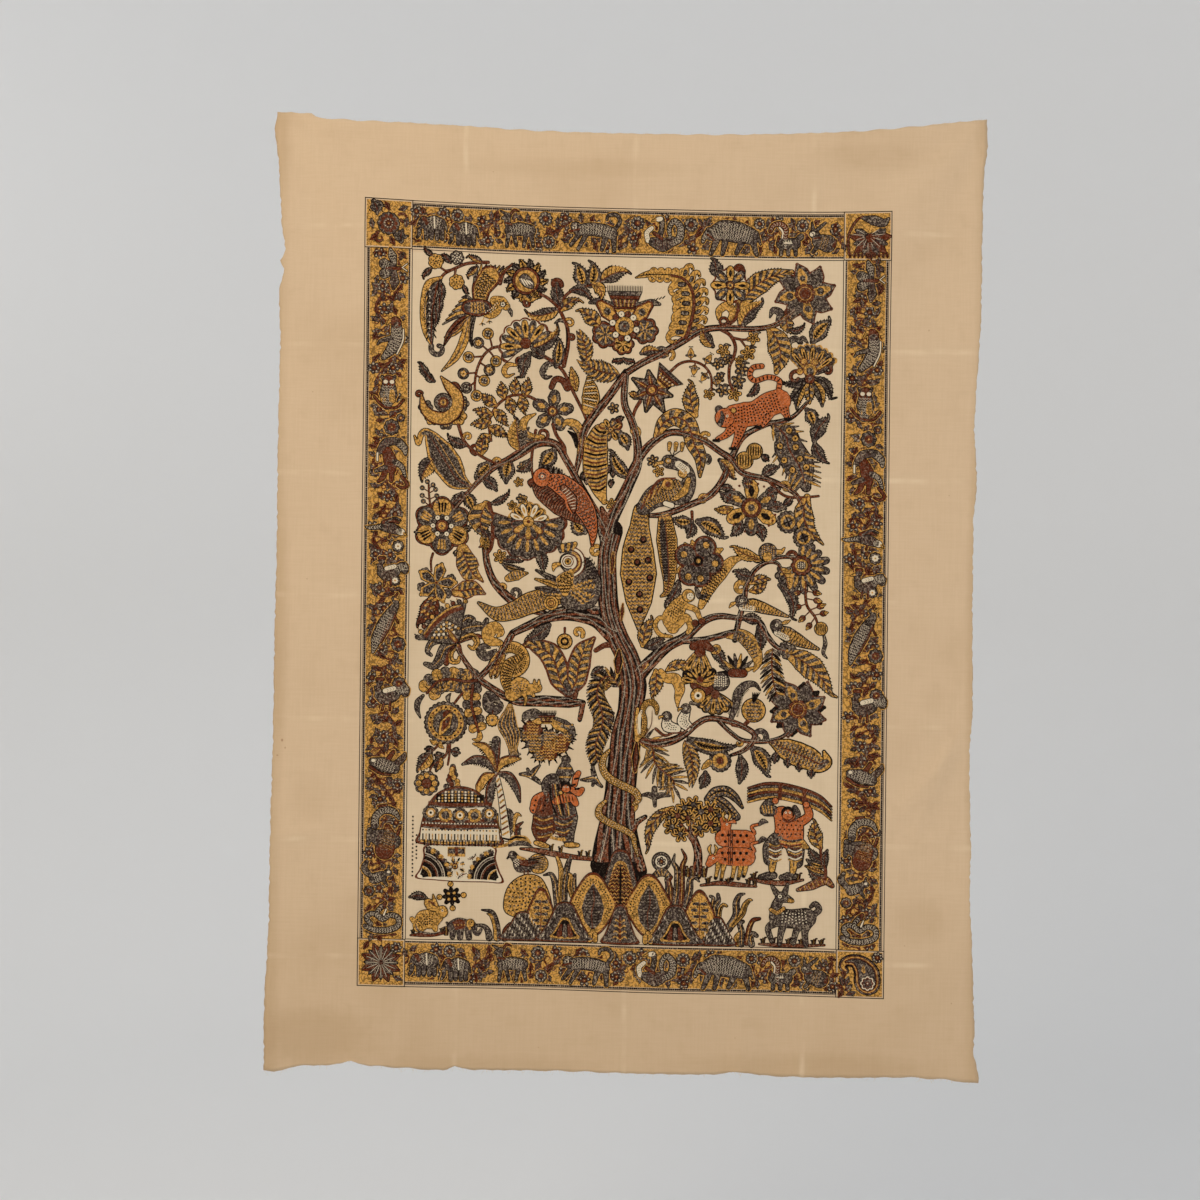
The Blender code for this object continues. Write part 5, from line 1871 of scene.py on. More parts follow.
def small_things_left(pen):
    """Hare, elephant, hen on the hill, swallows, star and the low ground at the left."""
    up = pen.at(rise=2)
    body(pen, "madder", line_of(84, 82, 100, 83, 120, 83, 138, 88), [2, 6, 4, 5], 0.6)
    for u, v, height in ((88, 84, 9), (140, 84, 16), (134, 86, 11)):
        tuft(pen, complex(u, v), height, 3)
    limbs(up, "ochre", [
        (line_of(98, 97, 106, 107, 118, 108, 126, 112), [20, 30, 28, 18]),
        (line_of(120, 104, 123, 92), [13, 7]), (line_of(128, 112, 134, 122), [13, 15]),
        (line_of(90, 104, 86, 108), [8, 6]),
    ])
    stipple(up, line_of(96, 98, 106, 107, 120, 108), [18, 26, 24], 3.8, 1.3, "black", 3)
    stroke(up, line_of(92, 100, 96, 90, 110, 86, 126, 86), 3, "grey", 3)
    wheel(up, "ochre", 133 + 120j, 9, 2, 0.9)
    dot(up, 134 + 122j, 2, "resist", 4)
    dot(up, 134 + 122j, 1.1, "black", 5)
    hooked(up, line_of(127, 127, 121, 138, 119, 147), 6, "ochre", 2)
    body(up, "ochre", line_of(124, 124, 114, 128, 110, 136, 118, 136), [6, 10, 9, 3], 1.0, 2)
    stroke(up, line_of(111, 136, 118, 134, 124, 128), 2.4, "madder", 4)
    leaf(pen, 108 + 141j, 82 + 142j, 11, "dark", -0.12)
    little_elephant(up.at(164 + 95j, 0, 1.0))
    for i in range(8):
        arm = cmath.rect(1, math.tau * i / 8 + 0.1)
        petal(pen, 148 + 145j, 148 + 145j + arm * (14 if i % 2 else 12), 8, "black", "black", 0.2)
        if i % 2 == 0:
            wheel(pen, "ochre", 148 + 145j + arm * 19, 3.8, 2, 1.0)
        else:
            wheel(pen, "ochre", 148 + 145j + arm * 6.5, 2.4, 3)
    hen(up)
    for u, v, turn, size in ((271, 337, 12, 1.0), (372, 337, 150, 1.0)):
        swallow(pen.at(complex(u, v), turn, size))
    body(pen, "russet", line_of(256, 222, 280, 220, 310, 215, 340, 211, 368, 209), [2, 6, 8, 6, 5], 1.0)
    for u, v in ((304, 220), (319, 218), (350, 212), (362, 212)):
        tuft(pen, complex(u, v), 13, 2)


def little_elephant(pen):
    """A small caparisoned elephant, about 45 mm long, facing right."""
    limbs(pen, "grey", [
        ([-14 + 2j, -4 + 6j, 8 + 5j], [17, 19, 16]), ([-13 + 0j, -14 - 14j], [10, 7]),
        ([-2 + 0j, -2 - 15j], [10, 8]),
        ([10 + 0j, 12 - 15j], [9, 8]), ([14 + 8j, 20 + 3j, 21 - 5j, 26 - 9j, 31 - 2j], [10, 8, 6, 5, 3]),
        ([-20 + 4j, -23 + 8j], [3, 2]),
    ])
    ribbon(pen, "madder", [-12 + 3j, -3 + 6j, 6 + 6j], [13, 16, 13], 3)
    ribbon(pen, "ochre", [10 + 6j, 14 - 2j], [5, 4], 3)
    wheel(pen, "ochre", 14 + 8j, 6.0, 3, 0.9)
    dot(pen, 16 + 9j, 1.2, "black", 5)
    for k in range(4):
        dot(pen, complex(-10 + 5 * k, 5), 1.3, "ochre", 5)


def hen(pen):
    """A hen with a wheel of a tail, on the dome of the hill."""
    wheel(pen, "ochre", 284 + 199j, 15, 1, 1.0)
    for i in range(8):
        stroke(pen, [268 + (190 + 2.4 * i) * 1j, complex(272 + 3.2 * i, 185 + 4.0 * i)], 2.0,
               ("black", "grey")[i % 2], 3, (1, 1))
        stroke(pen, [complex(270, 192 + 1.6 * i), complex(297 - 1.2 * abs(i - 4), 190 + 2.8 * i)], 1.7,
               "grey", 2, (1, 1))
    limbs(pen, "grey", [(line_of(244, 212, 250, 204, 256, 196, 268, 194), [11, 13, 22, 16])])
    stipple(pen, line_of(247, 205, 254, 196), [10, 18], 3.2, 1.1, "resist", 3)
    body(pen, "madder", line_of(258, 201, 270, 199, 282, 202), [10, 9, 2], 0.9, 3)
    ribbon(pen, "ochre", line_of(250, 209, 264, 206), [6, 3], 4)
    wheel(pen, "grey", 243 + 212j, 5.5, 4, 0.9)
    dot(pen, 242 + 213j, 1.1, "resist", 6)
    hooked(pen, line_of(238, 210, 235, 206), 4, "black")
    for u in (262, 268):
        stroke(pen, [complex(u, 188), complex(u, 180)], 2.4, "madder", 2)


def swallow(pen):
    """A small dark bird in flight."""
    limbs(pen, "grey", [([-16 + 6j, -6 + 4j, 0j], [3, 7, 7]), ([0j, 8 + 8j, 17 + 14j], [7, 7, 2]),
                        ([0j, 8 - 8j, 12 - 14j], [7, 6, 3]), ([0j, -3 + 12j], [6, 3])], 1.2)
    stroke(pen, [-14 + 5j, 0j, 15 + 12j], 1.4, "ochre")
    stroke(pen, [8 - 8j, 14 - 8j], 2.4)
    dot(pen, -1 - 2j, 1.5, "resist", 4)


def eye_of(pen, place, radius=1.8, sub=5):
    wheel(pen, "resist", place, radius, sub)
    dot(pen, place, radius * 0.5, "black", sub + 1)


def orange_bird(pen):
    """The great orange bird that lies along the upper bough."""
    up = pen.at(rise=1)
    low = line_of(272, 803, 284, 786, 312, 764, 338, 748, 356, 736)
    body(up, "russet", low, [10, 24, 28, 18, 6], 1.1)
    bars(up, low, [10, 24, 28, 18, 6], 26, "black", 1.2, 3, 0.95, 0.03)
    back = line_of(290, 806, 312, 799, 336, 781, 354, 756, 364, 728, 364, 704)
    wide = [16, 30, 34, 28, 14, 3]
    body(up, "orange", back, wide, 1.3, 4)
    scales(up, back[:-1], wide[:-1], 6.0, "grey", 1.6, 5)
    scales(up, back, wide, 6.4, "black", 1.0, 6)
    for i in range(16):
        at = Spine(back, wide).at(0.1 + 0.055 * i, 1.0)
        stroke(up, [at, at + 3 + 3j], 1.6, "black", 4, (1, 0.3))
    wheel(up, "orange", 284 + 808j, 14, 5, 1.2)
    stipple(up, line_of(278, 800, 292, 816), [20, 22], 4.6, 1.0, "madder", 6)
    ring(up, "grey", 284 + 810j, 5.2, 2.2, 7)
    eye_of(up, 284 + 810j, 2.4, 8)
    hooked(up, line_of(272, 806, 265, 800, 266, 793), 9, "madder", 4)
    for k in range(9):
        root = 280 + 821j + 4.2 * k - 0.3j * k * k * 0.4
        body(up, ("grey", "black")[k % 2], [root, root + 1 + 7j], [4, 1], 0.7, 3)
    wing = line_of(318, 792, 330, 775, 334, 758)
    body(up, "russet", wing, [10, 16, 6], 1.2, 7)
    bars(up, wing, [10, 16, 6], 8, "resist", 1.0, 8)
    stroke(up, line_of(312, 788, 320, 778, 324, 764, 332, 752), 3.0, "orange", 9)


def upper_middle_leaves(pen):
    """The fern drop, beehive cone, arched leaves and twigs under the crown of the tree."""
    spurs(pen, (15, "ochre", 342, 848, 346, 872, 336, 892, 322, 896, 315, 888),
          (8, "black", 338, 858, 334, 874, 324, 882), (7, "grey", 344, 872, 334, 886, 326, 886))
    cone = line_of(382, 772, 374, 792, 368, 822, 368, 858, 374, 884, 378, 892)
    wide = [7, 22, 38, 36, 22, 8]
    body(pen, "ochre", cone, wide, 1.2)
    for i in range(17):
        spine = Spine(cone, wide)
        share = 0.16 + 0.05 * i
        ends = [spine.at(share + 0.03, 0.96), spine.at(share, 0), spine.at(share + 0.03, -0.96)]
        stroke(pen, ends, 2.8, ("black", "madder", "grey")[i % 3], 3, (0.8, 0.8))
    for u, v in ((390, 825), (394, 802), (350, 813), (397, 818), (356, 806)):
        leaf(pen, complex(u - 2, v - 6), complex(u + 1, v + 5), 6, "dark", 0.1)
    rounds(pen, (391, 886, 16, 8, "ochre"), (395, 920, 7, 5, "grey"), (394, 768, 8, 6, "ochre"),
           (458, 838, 8, 6, "grey"), (467, 822, 7, 5, "ochre"))
    leaves(pen, (405, 880, 418, 856, 18, "edged", 0.1), (422, 812, 393, 852, 20, "edged", 0.12, 0.4),
           (352, 724, 334, 742, 22, "edged", 0.1, 0.4), (524, 912, 518, 962, 24, "striped", 0.1, 0.4),
           (520, 745, 491, 748, 18, "edged", 0.1, 0.3), (530, 745, 570, 721, 26, "edged", 0.08, 0.4),
           (520, 742, 514, 720, 16, "dark", 0.1), (583, 768, 557, 765, 12, "ochre", 0.1),
           (563, 842, 584, 815, 17, "halved", 0.1, 0.4), (566, 798, 584, 797, 9, "dark", 0.1),
           (397, 900, 411, 906, 6, "dark"), (550, 1022, 534, 1048, 18, "halved", 0.1, 0.3),
           (285, 999, 268, 1010, 12, "dark", 0.1), (438, 1008, 464, 1012, 14, "halved", 0.1, 0.4))
    stems(pen, (5, 285, 999, 300, 990, 316, 975, 331, 945, 346, 916, 352, 902), (4, 520, 760, 521, 744))
    curls(pen, (397, 900, 20, 8, 4, "madder", -1), (545, 882, 130, 7, 5, "ochre", 1),
          (433, 877, 40, 8, 5, "ochre", 1), (543, 785, 140, 7, 5, "ochre", 1),
          (462, 1012, 60, 9, 6, "grey", -1), (485, 1000, 30, 8, 5, "ochre", 1),
          (545, 838, 40, 7, 5, "grey", 1))
    arch = line_of(463, 878, 474, 898, 492, 908, 512, 898, 522, 868, 532, 846, 532, 816)
    body(pen, "ochre", arch, [8, 20, 26, 26, 24, 18, 3], 1.2)
    panels(pen, Spine(arch, [8, 20, 26, 26, 24, 18, 3]), 22, "grey", 0.03)
    stroke(pen, arch, 2.4, "madder", 4)
    drop = line_of(355, 918, 359, 935, 358, 952, 355, 968)
    body(pen, "ochre", drop, [18, 27, 20, 4], 1.2)
    scales(pen, drop, [18, 27, 20, 4], 4.6, "black", 1.5)
    bars(pen, drop, [18, 27, 20, 4], 5, "resist", 1.3, 4)


def leopard(pen):
    """A leopard that walks along the right bough, spotted all over, with a barred tail."""
    up = pen.at(rise=2)
    parts = [
        (line_of(585, 914, 602, 915, 620, 919, 640, 932, 656, 938), [32, 38, 36, 37, 36]),
        (line_of(584, 898, 574, 884, 559, 875), [17, 10, 6]),
        (line_of(597, 898, 590, 876, 584, 863), [17, 10, 6]),
        (line_of(640, 918, 632, 904, 625, 897), [16, 10, 7]),
        (line_of(662, 928, 667, 918, 670, 911), [18, 10, 7]),
    ]
    tail = line_of(655, 955, 655, 970, 638, 975, 618, 969, 609, 977, 614, 989, 628, 992)
    limbs(up, "orange", [*parts, (tail, [7] * 7)], 1.2)
    for points, wide in parts:
        stipple(up, points, wide, 4.9, 1.5, "black", 3)
    bars(up, tail, [7] * 7, 15, "black", 1.8, 3)
    wheel(up, "grey", 561 + 922j, 5.5, 1, 1.0)
    wheel(up, "orange", 570 + 909j, 14.5, 2, 1.1)
    stipple(up, line_of(562, 912, 580, 906), [18, 22], 4.6, 1.1, "black", 3)
    wheel(up, "madder", 584 + 921j, 5.6, 3)
    wheel(up, "ochre", 584 + 921j, 3.6, 4)
    body(up, "grey", line_of(565, 918, 567, 910, 563, 900), [3, 6, 8], 0.5, 4)
    eye_of(up, 574 + 912j, 2.2)
    for place in (558 + 873j, 584 + 861j, 624 + 896j, 671 + 910j):
        body(up, "black", [place + 3, place - 5], [4.5, 3.5], 0.4, 4)


def peacock(pen):
    """The peacock in the fork of the tree, its long train hanging down the trunk's right side."""
    train = line_of(440, 760, 438, 735, 436, 700, 437, 660, 438, 615, 438, 574)
    wide = [22, 28, 46, 55, 38, 3]
    body(pen, "ochre", train, wide, 1.4)
    scales(pen, train, wide, 6.0, "black", 1.7)
    scales(pen, train, wide, 6.0, "grey", 2.2, 4)
    for u, v in ((425, 698), (444, 714), (435, 678), (452, 682), (422, 647), (455, 654), (439, 628),
                 (440, 604)):
        wheel(pen, "black", complex(u, v), 6, 5, 1.0, "ochre")
        wheel(pen, "madder", complex(u, v + 1), 3, 6)
    up = pen.at(rise=1)
    limbs(up, "grey", [
        (line_of(482, 838, 496, 834, 510, 826, 515, 808, 505, 788, 488, 790, 462, 782, 444, 764),
         [20, 17, 17, 20, 30, 42, 34, 22]),
    ], 1.3)
    body(up, "resist", line_of(498, 834, 510, 825), [11, 12], 0, 3)
    stipple(up, line_of(498, 834, 510, 825), [11, 12], 3.2, 0.9, "black", 4)
    wheel(up, "ochre", 505 + 820j, 7, 3, 1.0)
    body(up, "ochre", line_of(514, 810, 508, 792, 494, 780), [7, 10, 6], 0.8, 3)
    scales(up, line_of(506, 800, 488, 792, 462, 784, 446, 768), [24, 36, 28, 18], 4.6, "ochre", 1.3, 4)
    scales(up, line_of(506, 800, 488, 792, 462, 784, 446, 768), [26, 38, 30, 20], 4.6, "black", 1.2, 3)
    ribbon(up, "madder", line_of(494, 812, 468, 808, 452, 784, 440, 762), [3, 4, 5, 3], 5)
    wheel(up, "ochre", 482 + 802j, 9, 5, 0.9)
    wheel(up, "madder", 482 + 802j, 5, 6)
    for k in range(5):
        stroke(up, line_of(474 - 5 * k, 803 - 4 * k, 466 - 5 * k, 786 - 4 * k), 2.4,
               ("ochre", "madder")[k % 2], 6)
    body(up, "resist", line_of(478, 772, 488, 769), [7, 8], 0.9, 6)
    for u in (483, 493, 503):
        stroke(up, [complex(488, 846), complex(u, 857)], 1.3)
        body(up, "ochre", [complex(u, 856), complex(u + 1, 866)], [3, 6], 0.8, 3)
    body(up, "ochre", line_of(472, 836, 464, 834, 460, 829), [5, 4, 1], 0.8, 3)
    wheel(up, "ochre", 482 + 839j, 4.4, 4, 0.8)
    eye_of(up, 482 + 839j)


def fan_flower_middle(pen):
    """The broad open flower left of the trunk, half turned to the viewer."""
    fan(pen, 263 + 738j, 268, 62, 205, 9, ("grey", "grey"), "madder", "grey")
    fan(pen, 263 + 736j, 88, 34, 170, 7, ("resist", "ochre"), "ochre", "grey")
    for i in range(7):
        arm = cmath.rect(1, math.radians(185 + 28 * i))
        petal(pen.at(rise=1), 263 + 736j, 263 + 736j + arm * 24, 9, ("grey", "ochre")[i % 2], "madder", 1.2)
    wheel(pen.at(rise=1), "ochre", 263 + 738j, 8, 3, 1.0)
    dot(pen.at(rise=1), 263 + 738j, 3, "madder", 5)
    rounds(pen, (219, 682, 9, 6, "ochre"), (196, 700, 7, 5, "ochre"))
    leaves(pen, (281, 693, 287, 662, 16, "dark", 0.05, 0.2), (224, 676, 252, 675, 10, "dark", 0.1, 0.3),
           (224, 670, 256, 663, 9, "edged", -0.1), (180, 730, 204, 702, 12, "dark", 0.1),
           (297, 576, 262, 553, 20, "dark", 0.08, 0.3), (366, 500, 382, 512, 10, "dark"))
    bark(pen, (195, 694, 199, 668, 208, 645, 222, 628, 240, 612, 262, 602, 290, 594),
         (8, 9, 10, 12, 12, 10, 8), 3)
    curls(pen, (218, 632, 100, 6, 4, "ochre", -1), (250, 620, 60, 8, 5, "grey", 1),
          (304, 716, 10, 8, 5, "grey", -1),
          (350, 560, 60, 8, 6, "ochre", 1), (372, 702, 170, 8, 6, "ochre", 1))
    weave_at = line_of(232, 648, 246, 654, 262, 657)
    body(pen, "ochre", weave_at, [10, 16, 2], 1.0)
    bars(pen, weave_at, [10, 16, 2], 7, "grey", 2.4, 3)
    stem(pen, line_of(322, 572, 322, 562), 3)
    wheel(pen, "ochre", 322 + 551j, 11, 1, 1.4)
    wheel(pen, "black", 322 + 551j, 7, 2)
    wheel(pen, "ochre", 322 + 551j, 3.6, 3)
    stems(pen, (9, 395, 548, 384, 546, 371, 538))


def pheasant(pen):
    """The round-headed pheasant left of the trunk, with its barred tail."""
    up = pen.at(rise=1)
    tail = line_of(310, 622, 285, 616, 265, 609, 240, 597, 214, 592, 186, 608)
    wide = [26, 32, 32, 26, 20, 3]
    body(up, "ochre", tail, wide, 1.2)
    scales(up, tail, wide, 5.0, "black", 1.6)
    scales(up, tail, wide, 5.0, "grey", 2.0, 4)
    for width, *numbers in ((9, 322, 640, 300, 650, 276, 662), (9, 318, 634, 298, 642, 275, 648),
                            (9, 316, 628, 296, 632, 276, 634), (9, 318, 622, 300, 622, 284, 622)):
        points = line_of(*numbers)
        body(up, ("ochre", "grey")[numbers[1] % 4 == 0], points, [width, width, 2], 1.0, 3)
        stroke(up, points, 1.2, "black", 5)
    limbs(up, "grey", [(line_of(328, 676, 344, 664, 354, 642, 350, 624, 330, 616),
                        [30, 44, 48, 46, 30])], 1.3, 4)
    breast = line_of(346, 648, 350, 632, 340, 618)
    scales(up, breast, [40, 44, 28], 6.4, "ochre", 2.4, 6)
    scales(up, breast, [40, 44, 28], 6.4, "madder", 1.8, 5)
    wing = line_of(332, 660, 322, 645, 322, 628)
    body(up, "ochre", wing, [10, 30, 12], 1.2, 6, "grey")
    scales(up, wing, [10, 30, 12], 5.0, "black", 1.6, 7)
    scales(up, line_of(352, 684, 362, 668, 364, 650), [18, 22, 16], 5.0, "black", 1.4, 6)
    for i, reach in enumerate((10, 16, 22)):
        ribbon(up, ("resist", "ochre", "resist")[i], arc(328 + 676j, reach, -70, 75, 6), 3.0, 6)
        ribbon(up, "madder", arc(328 + 676j, reach + 3, -70, 75, 6), 1.6, 6)
    wheel(up, "resist", 326 + 677j, 11, 6, 1.2)
    ring(up, "madder", 326 + 677j, 8.5, 1.6, 7)
    wheel(up, "ochre", 326 + 677j, 5, 7, 0.8)
    dot(up, 326 + 677j, 2.2, "black", 9)
    hooked(up, line_of(314, 673, 305, 670, 303, 662), 9, "ochre", 6)
    for k in range(6):
        root = 314 + 692j + 4 * k + 0.8j * k
        body(up, ("grey", "ochre")[k % 2], [root, root - 2 + 9j + k], [3, 6], 0.8, 6)
    wheel(up, "ochre", 300 + 611j, 11, 5, 1.0)
    ring(up, "black", 300 + 611j, 7.5, 1.3, 6)
    ring(up, "madder", 300 + 611j, 4.0, 1.6, 6)
    for u in (326, 336):
        stroke(up, [complex(u, 604), complex(u - 2, 596)], 2.0)


def twin_leaves(pen):
    """Two large bowed leaves on one foot, above the long cut branch."""
    for numbers, wide in (
        ((327, 470, 315, 490, 308, 515, 296, 533, 270, 545, 258, 543), [8, 26, 31, 30, 12, 1]),
        ((331, 470, 341, 490, 345, 515, 352, 538, 368, 557), [8, 26, 31, 24, 1]),
    ):
        points = line_of(*numbers)
        body(pen, "grey", points, wide, 2.4, 1, "madder")
        panels(pen, Spine(points, wide), 15, "ochre", 0.08)
        stroke(pen, points[:-1], 2.2, "madder", 4)
    feather = line_of(410, 478, 398, 496, 384, 495, 375, 480, 375, 462, 382, 440, 383, 422, 377, 404,
                      372, 384, 378, 354)
    feather_rib(pen, feather, 36, 3.6)
    leaves(pen, (388, 478, 398, 494, 10, "ochre", 0.1), (392, 420, 400, 440, 11, "dark", 0.1))
    spiky_nest(pen)


def feather_rib(pen, points, width, pitch, dyes=("ochre", "grey", "black")):
    """A rib with slanting barbs in rotation of the dyes, from its foot to its tip."""
    spine = Spine(points, 1.0)
    count = max(4, round(spine.length / pitch))
    for i in range(count):
        share = 0.03 + 0.93 * i / count
        for side in (1, -1):
            root = spine.at(share)
            out = (spine.at(share, side) - root) * 2
            ahead = spine.at(min(share + 0.02, 1)) - spine.at(max(share - 0.02, 0))
            ahead /= abs(ahead) or 1.0
            reach = width / 2 * (0.62 + 0.38 * math.sin(math.pi * share))
            tip = root + out * reach * 0.9 + ahead * reach * 0.7
            dye = dyes[(i + (side > 0)) % len(dyes)]
            body(pen, dye, [root, (root + tip) / 2 + out, tip], [2.0, 3.8, 0.5], 0.6)
    stroke(pen, points, 2.4, "madder", 4)


def spiky_nest(pen):
    """The spiky flower under the cut branch."""
    for u, v, reach, dye in (
        (273, 410, 24, "madder"), (277, 390, 24, "grey"), (299, 378, 24, "madder"), (284, 372, 16, "grey"),
        (316, 390, 24, "madder"), (300, 396, 24, "grey"), (328, 402, 16, "grey"), (262, 402, 14, "grey"),
    ):
        for k in range(11):
            arm = cmath.rect(1, math.tau * (k + 0.3) / 11)
            ribbon(pen, "black", [complex(u, v) + arm * 4, complex(u, v) + arm * reach], [8, 1.2], 1)
        wheel(pen, dye, complex(u, v), reach * 0.66, 2, 0.8, lobes=9, depth=0.2)
        scales(pen, [complex(u, v + reach * 0.6), complex(u, v - reach * 0.6)],
               [reach * 0.9, reach * 0.8], 5.0,
               "ochre", 1.6, 3)
    spurs(pen.at(rise=1), (14, "grey", 290, 430, 276, 436, 262, 432, 258, 424),
          (14, "grey", 310, 428, 322, 420, 334, 412, 339, 402),
          (13, "ochre", 300, 428, 312, 418, 326, 414, 336, 420),
          (11, "ochre", 296, 430, 282, 424, 272, 424))
    crown(pen.at(rise=1), 295 + 420j, 92, 14, 30, 17)


def middle_animals(pen):
    """The hanging feather, four-petalled dark flower and the monkey right of the trunk."""
    drop = line_of(478, 748, 481, 715, 484, 680, 485, 650, 481, 632, 473, 626)
    body(pen, "ochre", drop, [20, 31, 26, 16, 8, 2], 1.2)
    ribbon(pen, "grey", [z - 5 for z in drop[:4]], [5, 12, 10, 6], 2)
    scales(pen, drop[:5], [20, 31, 26, 16, 8], 4.4, "black", 1.4)
    stroke(pen, drop, 2.0, "madder", 4)
    centre = 531 + 683j
    for u, v, reach in ((520, 716, 12), (571, 704, 12), (494, 663, 12), (538, 644, 12), (508, 712, 9),
                        (548, 720, 9)):
        petal(pen, centre, complex(u, v), reach, "ochre", "black", 1.0, None, 1, True)
    for u, v in ((512, 691), (541, 704), (553, 680), (518, 662), (534, 660)):
        wheel(pen, "madder", complex(u, v), 18, 2, 0.9)
        wheel(pen, "grey", complex(u, v), 15, 3)
        wheel(pen, "ochre", complex(u, v) + (complex(u, v) - centre) * 0.2, 5, 4, 0.9)
        for k in range(7):
            stroke(pen, [complex(u, v) + cmath.rect(8, k * 0.9),
                         complex(u, v) + cmath.rect(14, k * 0.9)], 1.4, "black", 4)
    wheel(pen, "black", centre, 8, 5)
    wheel(pen, "ochre", centre, 3.5, 6)
    up = pen.at(rise=1)
    limbs(up, "ochre", [
        (line_of(508, 622, 500, 610, 490, 592, 492, 578), [16, 26, 30, 20]),
        (line_of(512, 612, 528, 606, 534, 594, 540, 590), [9, 8, 6, 5]),
        (line_of(500, 582, 512, 594, 520, 580, 516, 570), [12, 12, 9, 6]),
        (line_of(484, 590, 471, 592, 464, 580, 472, 566, 490, 563), [6, 6, 6, 6, 4]),
    ])
    stipple(up, line_of(506, 620, 500, 608, 490, 592), [14, 24, 28], 4.0, 1.2)
    wheel(up, "ochre", 516 + 628j, 9.5, 3, 1.0)
    wheel(up, "resist", 519 + 627j, 5.5, 4, 0.7)
    dot(up, 517.5 + 629j, 1.0, "black", 6)
    dot(up, 521.5 + 629j, 1.0, "black", 6)
    stroke(up, [517 + 625j, 521 + 624.6j], 1.0, "madder", 6)
    for u, v in ((527, 585), (538, 588)):
        wheel(up, "madder", complex(u, v), 5, 2, 0.8)
    leaves(pen, (500, 650, 480, 614, 15, "dark", 0.1, 0.3), (445, 548, 459, 589, 20, "striped", 0.08, 0.3),
           (449, 546, 478, 563, 16, "dark", -0.1, 0.3), (552, 548, 574, 519, 16, "dark", 0.08, 0.4),
           (484, 510, 518, 521, 14, "striped", 0.1, 0.3), (466, 508, 461, 468, 20, "striped", 0.08, 0.3))
    spurs(pen, (22, "ochre", 536, 612, 548, 640, 566, 664, 584, 684, 602, 690),
          (9, "grey", 528, 640, 534, 628, 543, 628, 544, 636),
          (18, "ochre", 474, 508, 482, 498, 497, 496, 504, 481, 501, 466, 501, 453))
    scales(pen, line_of(540, 618, 552, 646, 572, 672), [16, 20, 16], 5, "black", 1.6)
    fan(pen, 536 + 545j, 262, 46, 78, 5, ("ochre", "grey"), "grey", "ochre")
    body(pen, "madder", line_of(524, 548, 540, 552, 553, 545), [10, 16, 8], 1.0, 3)
    curls(pen, (556, 540, 330, 7, 5, "ochre", 1), (444, 510, 340, 7, 5, "ochre", 1))


def upper_right_leaves(pen):
    """The peacock-feather leaf, rosette and pomegranates right of the tree."""
    rib = line_of(645, 903, 666, 885, 673, 862, 690, 834, 700, 804)
    body(pen, "grey", rib, [6, 34, 44, 46, 14], 1.4)
    feather_rib(pen, rib, 66, 7.5, ("ochre", "grey"))
    for u, v in ((672, 892), (682, 880), (683, 866), (690, 848), (658, 867), (665, 845), (678, 830),
                 (700, 835)):
        wheel(pen, "ochre", complex(u, v), 4.6, 5, 1.0)
        dot(pen, complex(u, v), 1.6, "black", 6)
    for u, v, radius in ((618, 858, 12), (602, 843, 13)):
        wheel(pen, "ochre", complex(u, v), radius, 1, 1.2)
        bars(pen, [complex(u - radius, v), complex(u + radius, v)], [radius * 1.5] * 2, 6, "black", 1.6)
    leaves(pen, (630, 852, 640, 844, 9, "dark"), (632, 820, 656, 834, 15, "dark", 0.1),
           (700, 925, 711, 900, 20, "edged", 0.1, 0.4),
           (712, 878, 734, 913, 22, "dark", 0.1, 0.4), (713, 873, 731, 844, 17, "dark", -0.1, 0.4),
           (665, 773, 679, 786, 9, "dark"),
           (702, 788, 721, 721, 30, "striped", -0.2, 0.3), (625, 691, 587, 707, 17, "ochre", 0.1, 0.3),
           (616, 689, 631, 686, 7, "ochre"), (617, 661, 590, 669, 20, "dark", 0.1, 0.4),
           (614, 650, 644, 657, 13, "striped", 0.1),
           (614, 638, 638, 651, 13, "striped", -0.1), (660, 674, 674, 642, 24, "halved", 0.1, 0.4))
    stems(pen, (4, 640, 812, 665, 790, 690, 787, 720, 790))
    curls(pen, (660, 806, 60, 8, 5, "ochre", -1), (672, 696, 70, 8, 5, "madder", -1),
          (608, 646, 120, 10, 8, "ochre", 1))
    for angle in (95, 35, 0, -70, -125, 155):
        tip = 614 + 769j + cmath.rect(54, math.radians(angle))
        leaf(pen, 614 + 769j + cmath.rect(28, math.radians(angle)), tip, 15, "dark", 0.1)
    rosette(pen, 614 + 769j, 37, 6, ("ochre", "grey"), "madder", turn=90, inner=0.42)
    for k in range(24):
        wheel(pen, "madder", 614 + 769j + cmath.rect(39, math.tau * k / 24), 2.0, 2)
    for u, v, radius in ((672, 748, 17), (697, 724, 16)):
        wheel(pen, "grey", complex(u, v), radius, 1, 1.2, lobes=14, depth=0.1)
        wheel(pen, "ochre", complex(u, v), radius * 0.68, 2)
        wheel(pen, "grey", complex(u, v), radius * 0.42, 3, 0.8)
        for k in range(4):
            stroke(pen, [complex(u, v), complex(u, v) + cmath.rect(radius * 0.6, k * 1.57 + 0.4)], 1.8,
                   "black", 4)
    wheel(pen, "grey", 641 + 699j, 14, 1, 1.2)
    stipple(pen, line_of(630, 701, 652, 701), [22, 22], 3.4, 1.0, "ochre")
    wheel(pen, "ochre", 640 + 692j, 7, 3, 1.0)
    body(pen, "ochre", line_of(652, 700, 662, 701, 667, 707), [8, 6, 1], 1.0)


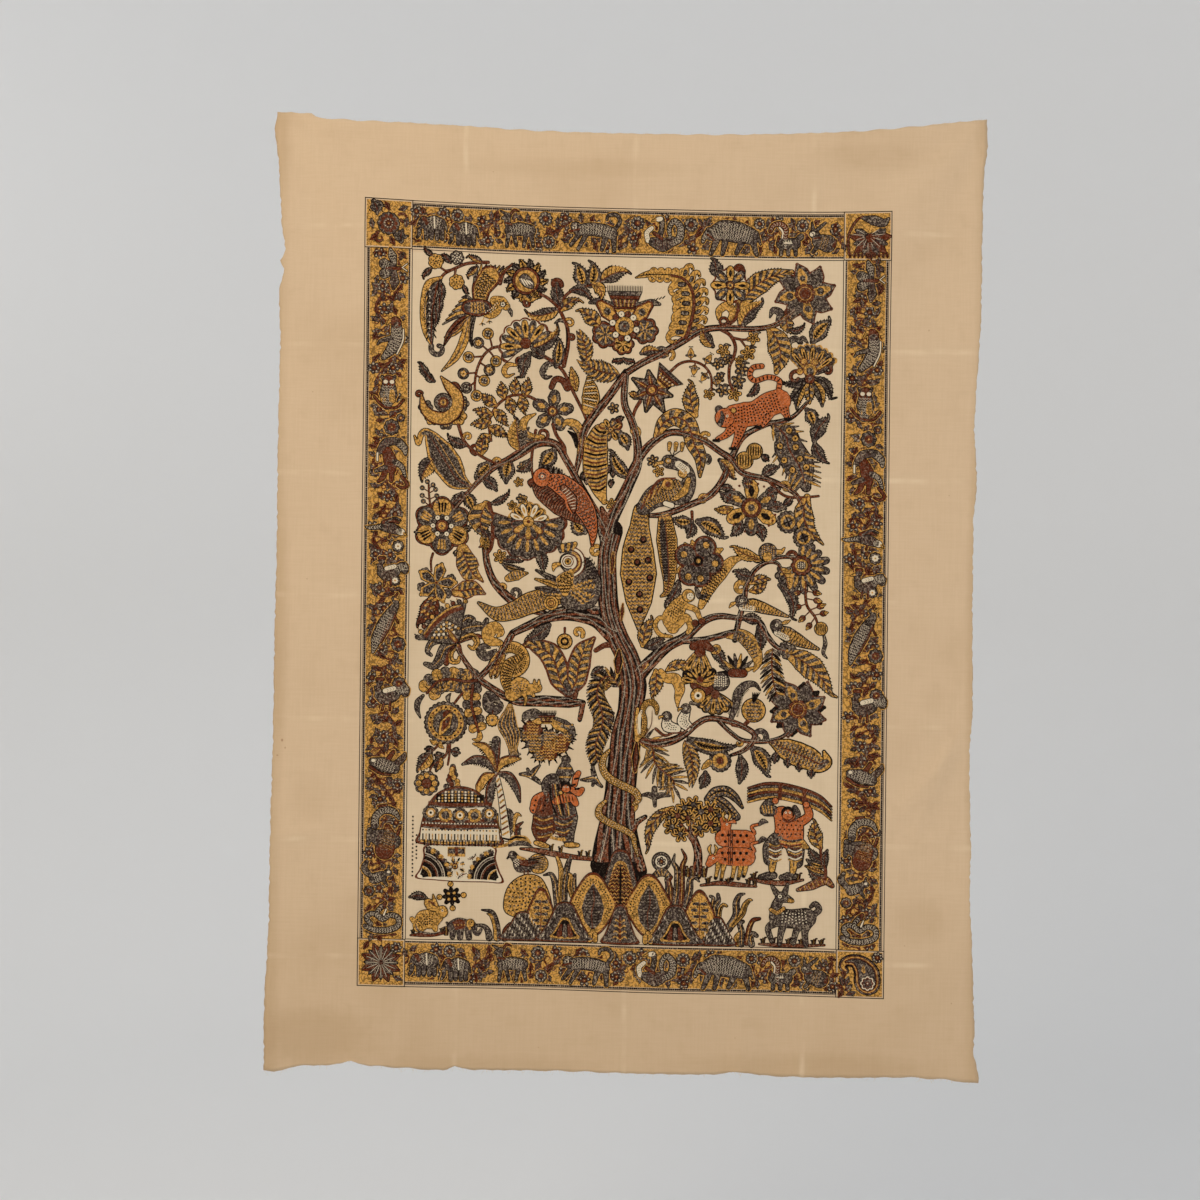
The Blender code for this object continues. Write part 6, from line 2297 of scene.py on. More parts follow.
def daisy_and_buds(pen):
    """The large daisy with its hanging row of buds, and the two songbirds below."""
    centre = 694 + 680j
    for angle in range(-150, 91, 24):
        tip = centre + cmath.rect(43 if angle < 40 else 36, math.radians(angle - 5))
        petal(pen, centre, tip, 12, "grey" if angle % 48 else "ochre", "black", 1.1,
              "ochre" if angle % 48 else "black", 1)
    up = pen.at(rise=1)
    wheel(up, "madder", centre, 16, 1, 1.0, lobes=10, depth=0.14)
    wheel(up, "ochre", centre, 10, 2, 0.8)
    wheel(up, "grey", centre, 7, 3)
    stipple(up, [centre - 6, centre + 6], [12, 12], 3.2, 0.9, "resist", 5)
    hanging = line_of(700, 654, 701, 634, 704, 616, 716, 600, 721, 588)
    stem(pen, hanging, 4)
    for u0, v0, u1, v1 in ((701, 642, 682, 634), (701, 640, 726, 636), (703, 628, 727, 624),
                           (703, 620, 683, 612),
                           (708, 610, 733, 620), (708, 608, 691, 591), (714, 602, 737, 607),
                           (716, 598, 703, 579)):
        root, tip = complex(u0, v0), complex(u1, v1)
        stem(pen, [root, root + (tip - root) * 0.6], 1.8, edge=0.2)
        bud(pen, root + (tip - root) * 0.5, tip, 8, "ochre", "madder")
    wheel(pen, "ochre", 726 + 581j, 10, 1, 1.0)
    bars(pen, line_of(717, 581, 735, 581), [18, 18], 6, "black", 1.2)
    hooked(pen, line_of(730, 573, 733, 558, 730, 543, 736, 535), 5, "grey")
    for place, parts in (
        (600 + 621j, ("grey", line_of(600, 616, 618, 616, 636, 611, 656, 605, 674, 599), [12, 19, 16, 9, 2])),
        (656 + 584j, ("grey", line_of(656, 578, 672, 571, 690, 562, 706, 555, 722, 549),
                      [14, 23, 19, 11, 3])),
    ):
        dye, points, widths = parts
        body(pen, dye, points, widths, 1.1)
        scales(pen, points, widths, 4.6, "ochre", 1.6)
        wing = [points[1] + 4j, points[2] + 3j, points[3]]
        body(pen, "ochre", wing, [8, 10, 2], 1.0, 3)
        bars(pen, wing, [8, 10, 2], 7, "black", 1.2, 4)
        body(pen, "resist", [points[0] - 5j, points[1] - 6j], [8, 9], 0.9, 3)
        stipple(pen, [points[0] - 5j, points[1] - 6j], [8, 9], 3.0, 0.9, "black", 4)
        wheel(pen, dye, place, 9.5, 3, 1.1)
        eye_of(pen, place + 1j, 2.4)
    hooked(pen, line_of(591, 619, 585, 616, 581, 611), 6, "ochre", 3)
    hooked(pen, line_of(664, 588, 671, 590, 677, 593), 6, "ochre", 3)
    leaves(pen, (603, 594, 633, 588, 15, "dark", 0.1), (627, 581, 629, 545, 17, "dark", 0.1, 0.3),
           (660, 648, 680, 598, 17, "dark", 0.2, 0.4))
    spurs(pen, (24, "ochre", 580, 567, 597, 568, 611, 560, 622, 544, 627, 526, 621, 512))
    scales(pen, line_of(588, 567, 604, 562, 616, 550, 623, 534), [16, 20, 18, 10], 5, "grey", 2.2)
    feather_rib(pen, line_of(650, 549, 649, 525, 651, 500, 659, 470), 42, 6.5)
    leaf(pen, 672 + 542j, 742 + 480j, 36, "striped", 0.1, 0.1)
    for u, v in ((664, 545), (672, 538), (680, 548), (668, 552)):
        wheel(pen, "grey", complex(u, v), 6.5, 1, 1.0, lobes=5, depth=0.2)
    for k in range(9):
        arm = cmath.rect(1, math.radians(20 + 20 * k))
        body(pen, ("ochre", "grey", "black")[k % 3],
             [595 + 508j, 595 + 508j + arm * 14, 595 + 508j + arm * 30], [6, 7, 1], 0.9)
    body(pen, "madder", line_of(586, 508, 604, 508), [12, 12], 1.0, 3)


def shell_flower(pen):
    """The shell-shaped flower, the nest of young birds and the leaves between the lower boughs."""
    fan(pen, 536 + 492j, 95, 32, 190, 7, ("ochre", "black"), "black", "ochre")
    body(pen, "madder", line_of(528, 488, 540, 480, 552, 484), [14, 20, 14], 1.1)
    body(pen, "ochre", line_of(532, 492, 545, 488, 556, 492), [4, 6, 4], 0.8, 3)
    fan(pen, 560 + 478j, 272, 38, 120, 6, ("ochre", "grey"), "black", "ochre")
    wheel(pen, "grey", 568 + 494j, 14, 3, 1.1)
    stipple(pen, line_of(558, 494, 578, 494), [22, 22], 3.6, 1.2, "resist", 4)
    wheel(pen, "ochre", 533 + 471j, 11, 3, 1.2)
    eye_of(pen, 533 + 471j, 6, 4)
    for k in range(6):
        wheel(pen, "grey", complex(522 + 4 * k, 459 - 0.5 * k), 2.4, 3, 0.7)
    stem(pen, line_of(467, 417, 481, 407, 496, 412, 512, 412), 4)
    for head, points in ((484 + 437j, line_of(484, 431, 486, 422, 500, 418)),
                         (514 + 450j, line_of(514, 444, 510, 430, 520, 420))):
        body(pen, "resist", points, [12, 18, 12], 1.3)
        stipple(pen, points, [10, 16, 10], 3.4, 1.0)
        wheel(pen, "grey", head, 7.5, 2, 1.0)
        eye_of(pen, head)
        hooked(pen, [head - 6, head - 11 - 1j, head - 12 - 4j], 4, "ochre", 3)
    feather_rib(pen, line_of(437, 396, 454, 398, 463, 384, 466, 364, 480, 350, 493, 340, 497, 328, 486,
                             316), 52, 5.6, ("ochre", "grey"))
    limbs(pen.at(466 + 310j), "grey",
          [([-20 + 2j, -10 + 3j, 0j, 12 + 3j, 24 + 2j], [2, 7, 8, 7, 2]), ([0j, 13j], [8, 7]),
                                       ([0j, 1 - 14j], [6, 4])], 1.2)
    curls(pen, (433, 288, 30, 9, 6, "ochre", 1), (598, 404, 0, 6, 4, "ochre", -1))
    leaves(pen, (546, 350, 539, 326, 16, "dark", 0.1), (512, 401, 523, 326, 22, "feather", 0.1),
           (520, 402, 590, 392, 22, "edged", -0.1, 0.4),
           (620, 390, 643, 349, 26, "edged", 0.1, 0.3), (601, 376, 600, 335, 18, "dark", 0.08),
           (658, 384, 655, 368, 10, "dark"),
           (676, 378, 676, 362, 10, "dark"), (694, 372, 694, 356, 10, "dark"),
           (713, 362, 713, 346, 10, "dark"))
    body(pen, "ochre", line_of(552, 366, 545, 360, 541, 356), [9, 7, 2], 1.0)
    wheel(pen, "grey", 569 + 369j, 17, 1, 1.2, lobes=14, depth=0.08)
    wheel(pen, "ochre", 569 + 369j, 12, 2)
    wheel(pen, "madder", 569 + 369j, 6, 3, 1.0)
    for numbers in ((550, 308, 562, 319, 579, 321, 594, 311, 605, 296),
                    (560, 310, 571, 304, 581, 296, 596, 281)):
        points = line_of(*numbers)
        widths = [9, 14, 14, 10, 2][:len(points)]
        body(pen, "grey", points, widths, 1.4)
        stroke(pen, points, 2.0, "black", 4)
        stipple(pen, points, widths, 5.0, 1.4, "ochre")


def lower_right_flowers(pen):
    """The dark plume, onion, fringed star and scalloped leaf at the right of the lower boughs."""
    spurs(pen, (13, "grey", 584, 432, 592, 455, 596, 476, 608, 489, 622, 491, 631, 482))
    fringe(pen, line_of(588, 440, 593, 458, 597, 476, 608, 488), 12, 4)
    wheel(pen, "ochre", 621 + 450j, 18, 1, 1.3)
    scales(pen, line_of(621, 466, 621, 450, 621, 434), [14, 32, 14], 5.4, "grey", 2.4)
    for k in range(5):
        body(pen, "black", [621 + 464j, 619 + 3 * k + 478j], [6, 1], 0, 2)
    stems(pen, (6, 614, 434, 604, 425, 588, 426))
    curls(pen, (640, 402, 60, 11, 8, "grey", 1))
    for k in range(10):
        arm = cmath.rect(1, math.tau * k / 10 + 0.1)
        petal(pen, 691 + 453j + arm * 14, 691 + 453j + arm * 44, 14, "black", "black", 1.0, None, 0, True)
    star_flower(pen, 691 + 453j, 45, 8, 20)
    rib = line_of(651, 400, 671, 391, 690, 383, 709, 376, 726, 368, 738, 372, 733, 387)
    body(pen, "ochre", rib, [8, 30, 36, 34, 26, 14, 3], 1.6)
    body(pen, "grey", rib[:6], [6, 22, 28, 26, 18, 7], 0, 2)
    scales(pen, rib[:5], [6, 24, 30, 28, 20], 5.5, "ochre", 1.6)
    stroke(pen, rib[:6], 2.4, "madder", 4)
    for k in range(6):
        points = [z + 1j * (4.4 * k - 11)
                  for z in line_of(614, 316, 640, 323, 668, 323, 704, 315, 728, 305, 746, 290)]
        body(pen, ("ochre", "grey", "madder")[k % 3], points, [2, 3.8, 4, 4, 3.8, 1], 0.8)
    for u, v in ((664, 322), (702, 315)):
        ribbon(pen.at(rise=1), "madder", [complex(u, v - 13), complex(u + 1, v + 13)], 6, 1)


def bundle_carrier(pen):
    """A standing man who steadies a bundle of sticks on his head."""
    up = pen.at(rise=1)
    plain = 0.9
    for points, widths, dye in (
        (line_of(654, 216, 653, 199), [12, 8], "ochre"), (line_of(688, 214, 686, 197), [12, 8], "ochre"),
        (line_of(660, 244, 652, 232, 650, 216), [26, 26, 20], "grey"),
        (line_of(686, 244, 690, 230, 692, 212), [26, 26, 18], "grey"),
        (line_of(648, 238, 642, 232), [12, 5], "ochre"), (line_of(700, 240, 708, 236), [14, 5], "ochre"),
        (line_of(668, 286, 678, 268, 682, 252), [26, 46, 40], "orange"),
        (line_of(654, 292, 640, 292, 646, 304, 656, 308), [15, 13, 11, 8], "grey"),
        (line_of(696, 274, 710, 286, 706, 302), [13, 12, 9], "orange"),
    ):
        body(up, dye, points, widths, plain + 0.3, 2)
    for k in range(7):
        for line in (line_of(648, 240 - 4 * k, 658, 236 - 4 * k, 668, 240 - 4 * k),
                     line_of(678, 240 - 4 * k, 690, 236 - 4 * k, 700, 241 - 4 * k)):
            stroke(up, line, 2.0, ("ochre", "madder", "resist")[k % 3], 4, (1, 1))
    for k in range(3):
        stroke(up, line_of(664, 248 - 4 * k, 682, 245 - 4 * k, 700, 248 - 4 * k), 2.8,
               ("grey", "ochre", "madder")[k], 5, (1, 1))
    for row in range(4):
        for k in range(6):
            dot(up, complex(662 + 7 * k + 3 * (row % 2), 256 + 7 * row), 1.5, "black", 4)
    for k in range(4):
        stroke(up, line_of(636 + 5 * k, 300, 640 + 4 * k, 288), 2.0, "ochre", 4, (1, 1))
    ribbon(up, "madder", line_of(668, 280, 678, 275, 690, 280), 3.0, 5)
    body(up, "grey", line_of(688, 298, 692, 288, 688, 278), [6, 9, 5], 1.0, 2)
    calm_face(up.at(677 + 288j, 0, 1.25, rise=1))
    for u, v in ((657, 308), (706, 303)):
        wheel(up, "orange", complex(u, v), 4.6, 4, 1.0)
    for heel, toe in ((656 + 190j, 635 + 187j), (688 + 190j, 668 + 187j)):
        body(up, "grey", [heel, (heel + toe) / 2, toe], [9, 11, 6], 1.2, 2)
    ground = line_of(618, 184, 640, 180, 670, 178, 702, 184)
    body(pen, "russet", ground, [2, 6, 7, 2], 1.0)
    for u in (624, 642, 672, 694):
        tuft(pen, complex(u, 182), 14, 3)
    leaf(pen, 729 + 236j, 720 + 276j, 21, "striped", 0.1, 0.2)
    stem(pen, line_of(737, 186, 737, 202, 731, 216, 729, 238), 5)
    leaves(pen, (731, 214, 711, 234, 12, "dark", 0.1), (737, 204, 740, 232, 10, "dark", 0.1),
           (735, 206, 708, 216, 11, "edged", 0.1),
           (735, 190, 712, 200, 12, "dark", 0.2), (734, 196, 706, 206, 8, "ochre"))
    body(pen, "russet", line_of(694, 168, 715, 175, 736, 184, 748, 176), [4, 12, 14, 6], 1.0)
    bars(pen, line_of(694, 168, 715, 175, 736, 184, 748, 176), [4, 12, 14, 6], 8, "ochre", 1.8)


def deer_at_right(pen):
    """A grey deer with pale spots and a beaded collar."""
    up = pen.at(rise=1)
    limbs(up, "grey", [
        (line_of(664, 124, 684, 122, 708, 124), [28, 28, 30]),
        (line_of(662, 126, 660, 140, 666, 154), [24, 15, 12]),
        (line_of(667, 156, 676, 154, 684, 151), [16, 12, 7]), (line_of(660, 163, 653, 174), [8, 3]),
        (line_of(674, 164, 678, 177), [8, 3]),
        (line_of(660, 116, 648, 106, 654, 86), [12, 8, 6]), (line_of(672, 114, 668, 98, 666, 82), [11, 8, 6]),
        (line_of(700, 116, 692, 102, 688, 84), [14, 8, 6]),
        (line_of(712, 118, 706, 102, 708, 81), [14, 9, 6]),
        (line_of(720, 130, 728, 138, 722, 147, 715, 142), [8, 8, 7, 4]),
    ], 1.3, 2)
    stipple(up, line_of(668, 124, 688, 122, 710, 124), [24, 24, 26], 5.0, 1.2, "resist", 4)
    scales(up, line_of(664, 132, 684, 130, 708, 132), [12, 14, 14], 4.4, "black", 1.2)
    body(up, "ochre", line_of(652, 136, 662, 131, 672, 138), [5, 6, 5], 0.9, 4)
    for k in range(6):
        dot(up, complex(653 + 3.6 * k, 135 - 1.6 * math.sin(k / 5 * 3.1)), 1.0, "madder", 6)
    wheel(up, "resist", 666 + 157j, 3.2, 4, 0.9)
    dot(up, 666 + 157j, 1.5, "black", 6)
    body(up, "ochre", line_of(681, 151, 686, 150), [6, 4], 0.8, 4)
    body(pen, "russet", line_of(634, 81, 660, 80, 700, 80, 737, 82), [2, 5, 5, 2], 0.8)
    for u in (640, 656, 680, 700, 720, 732):
        tuft(pen, complex(u, 81), 12, 3)


def orange_cattle(pen):
    """Two orange cows, one behind the other, under the small tree."""
    for lift, head in ((28, 580 + 268j), (0, 559 + 214j)):
        up = pen.at(rise=1 if lift else 2)
        neck = head - 2 + 2j if lift else head + 6 + 2j
        limbs(up, "orange", [
            (line_of(576, 219 + lift, 594, 218 + lift, 612, 218 + lift), [26, 28, 28]),
            ([580 + (224 + lift) * 1j, (580 + (224 + lift) * 1j + neck) / 2, neck], [20, 15, 12]),
            ([head, head + (-6 + 8j if lift else -6 - 8j)], [15, 9]),
            ([616 + (224 + lift) * 1j, 625 + (228 + lift) * 1j, 620 + (238 + lift) * 1j,
              634 + (243 + lift) * 1j], [4, 4, 4, 3]),
        ], 1.2, 2)
        for k in range(9):
            at = complex(574 + 4.8 * k, (214 if k % 2 else 224) + lift)
            wheel(up, "black", at, 2.6, 4)
        for k in range(3):
            stroke(up, line_of(584 + 3 * k, 232 + lift, 584 + 3 * k, 206 + lift), 1.8, "madder", 4, (1, 1))
        hooked(up, [head + 4 + 4j, head + 12 + 6j, head + 15 + 3j], 6, "orange", 3)
        for k in (-3, 3):
            hooked(up, [head + k + 7j, head + k * 2 + 16j, head + k + 22j], 4, "ochre", 3)
        eye_of(up, head + 1 + 1j, 1.9)
        hooked(up, [632 + (242 + lift) * 1j, 638 + (247 + lift) * 1j, 645 + (246 + lift) * 1j], 8, "grey", 3)
    for u, v in ((564, 184), (573, 182), (590, 183), (600, 184), (608, 188)):
        body(pen.at(rise=2), "ochre", line_of(u + 4, 206, u + 2, 194, u, v), [7, 4.4, 4], 0.8)
        dot(pen.at(rise=2), complex(u, v), 2.6, "black", 4)
    body(pen, "russet", line_of(541, 172, 570, 176, 600, 174, 628, 172), [2, 6, 6, 2], 1.0)
    for u in (552, 584, 616, 626):
        tuft(pen, complex(u, 174), 13, 3)


def small_tree(pen):
    """A small round-headed tree, with a hanging leaf, a stub and a little stand beside it."""
    bark(pen, (534, 188, 536, 220, 531, 240, 524, 257, 528, 280), (14, 11, 10, 8, 5), 3)
    bark(pen, (531, 238, 518, 255, 507, 268), (7, 5, 4), 1)
    bark(pen, (530, 250, 544, 262, 556, 276), (6, 5, 3), 1)
    for u, v, radius in ((494, 263, 11), (508, 252, 10), (503, 281, 12), (514, 294, 11), (528, 299, 11),
                         (519, 278, 10), (540, 288, 12),
                         (538, 262, 11), (555, 270, 12), (555, 292, 12), (568, 283, 9), (566, 262, 9),
                         (490, 278, 8)):
        for k in range(6):
            arm = cmath.rect(radius, math.tau * k / 6 + u)
            body(pen, "ochre", [complex(u, v) + arm * 0.3, complex(u, v) + arm],
                 [radius * 0.5, radius * 0.55], 1.0, 3)
            stroke(pen, [complex(u, v), complex(u, v) + arm * 1.02], 2.4, "black", 4)
        wheel(pen, ("grey", "madder")[u % 2], complex(u, v), radius * 0.36, 5, 0.8)
    bark(pen, (433, 256, 438, 268, 452, 278), (9, 8, 5), 2)
    leaf(pen, 495 + 293j, 457 + 229j, 17, "striped", -0.18, 0.1)
    for u in (512, 520, 528, 538, 546):
        tuft(pen, complex(u, 186), 17, 3)
    wheel(pen, "grey", 478 + 208j, 14, 1, 1.2)
    wheel(pen, "resist", 478 + 208j, 9.5, 2, 0.8)
    flower_head(pen.at(rise=1), 478 + 208j, 6.5, 6)
    body(pen, "grey", line_of(468, 186, 479, 192, 490, 186), [7, 14, 7], 1.0)
    bars(pen, line_of(468, 186, 479, 192, 490, 186), [7, 14, 7], 5, "ochre", 1.4)


# ---------------------------------------------------------------------------
# The border: ruled bands, four corner squares, and a vine full of creatures.
# ---------------------------------------------------------------------------

# Each creature is a list of bands: dye, dye of its small marks, then right, up and width by turns.
ELEPHANT = (
    ("grey", "resist", -14, 2, 20, 0, 6, 26, 14, 4, 22),
    ("grey", None, -18, 8, 18, -26, 0, 9, -27, -16, 6, -31, -24, 4),
    ("grey", None, -13, -6, 9, -13, -25, 7), ("grey", None, -3, -6, 9, -3, -24, 7),
    ("grey", None, 8, -6, 9, 8, -25, 7), ("grey", None, 17, -4, 9, 18, -24, 7),
    ("grey", None, 24, 4, 3, 27, -10, 2), ("madder", None, -18, 13, 8, -12, 4, 7),
    ("resist", None, 2, 17, 3, 3, -4, 3),
    ("ochre", None, -26, -2, 2, -33, -6, 1),
)
DEER = (
    ("grey", "resist", -16, 2, 15, 0, 5, 21, 18, 3, 19), ("grey", None, -16, 8, 10, -20, 18, 9, -18, 26, 8),
    ("grey", None, -18, 26, 9, -27, 22, 4), ("madder", None, -14, 29, 2, -8, 36, 3, -1, 34, 1),
    ("grey", None, -22, 29, 4, -31, 34, 1), ("grey", None, -17, -2, 6, -20, -24, 4),
    ("grey", None, -9, -2, 6, -4, -22, 4),
    ("grey", None, 12, -3, 7, 8, -23, 4), ("grey", None, 20, -1, 7, 24, -22, 4),
    ("madder", None, -22, 14, 3, -12, 12, 3),
)
TIGER = (
    ("grey", "resist", -26, 6, 16, -6, 8, 20, 14, 6, 20, 28, 2, 18),
    ("grey", "resist", -31, 12, 14, -29, 12, 14), ("resist", None, -33, 11, 5, -31, 11, 5),
    ("grey", None, -24, 0, 7, -38, -18, 4), ("grey", None, -14, -2, 7, -26, -24, 4),
    ("grey", None, 18, -4, 9, 12, -24, 5),
    ("grey", None, 31, 0, 9, 32, -26, 5),
    ("grey", "resist", 33, 8, 5, 41, 22, 5, 34, 32, 5, 22, 30, 4, 20, 24, 3),
    ("madder", None, -38, 4, 3, -24, 8, 3),
)
SWAN = (
    ("grey", "madder", -16, -10, 14, 0, -14, 22, 16, -8, 14),
    ("grey", "resist", 10, -14, 8, 26, -4, 12, 28, 14, 11, 18, 24, 8,
                                                                10, 12, 7, 12, -2, 4),
    ("resist", "grey", -24, -8, 7, -26, 4, 7, -18, 12, 6), ("grey", None, -6, -4, 8, -2, 12, 7, -2, 26, 7),
    ("resist", None, -4, 27, 7, -8, 26, 7), ("ochre", None, -12, 26, 4, -18, 23, 1),
    ("madder", None, -14, 4, 5, -2, -4, 5),
)
BOAR = (
    ("grey", "resist", -34, 4, 18, -16, 10, 32, 8, 8, 32, 30, 2, 24),
    ("grey", "resist", -36, 6, 18, -44, 0, 8, -47, -8, 4),
    ("grey", None, -26, -6, 9, -34, -26, 5), ("grey", None, -12, -8, 9, -16, -26, 5),
    ("grey", None, 14, -8, 9, 6, -24, 5),
    ("grey", None, 32, -6, 9, 38, -26, 5), ("grey", None, 40, 2, 4, 44, -10, 2),
    ("madder", None, -40, 4, 3, -30, -4, 3),
)
SNAKE = (
    ("madder", "resist", -14, 6, 6, -8, 16, 7, 4, 18, 8, 13, 10, 8, 12, -8, 8, 14, -24, 6),
    ("resist", None, 2, 12, 3, 8, 4, 3, 7, -8, 3),
)
CAMEL = (
    ("grey", None, -12, 0, 18, 12, 0, 18), ("resist", None, -7, 4, 9, 6, 4, 9),
    ("grey", None, -12, -6, 7, -13, -19, 5),
    ("grey", None, 0, -6, 7, 0, -19, 5), ("grey", None, 12, -6, 7, 13, -19, 5),
    ("grey", None, 15, 6, 8, 22, 12, 10),
    ("madder", None, -18, 4, 3, -17, 12, 2),
)
HARE = (
    ("grey", "ochre", -6, 0, 22, 8, -4, 28), ("grey", None, -15, 12, 14, -12, 10, 14),
    ("resist", None, -18, 11, 7, -16, 12, 7),
    ("grey", None, -10, 18, 5, 4, 30, 3), ("grey", None, -16, 19, 5, -18, 30, 2),
    ("madder", None, 18, -8, 6, 22, 2, 1),
    ("grey", None, -10, -10, 6, -16, -18, 4), ("madder", None, -14, 4, 3, -6, 6, 3),
)
BUTTERFLY = (
    ("grey", "resist", 6, 6, 6, 2, 22, 15, -2, 34, 5), ("grey", "madder", 6, -4, 6, 6, -24, 17, 4, -36, 5),
    ("grey", "resist", -2, 4, 13, -14, 8, 17), ("grey", "resist", -2, -6, 13, -13, -10, 17),
    ("madder", None, -8, 0, 5, 12, 0, 6, 20, 2, 2), ("resist", None, 20, 2, 1.5, 29, 9, 1.5),
    ("resist", None, 20, 2, 1.5, 29, -4, 1.5),
)
PARROT = (
    ("grey", "resist", 10, 18, 16, 11, 4, 20, 4, -14, 18, -10, -30, 8),
    ("madder", "black", 8, 26, 15, 10, 24, 15),
    ("ochre", None, 0, 28, 5, -5, 22, 2), ("resist", None, 21, 14, 2, 20, -4, 2, 11, -24, 2),
    ("grey", None, 2, 0, 7, -14, -4, 5, -20, -10, 2),
)
OWL = (
    ("grey", "resist", -2, 14, 20, -2, -2, 28, -4, -18, 14), ("madder", "black", -2, 18, 20, -2, 16, 20),
    ("ochre", "black", -8, 2, 8, -9, -10, 10), ("ochre", "black", 4, 2, 8, 4, -10, 10),
    ("grey", None, -12, 26, 4, -10, 22, 4),
    ("grey", None, 8, 26, 4, 6, 22, 4), ("resist", None, -7, 18, 6, -6, 18, 6),
    ("resist", None, 3, 18, 6, 4, 18, 6),
    ("madder", None, -24, -6, 3, -10, -20, 3, 10, -22, 3, 22, -10, 3),
)
CALF = (
    ("grey", "madder", 8, 30, 12, -8, 26, 14, -18, 12, 10),
    ("madder", "grey", -6, 12, 16, 0, -4, 22, 2, -18, 16),
    ("grey", "resist", 14, 28, 14, 24, 18, 12, 26, 8, 5),
    ("grey", "resist", 8, -6, 10, 20, -14, 8, 26, -30, 4),
    ("madder", None, -6, -14, 9, -12, -32, 8, -20, -40, 4), ("madder", None, 4, -20, 8, 2, -38, 6),
    ("resist", None, -22, 8, 3, -22, -4, 3),
    ("grey", "madder", -8, -16, 9, -24, -22, 5),
    ("madder", None, 20, -30, 4, 30, -44, 5, 22, -50, 4, 12, -46, 2),
)
SONGBIRD = (
    ("grey", "madder", -8, 2, 12, 8, 0, 18, 20, -4, 13), ("grey", "resist", -8, 3, 9, -28, 0, 6, -36, 1, 3),
    ("resist", "grey", 22, -5, 11, 26, -6, 11), ("ochre", None, 30, -8, 4, 34, -12, 1),
    ("madder", None, -6, 10, 6, 8, 14, 6, 20, 10, 3),
    ("madder", None, 6, -8, 2, 4, -16, 2), ("grey", None, -2, 10, 4, 14, 18, 3, 24, 14, 2),
)
LONG_PEACOCK = (
    ("grey", "resist", 8, 26, 16, -4, 4, 22, -16, -22, 18, -22, -44, 4),
    ("grey", None, 12, 30, 16, 18, 42, 9, 14, 50, 8),
    ("madder", None, 14, 24, 8, 4, 0, 7, -8, -24, 5), ("ochre", None, 16, 50, 4, 23, 48, 1),
    ("madder", None, 16, 54, 2, 20, 60, 2),
    ("madder", None, 16, 20, 2, 22, 8, 2),
)
ROOSTER = (
    ("grey", "madder", -12, -4, 12, -2, -8, 20, 12, -2, 18),
    ("grey", "resist", 14, 2, 12, 28, 8, 17, 30, 2, 12),
    ("grey", "madder", -12, 0, 10, -14, 12, 9, -10, 16, 9), ("madder", None, -14, 22, 5, -6, 22, 5),
    ("ochre", None, -18, 14, 4, -24, 12, 1),
    ("resist", "grey", -2, 4, 7, 12, 8, 7), ("madder", None, -4, -16, 2.5, -6, -26, 2.5),
    ("madder", None, 6, -14, 2.5, 6, -26, 2.5),
)
CARP = (
    ("grey", "resist", -22, 4, 12, -6, 0, 22, 12, -6, 16),
    ("grey", "madder", 14, 0, 10, 26, 12, 9, 28, 18, 3), ("madder", None, 2, 8, 7, 10, 20, 5),
    ("madder", None, -26, -4, 4, -10, -14, 3, 6, -16, 2), ("resist", None, -22, 6, 5, -21, 6, 5),
)
TURKEY = (
    ("grey", "madder", -12, -14, 22, 2, -18, 34, 14, -20, 26),
    ("madder", "ochre", 2, -34, 30, 8, -14, 24, 6, 2, 8),
    ("grey", "resist", -14, 4, 12, -12, 18, 11, 0, 28, 11, 16, 26, 10, 24, 16, 4),
    ("grey", None, -22, -4, 8, -24, -26, 5),
    ("madder", None, 22, -10, 4, 26, 2, 3), ("madder", None, -8, 34, 3, 4, 36, 3),
)
BRUSH_TAIL = (
    ("grey", "resist", 4, 2, 15, -8, -2, 16), ("grey", None, -16, 4, 8, -24, 14, 10, -20, 24, 5),
    ("grey", None, 12, 8, 9, 15, 8, 9),
    ("grey", None, 14, 14, 3, 15, 18, 2), ("resist", None, 14, 9, 4, 15, 9, 4),
    ("grey", None, 8, -6, 5, 12, -12, 3),
)
COILED_SNAKE = (
    ("grey", "resist", -30, -10, 7, -14, -16, 9, 8, -16, 10, 26, -8, 9, 26, 6, 9, 12, 10, 8, 0, 2, 8,
     -10, 12, 7, -2, 24, 8),
    ("grey", "resist", -4, 6, 8, -18, 12, 8, -28, 4, 8, -20, -6, 7),
    ("madder", None, 0, 24, 8, 4, 30, 5), ("resist", None, 2, 10, 3, 6, 20, 2),
)


def creature(pen, place, parts, size=1.0):
    """One of the border's creatures, in a halo of the ochre ground."""
    p = pen.at(place, 0.0, size, rise=2)
    shapes = []
    for dye, mark, *numbers in parts:
        points = [complex(u, v) for u, v in zip(numbers[::3], numbers[1::3])]
        shapes.append((dye, mark, points, numbers[2::3]))
    for _, _, points, widths in shapes:
        ribbon(p, "ochre", points, widths, -2, 4.0, True, grow=2.4)
    for _, _, points, widths in shapes:
        ribbon(p, "black", points, widths, -1, 4.0, True, grow=1.2)
    for step, (dye, mark, points, widths) in enumerate(shapes):
        ribbon(p, dye, points, widths, 1 + step // 3, 4.0, True)
        if mark and max(widths) > 6:
            scales(p, points, widths, 4.2, mark, 0.55, 2 + step // 3, 0.8)


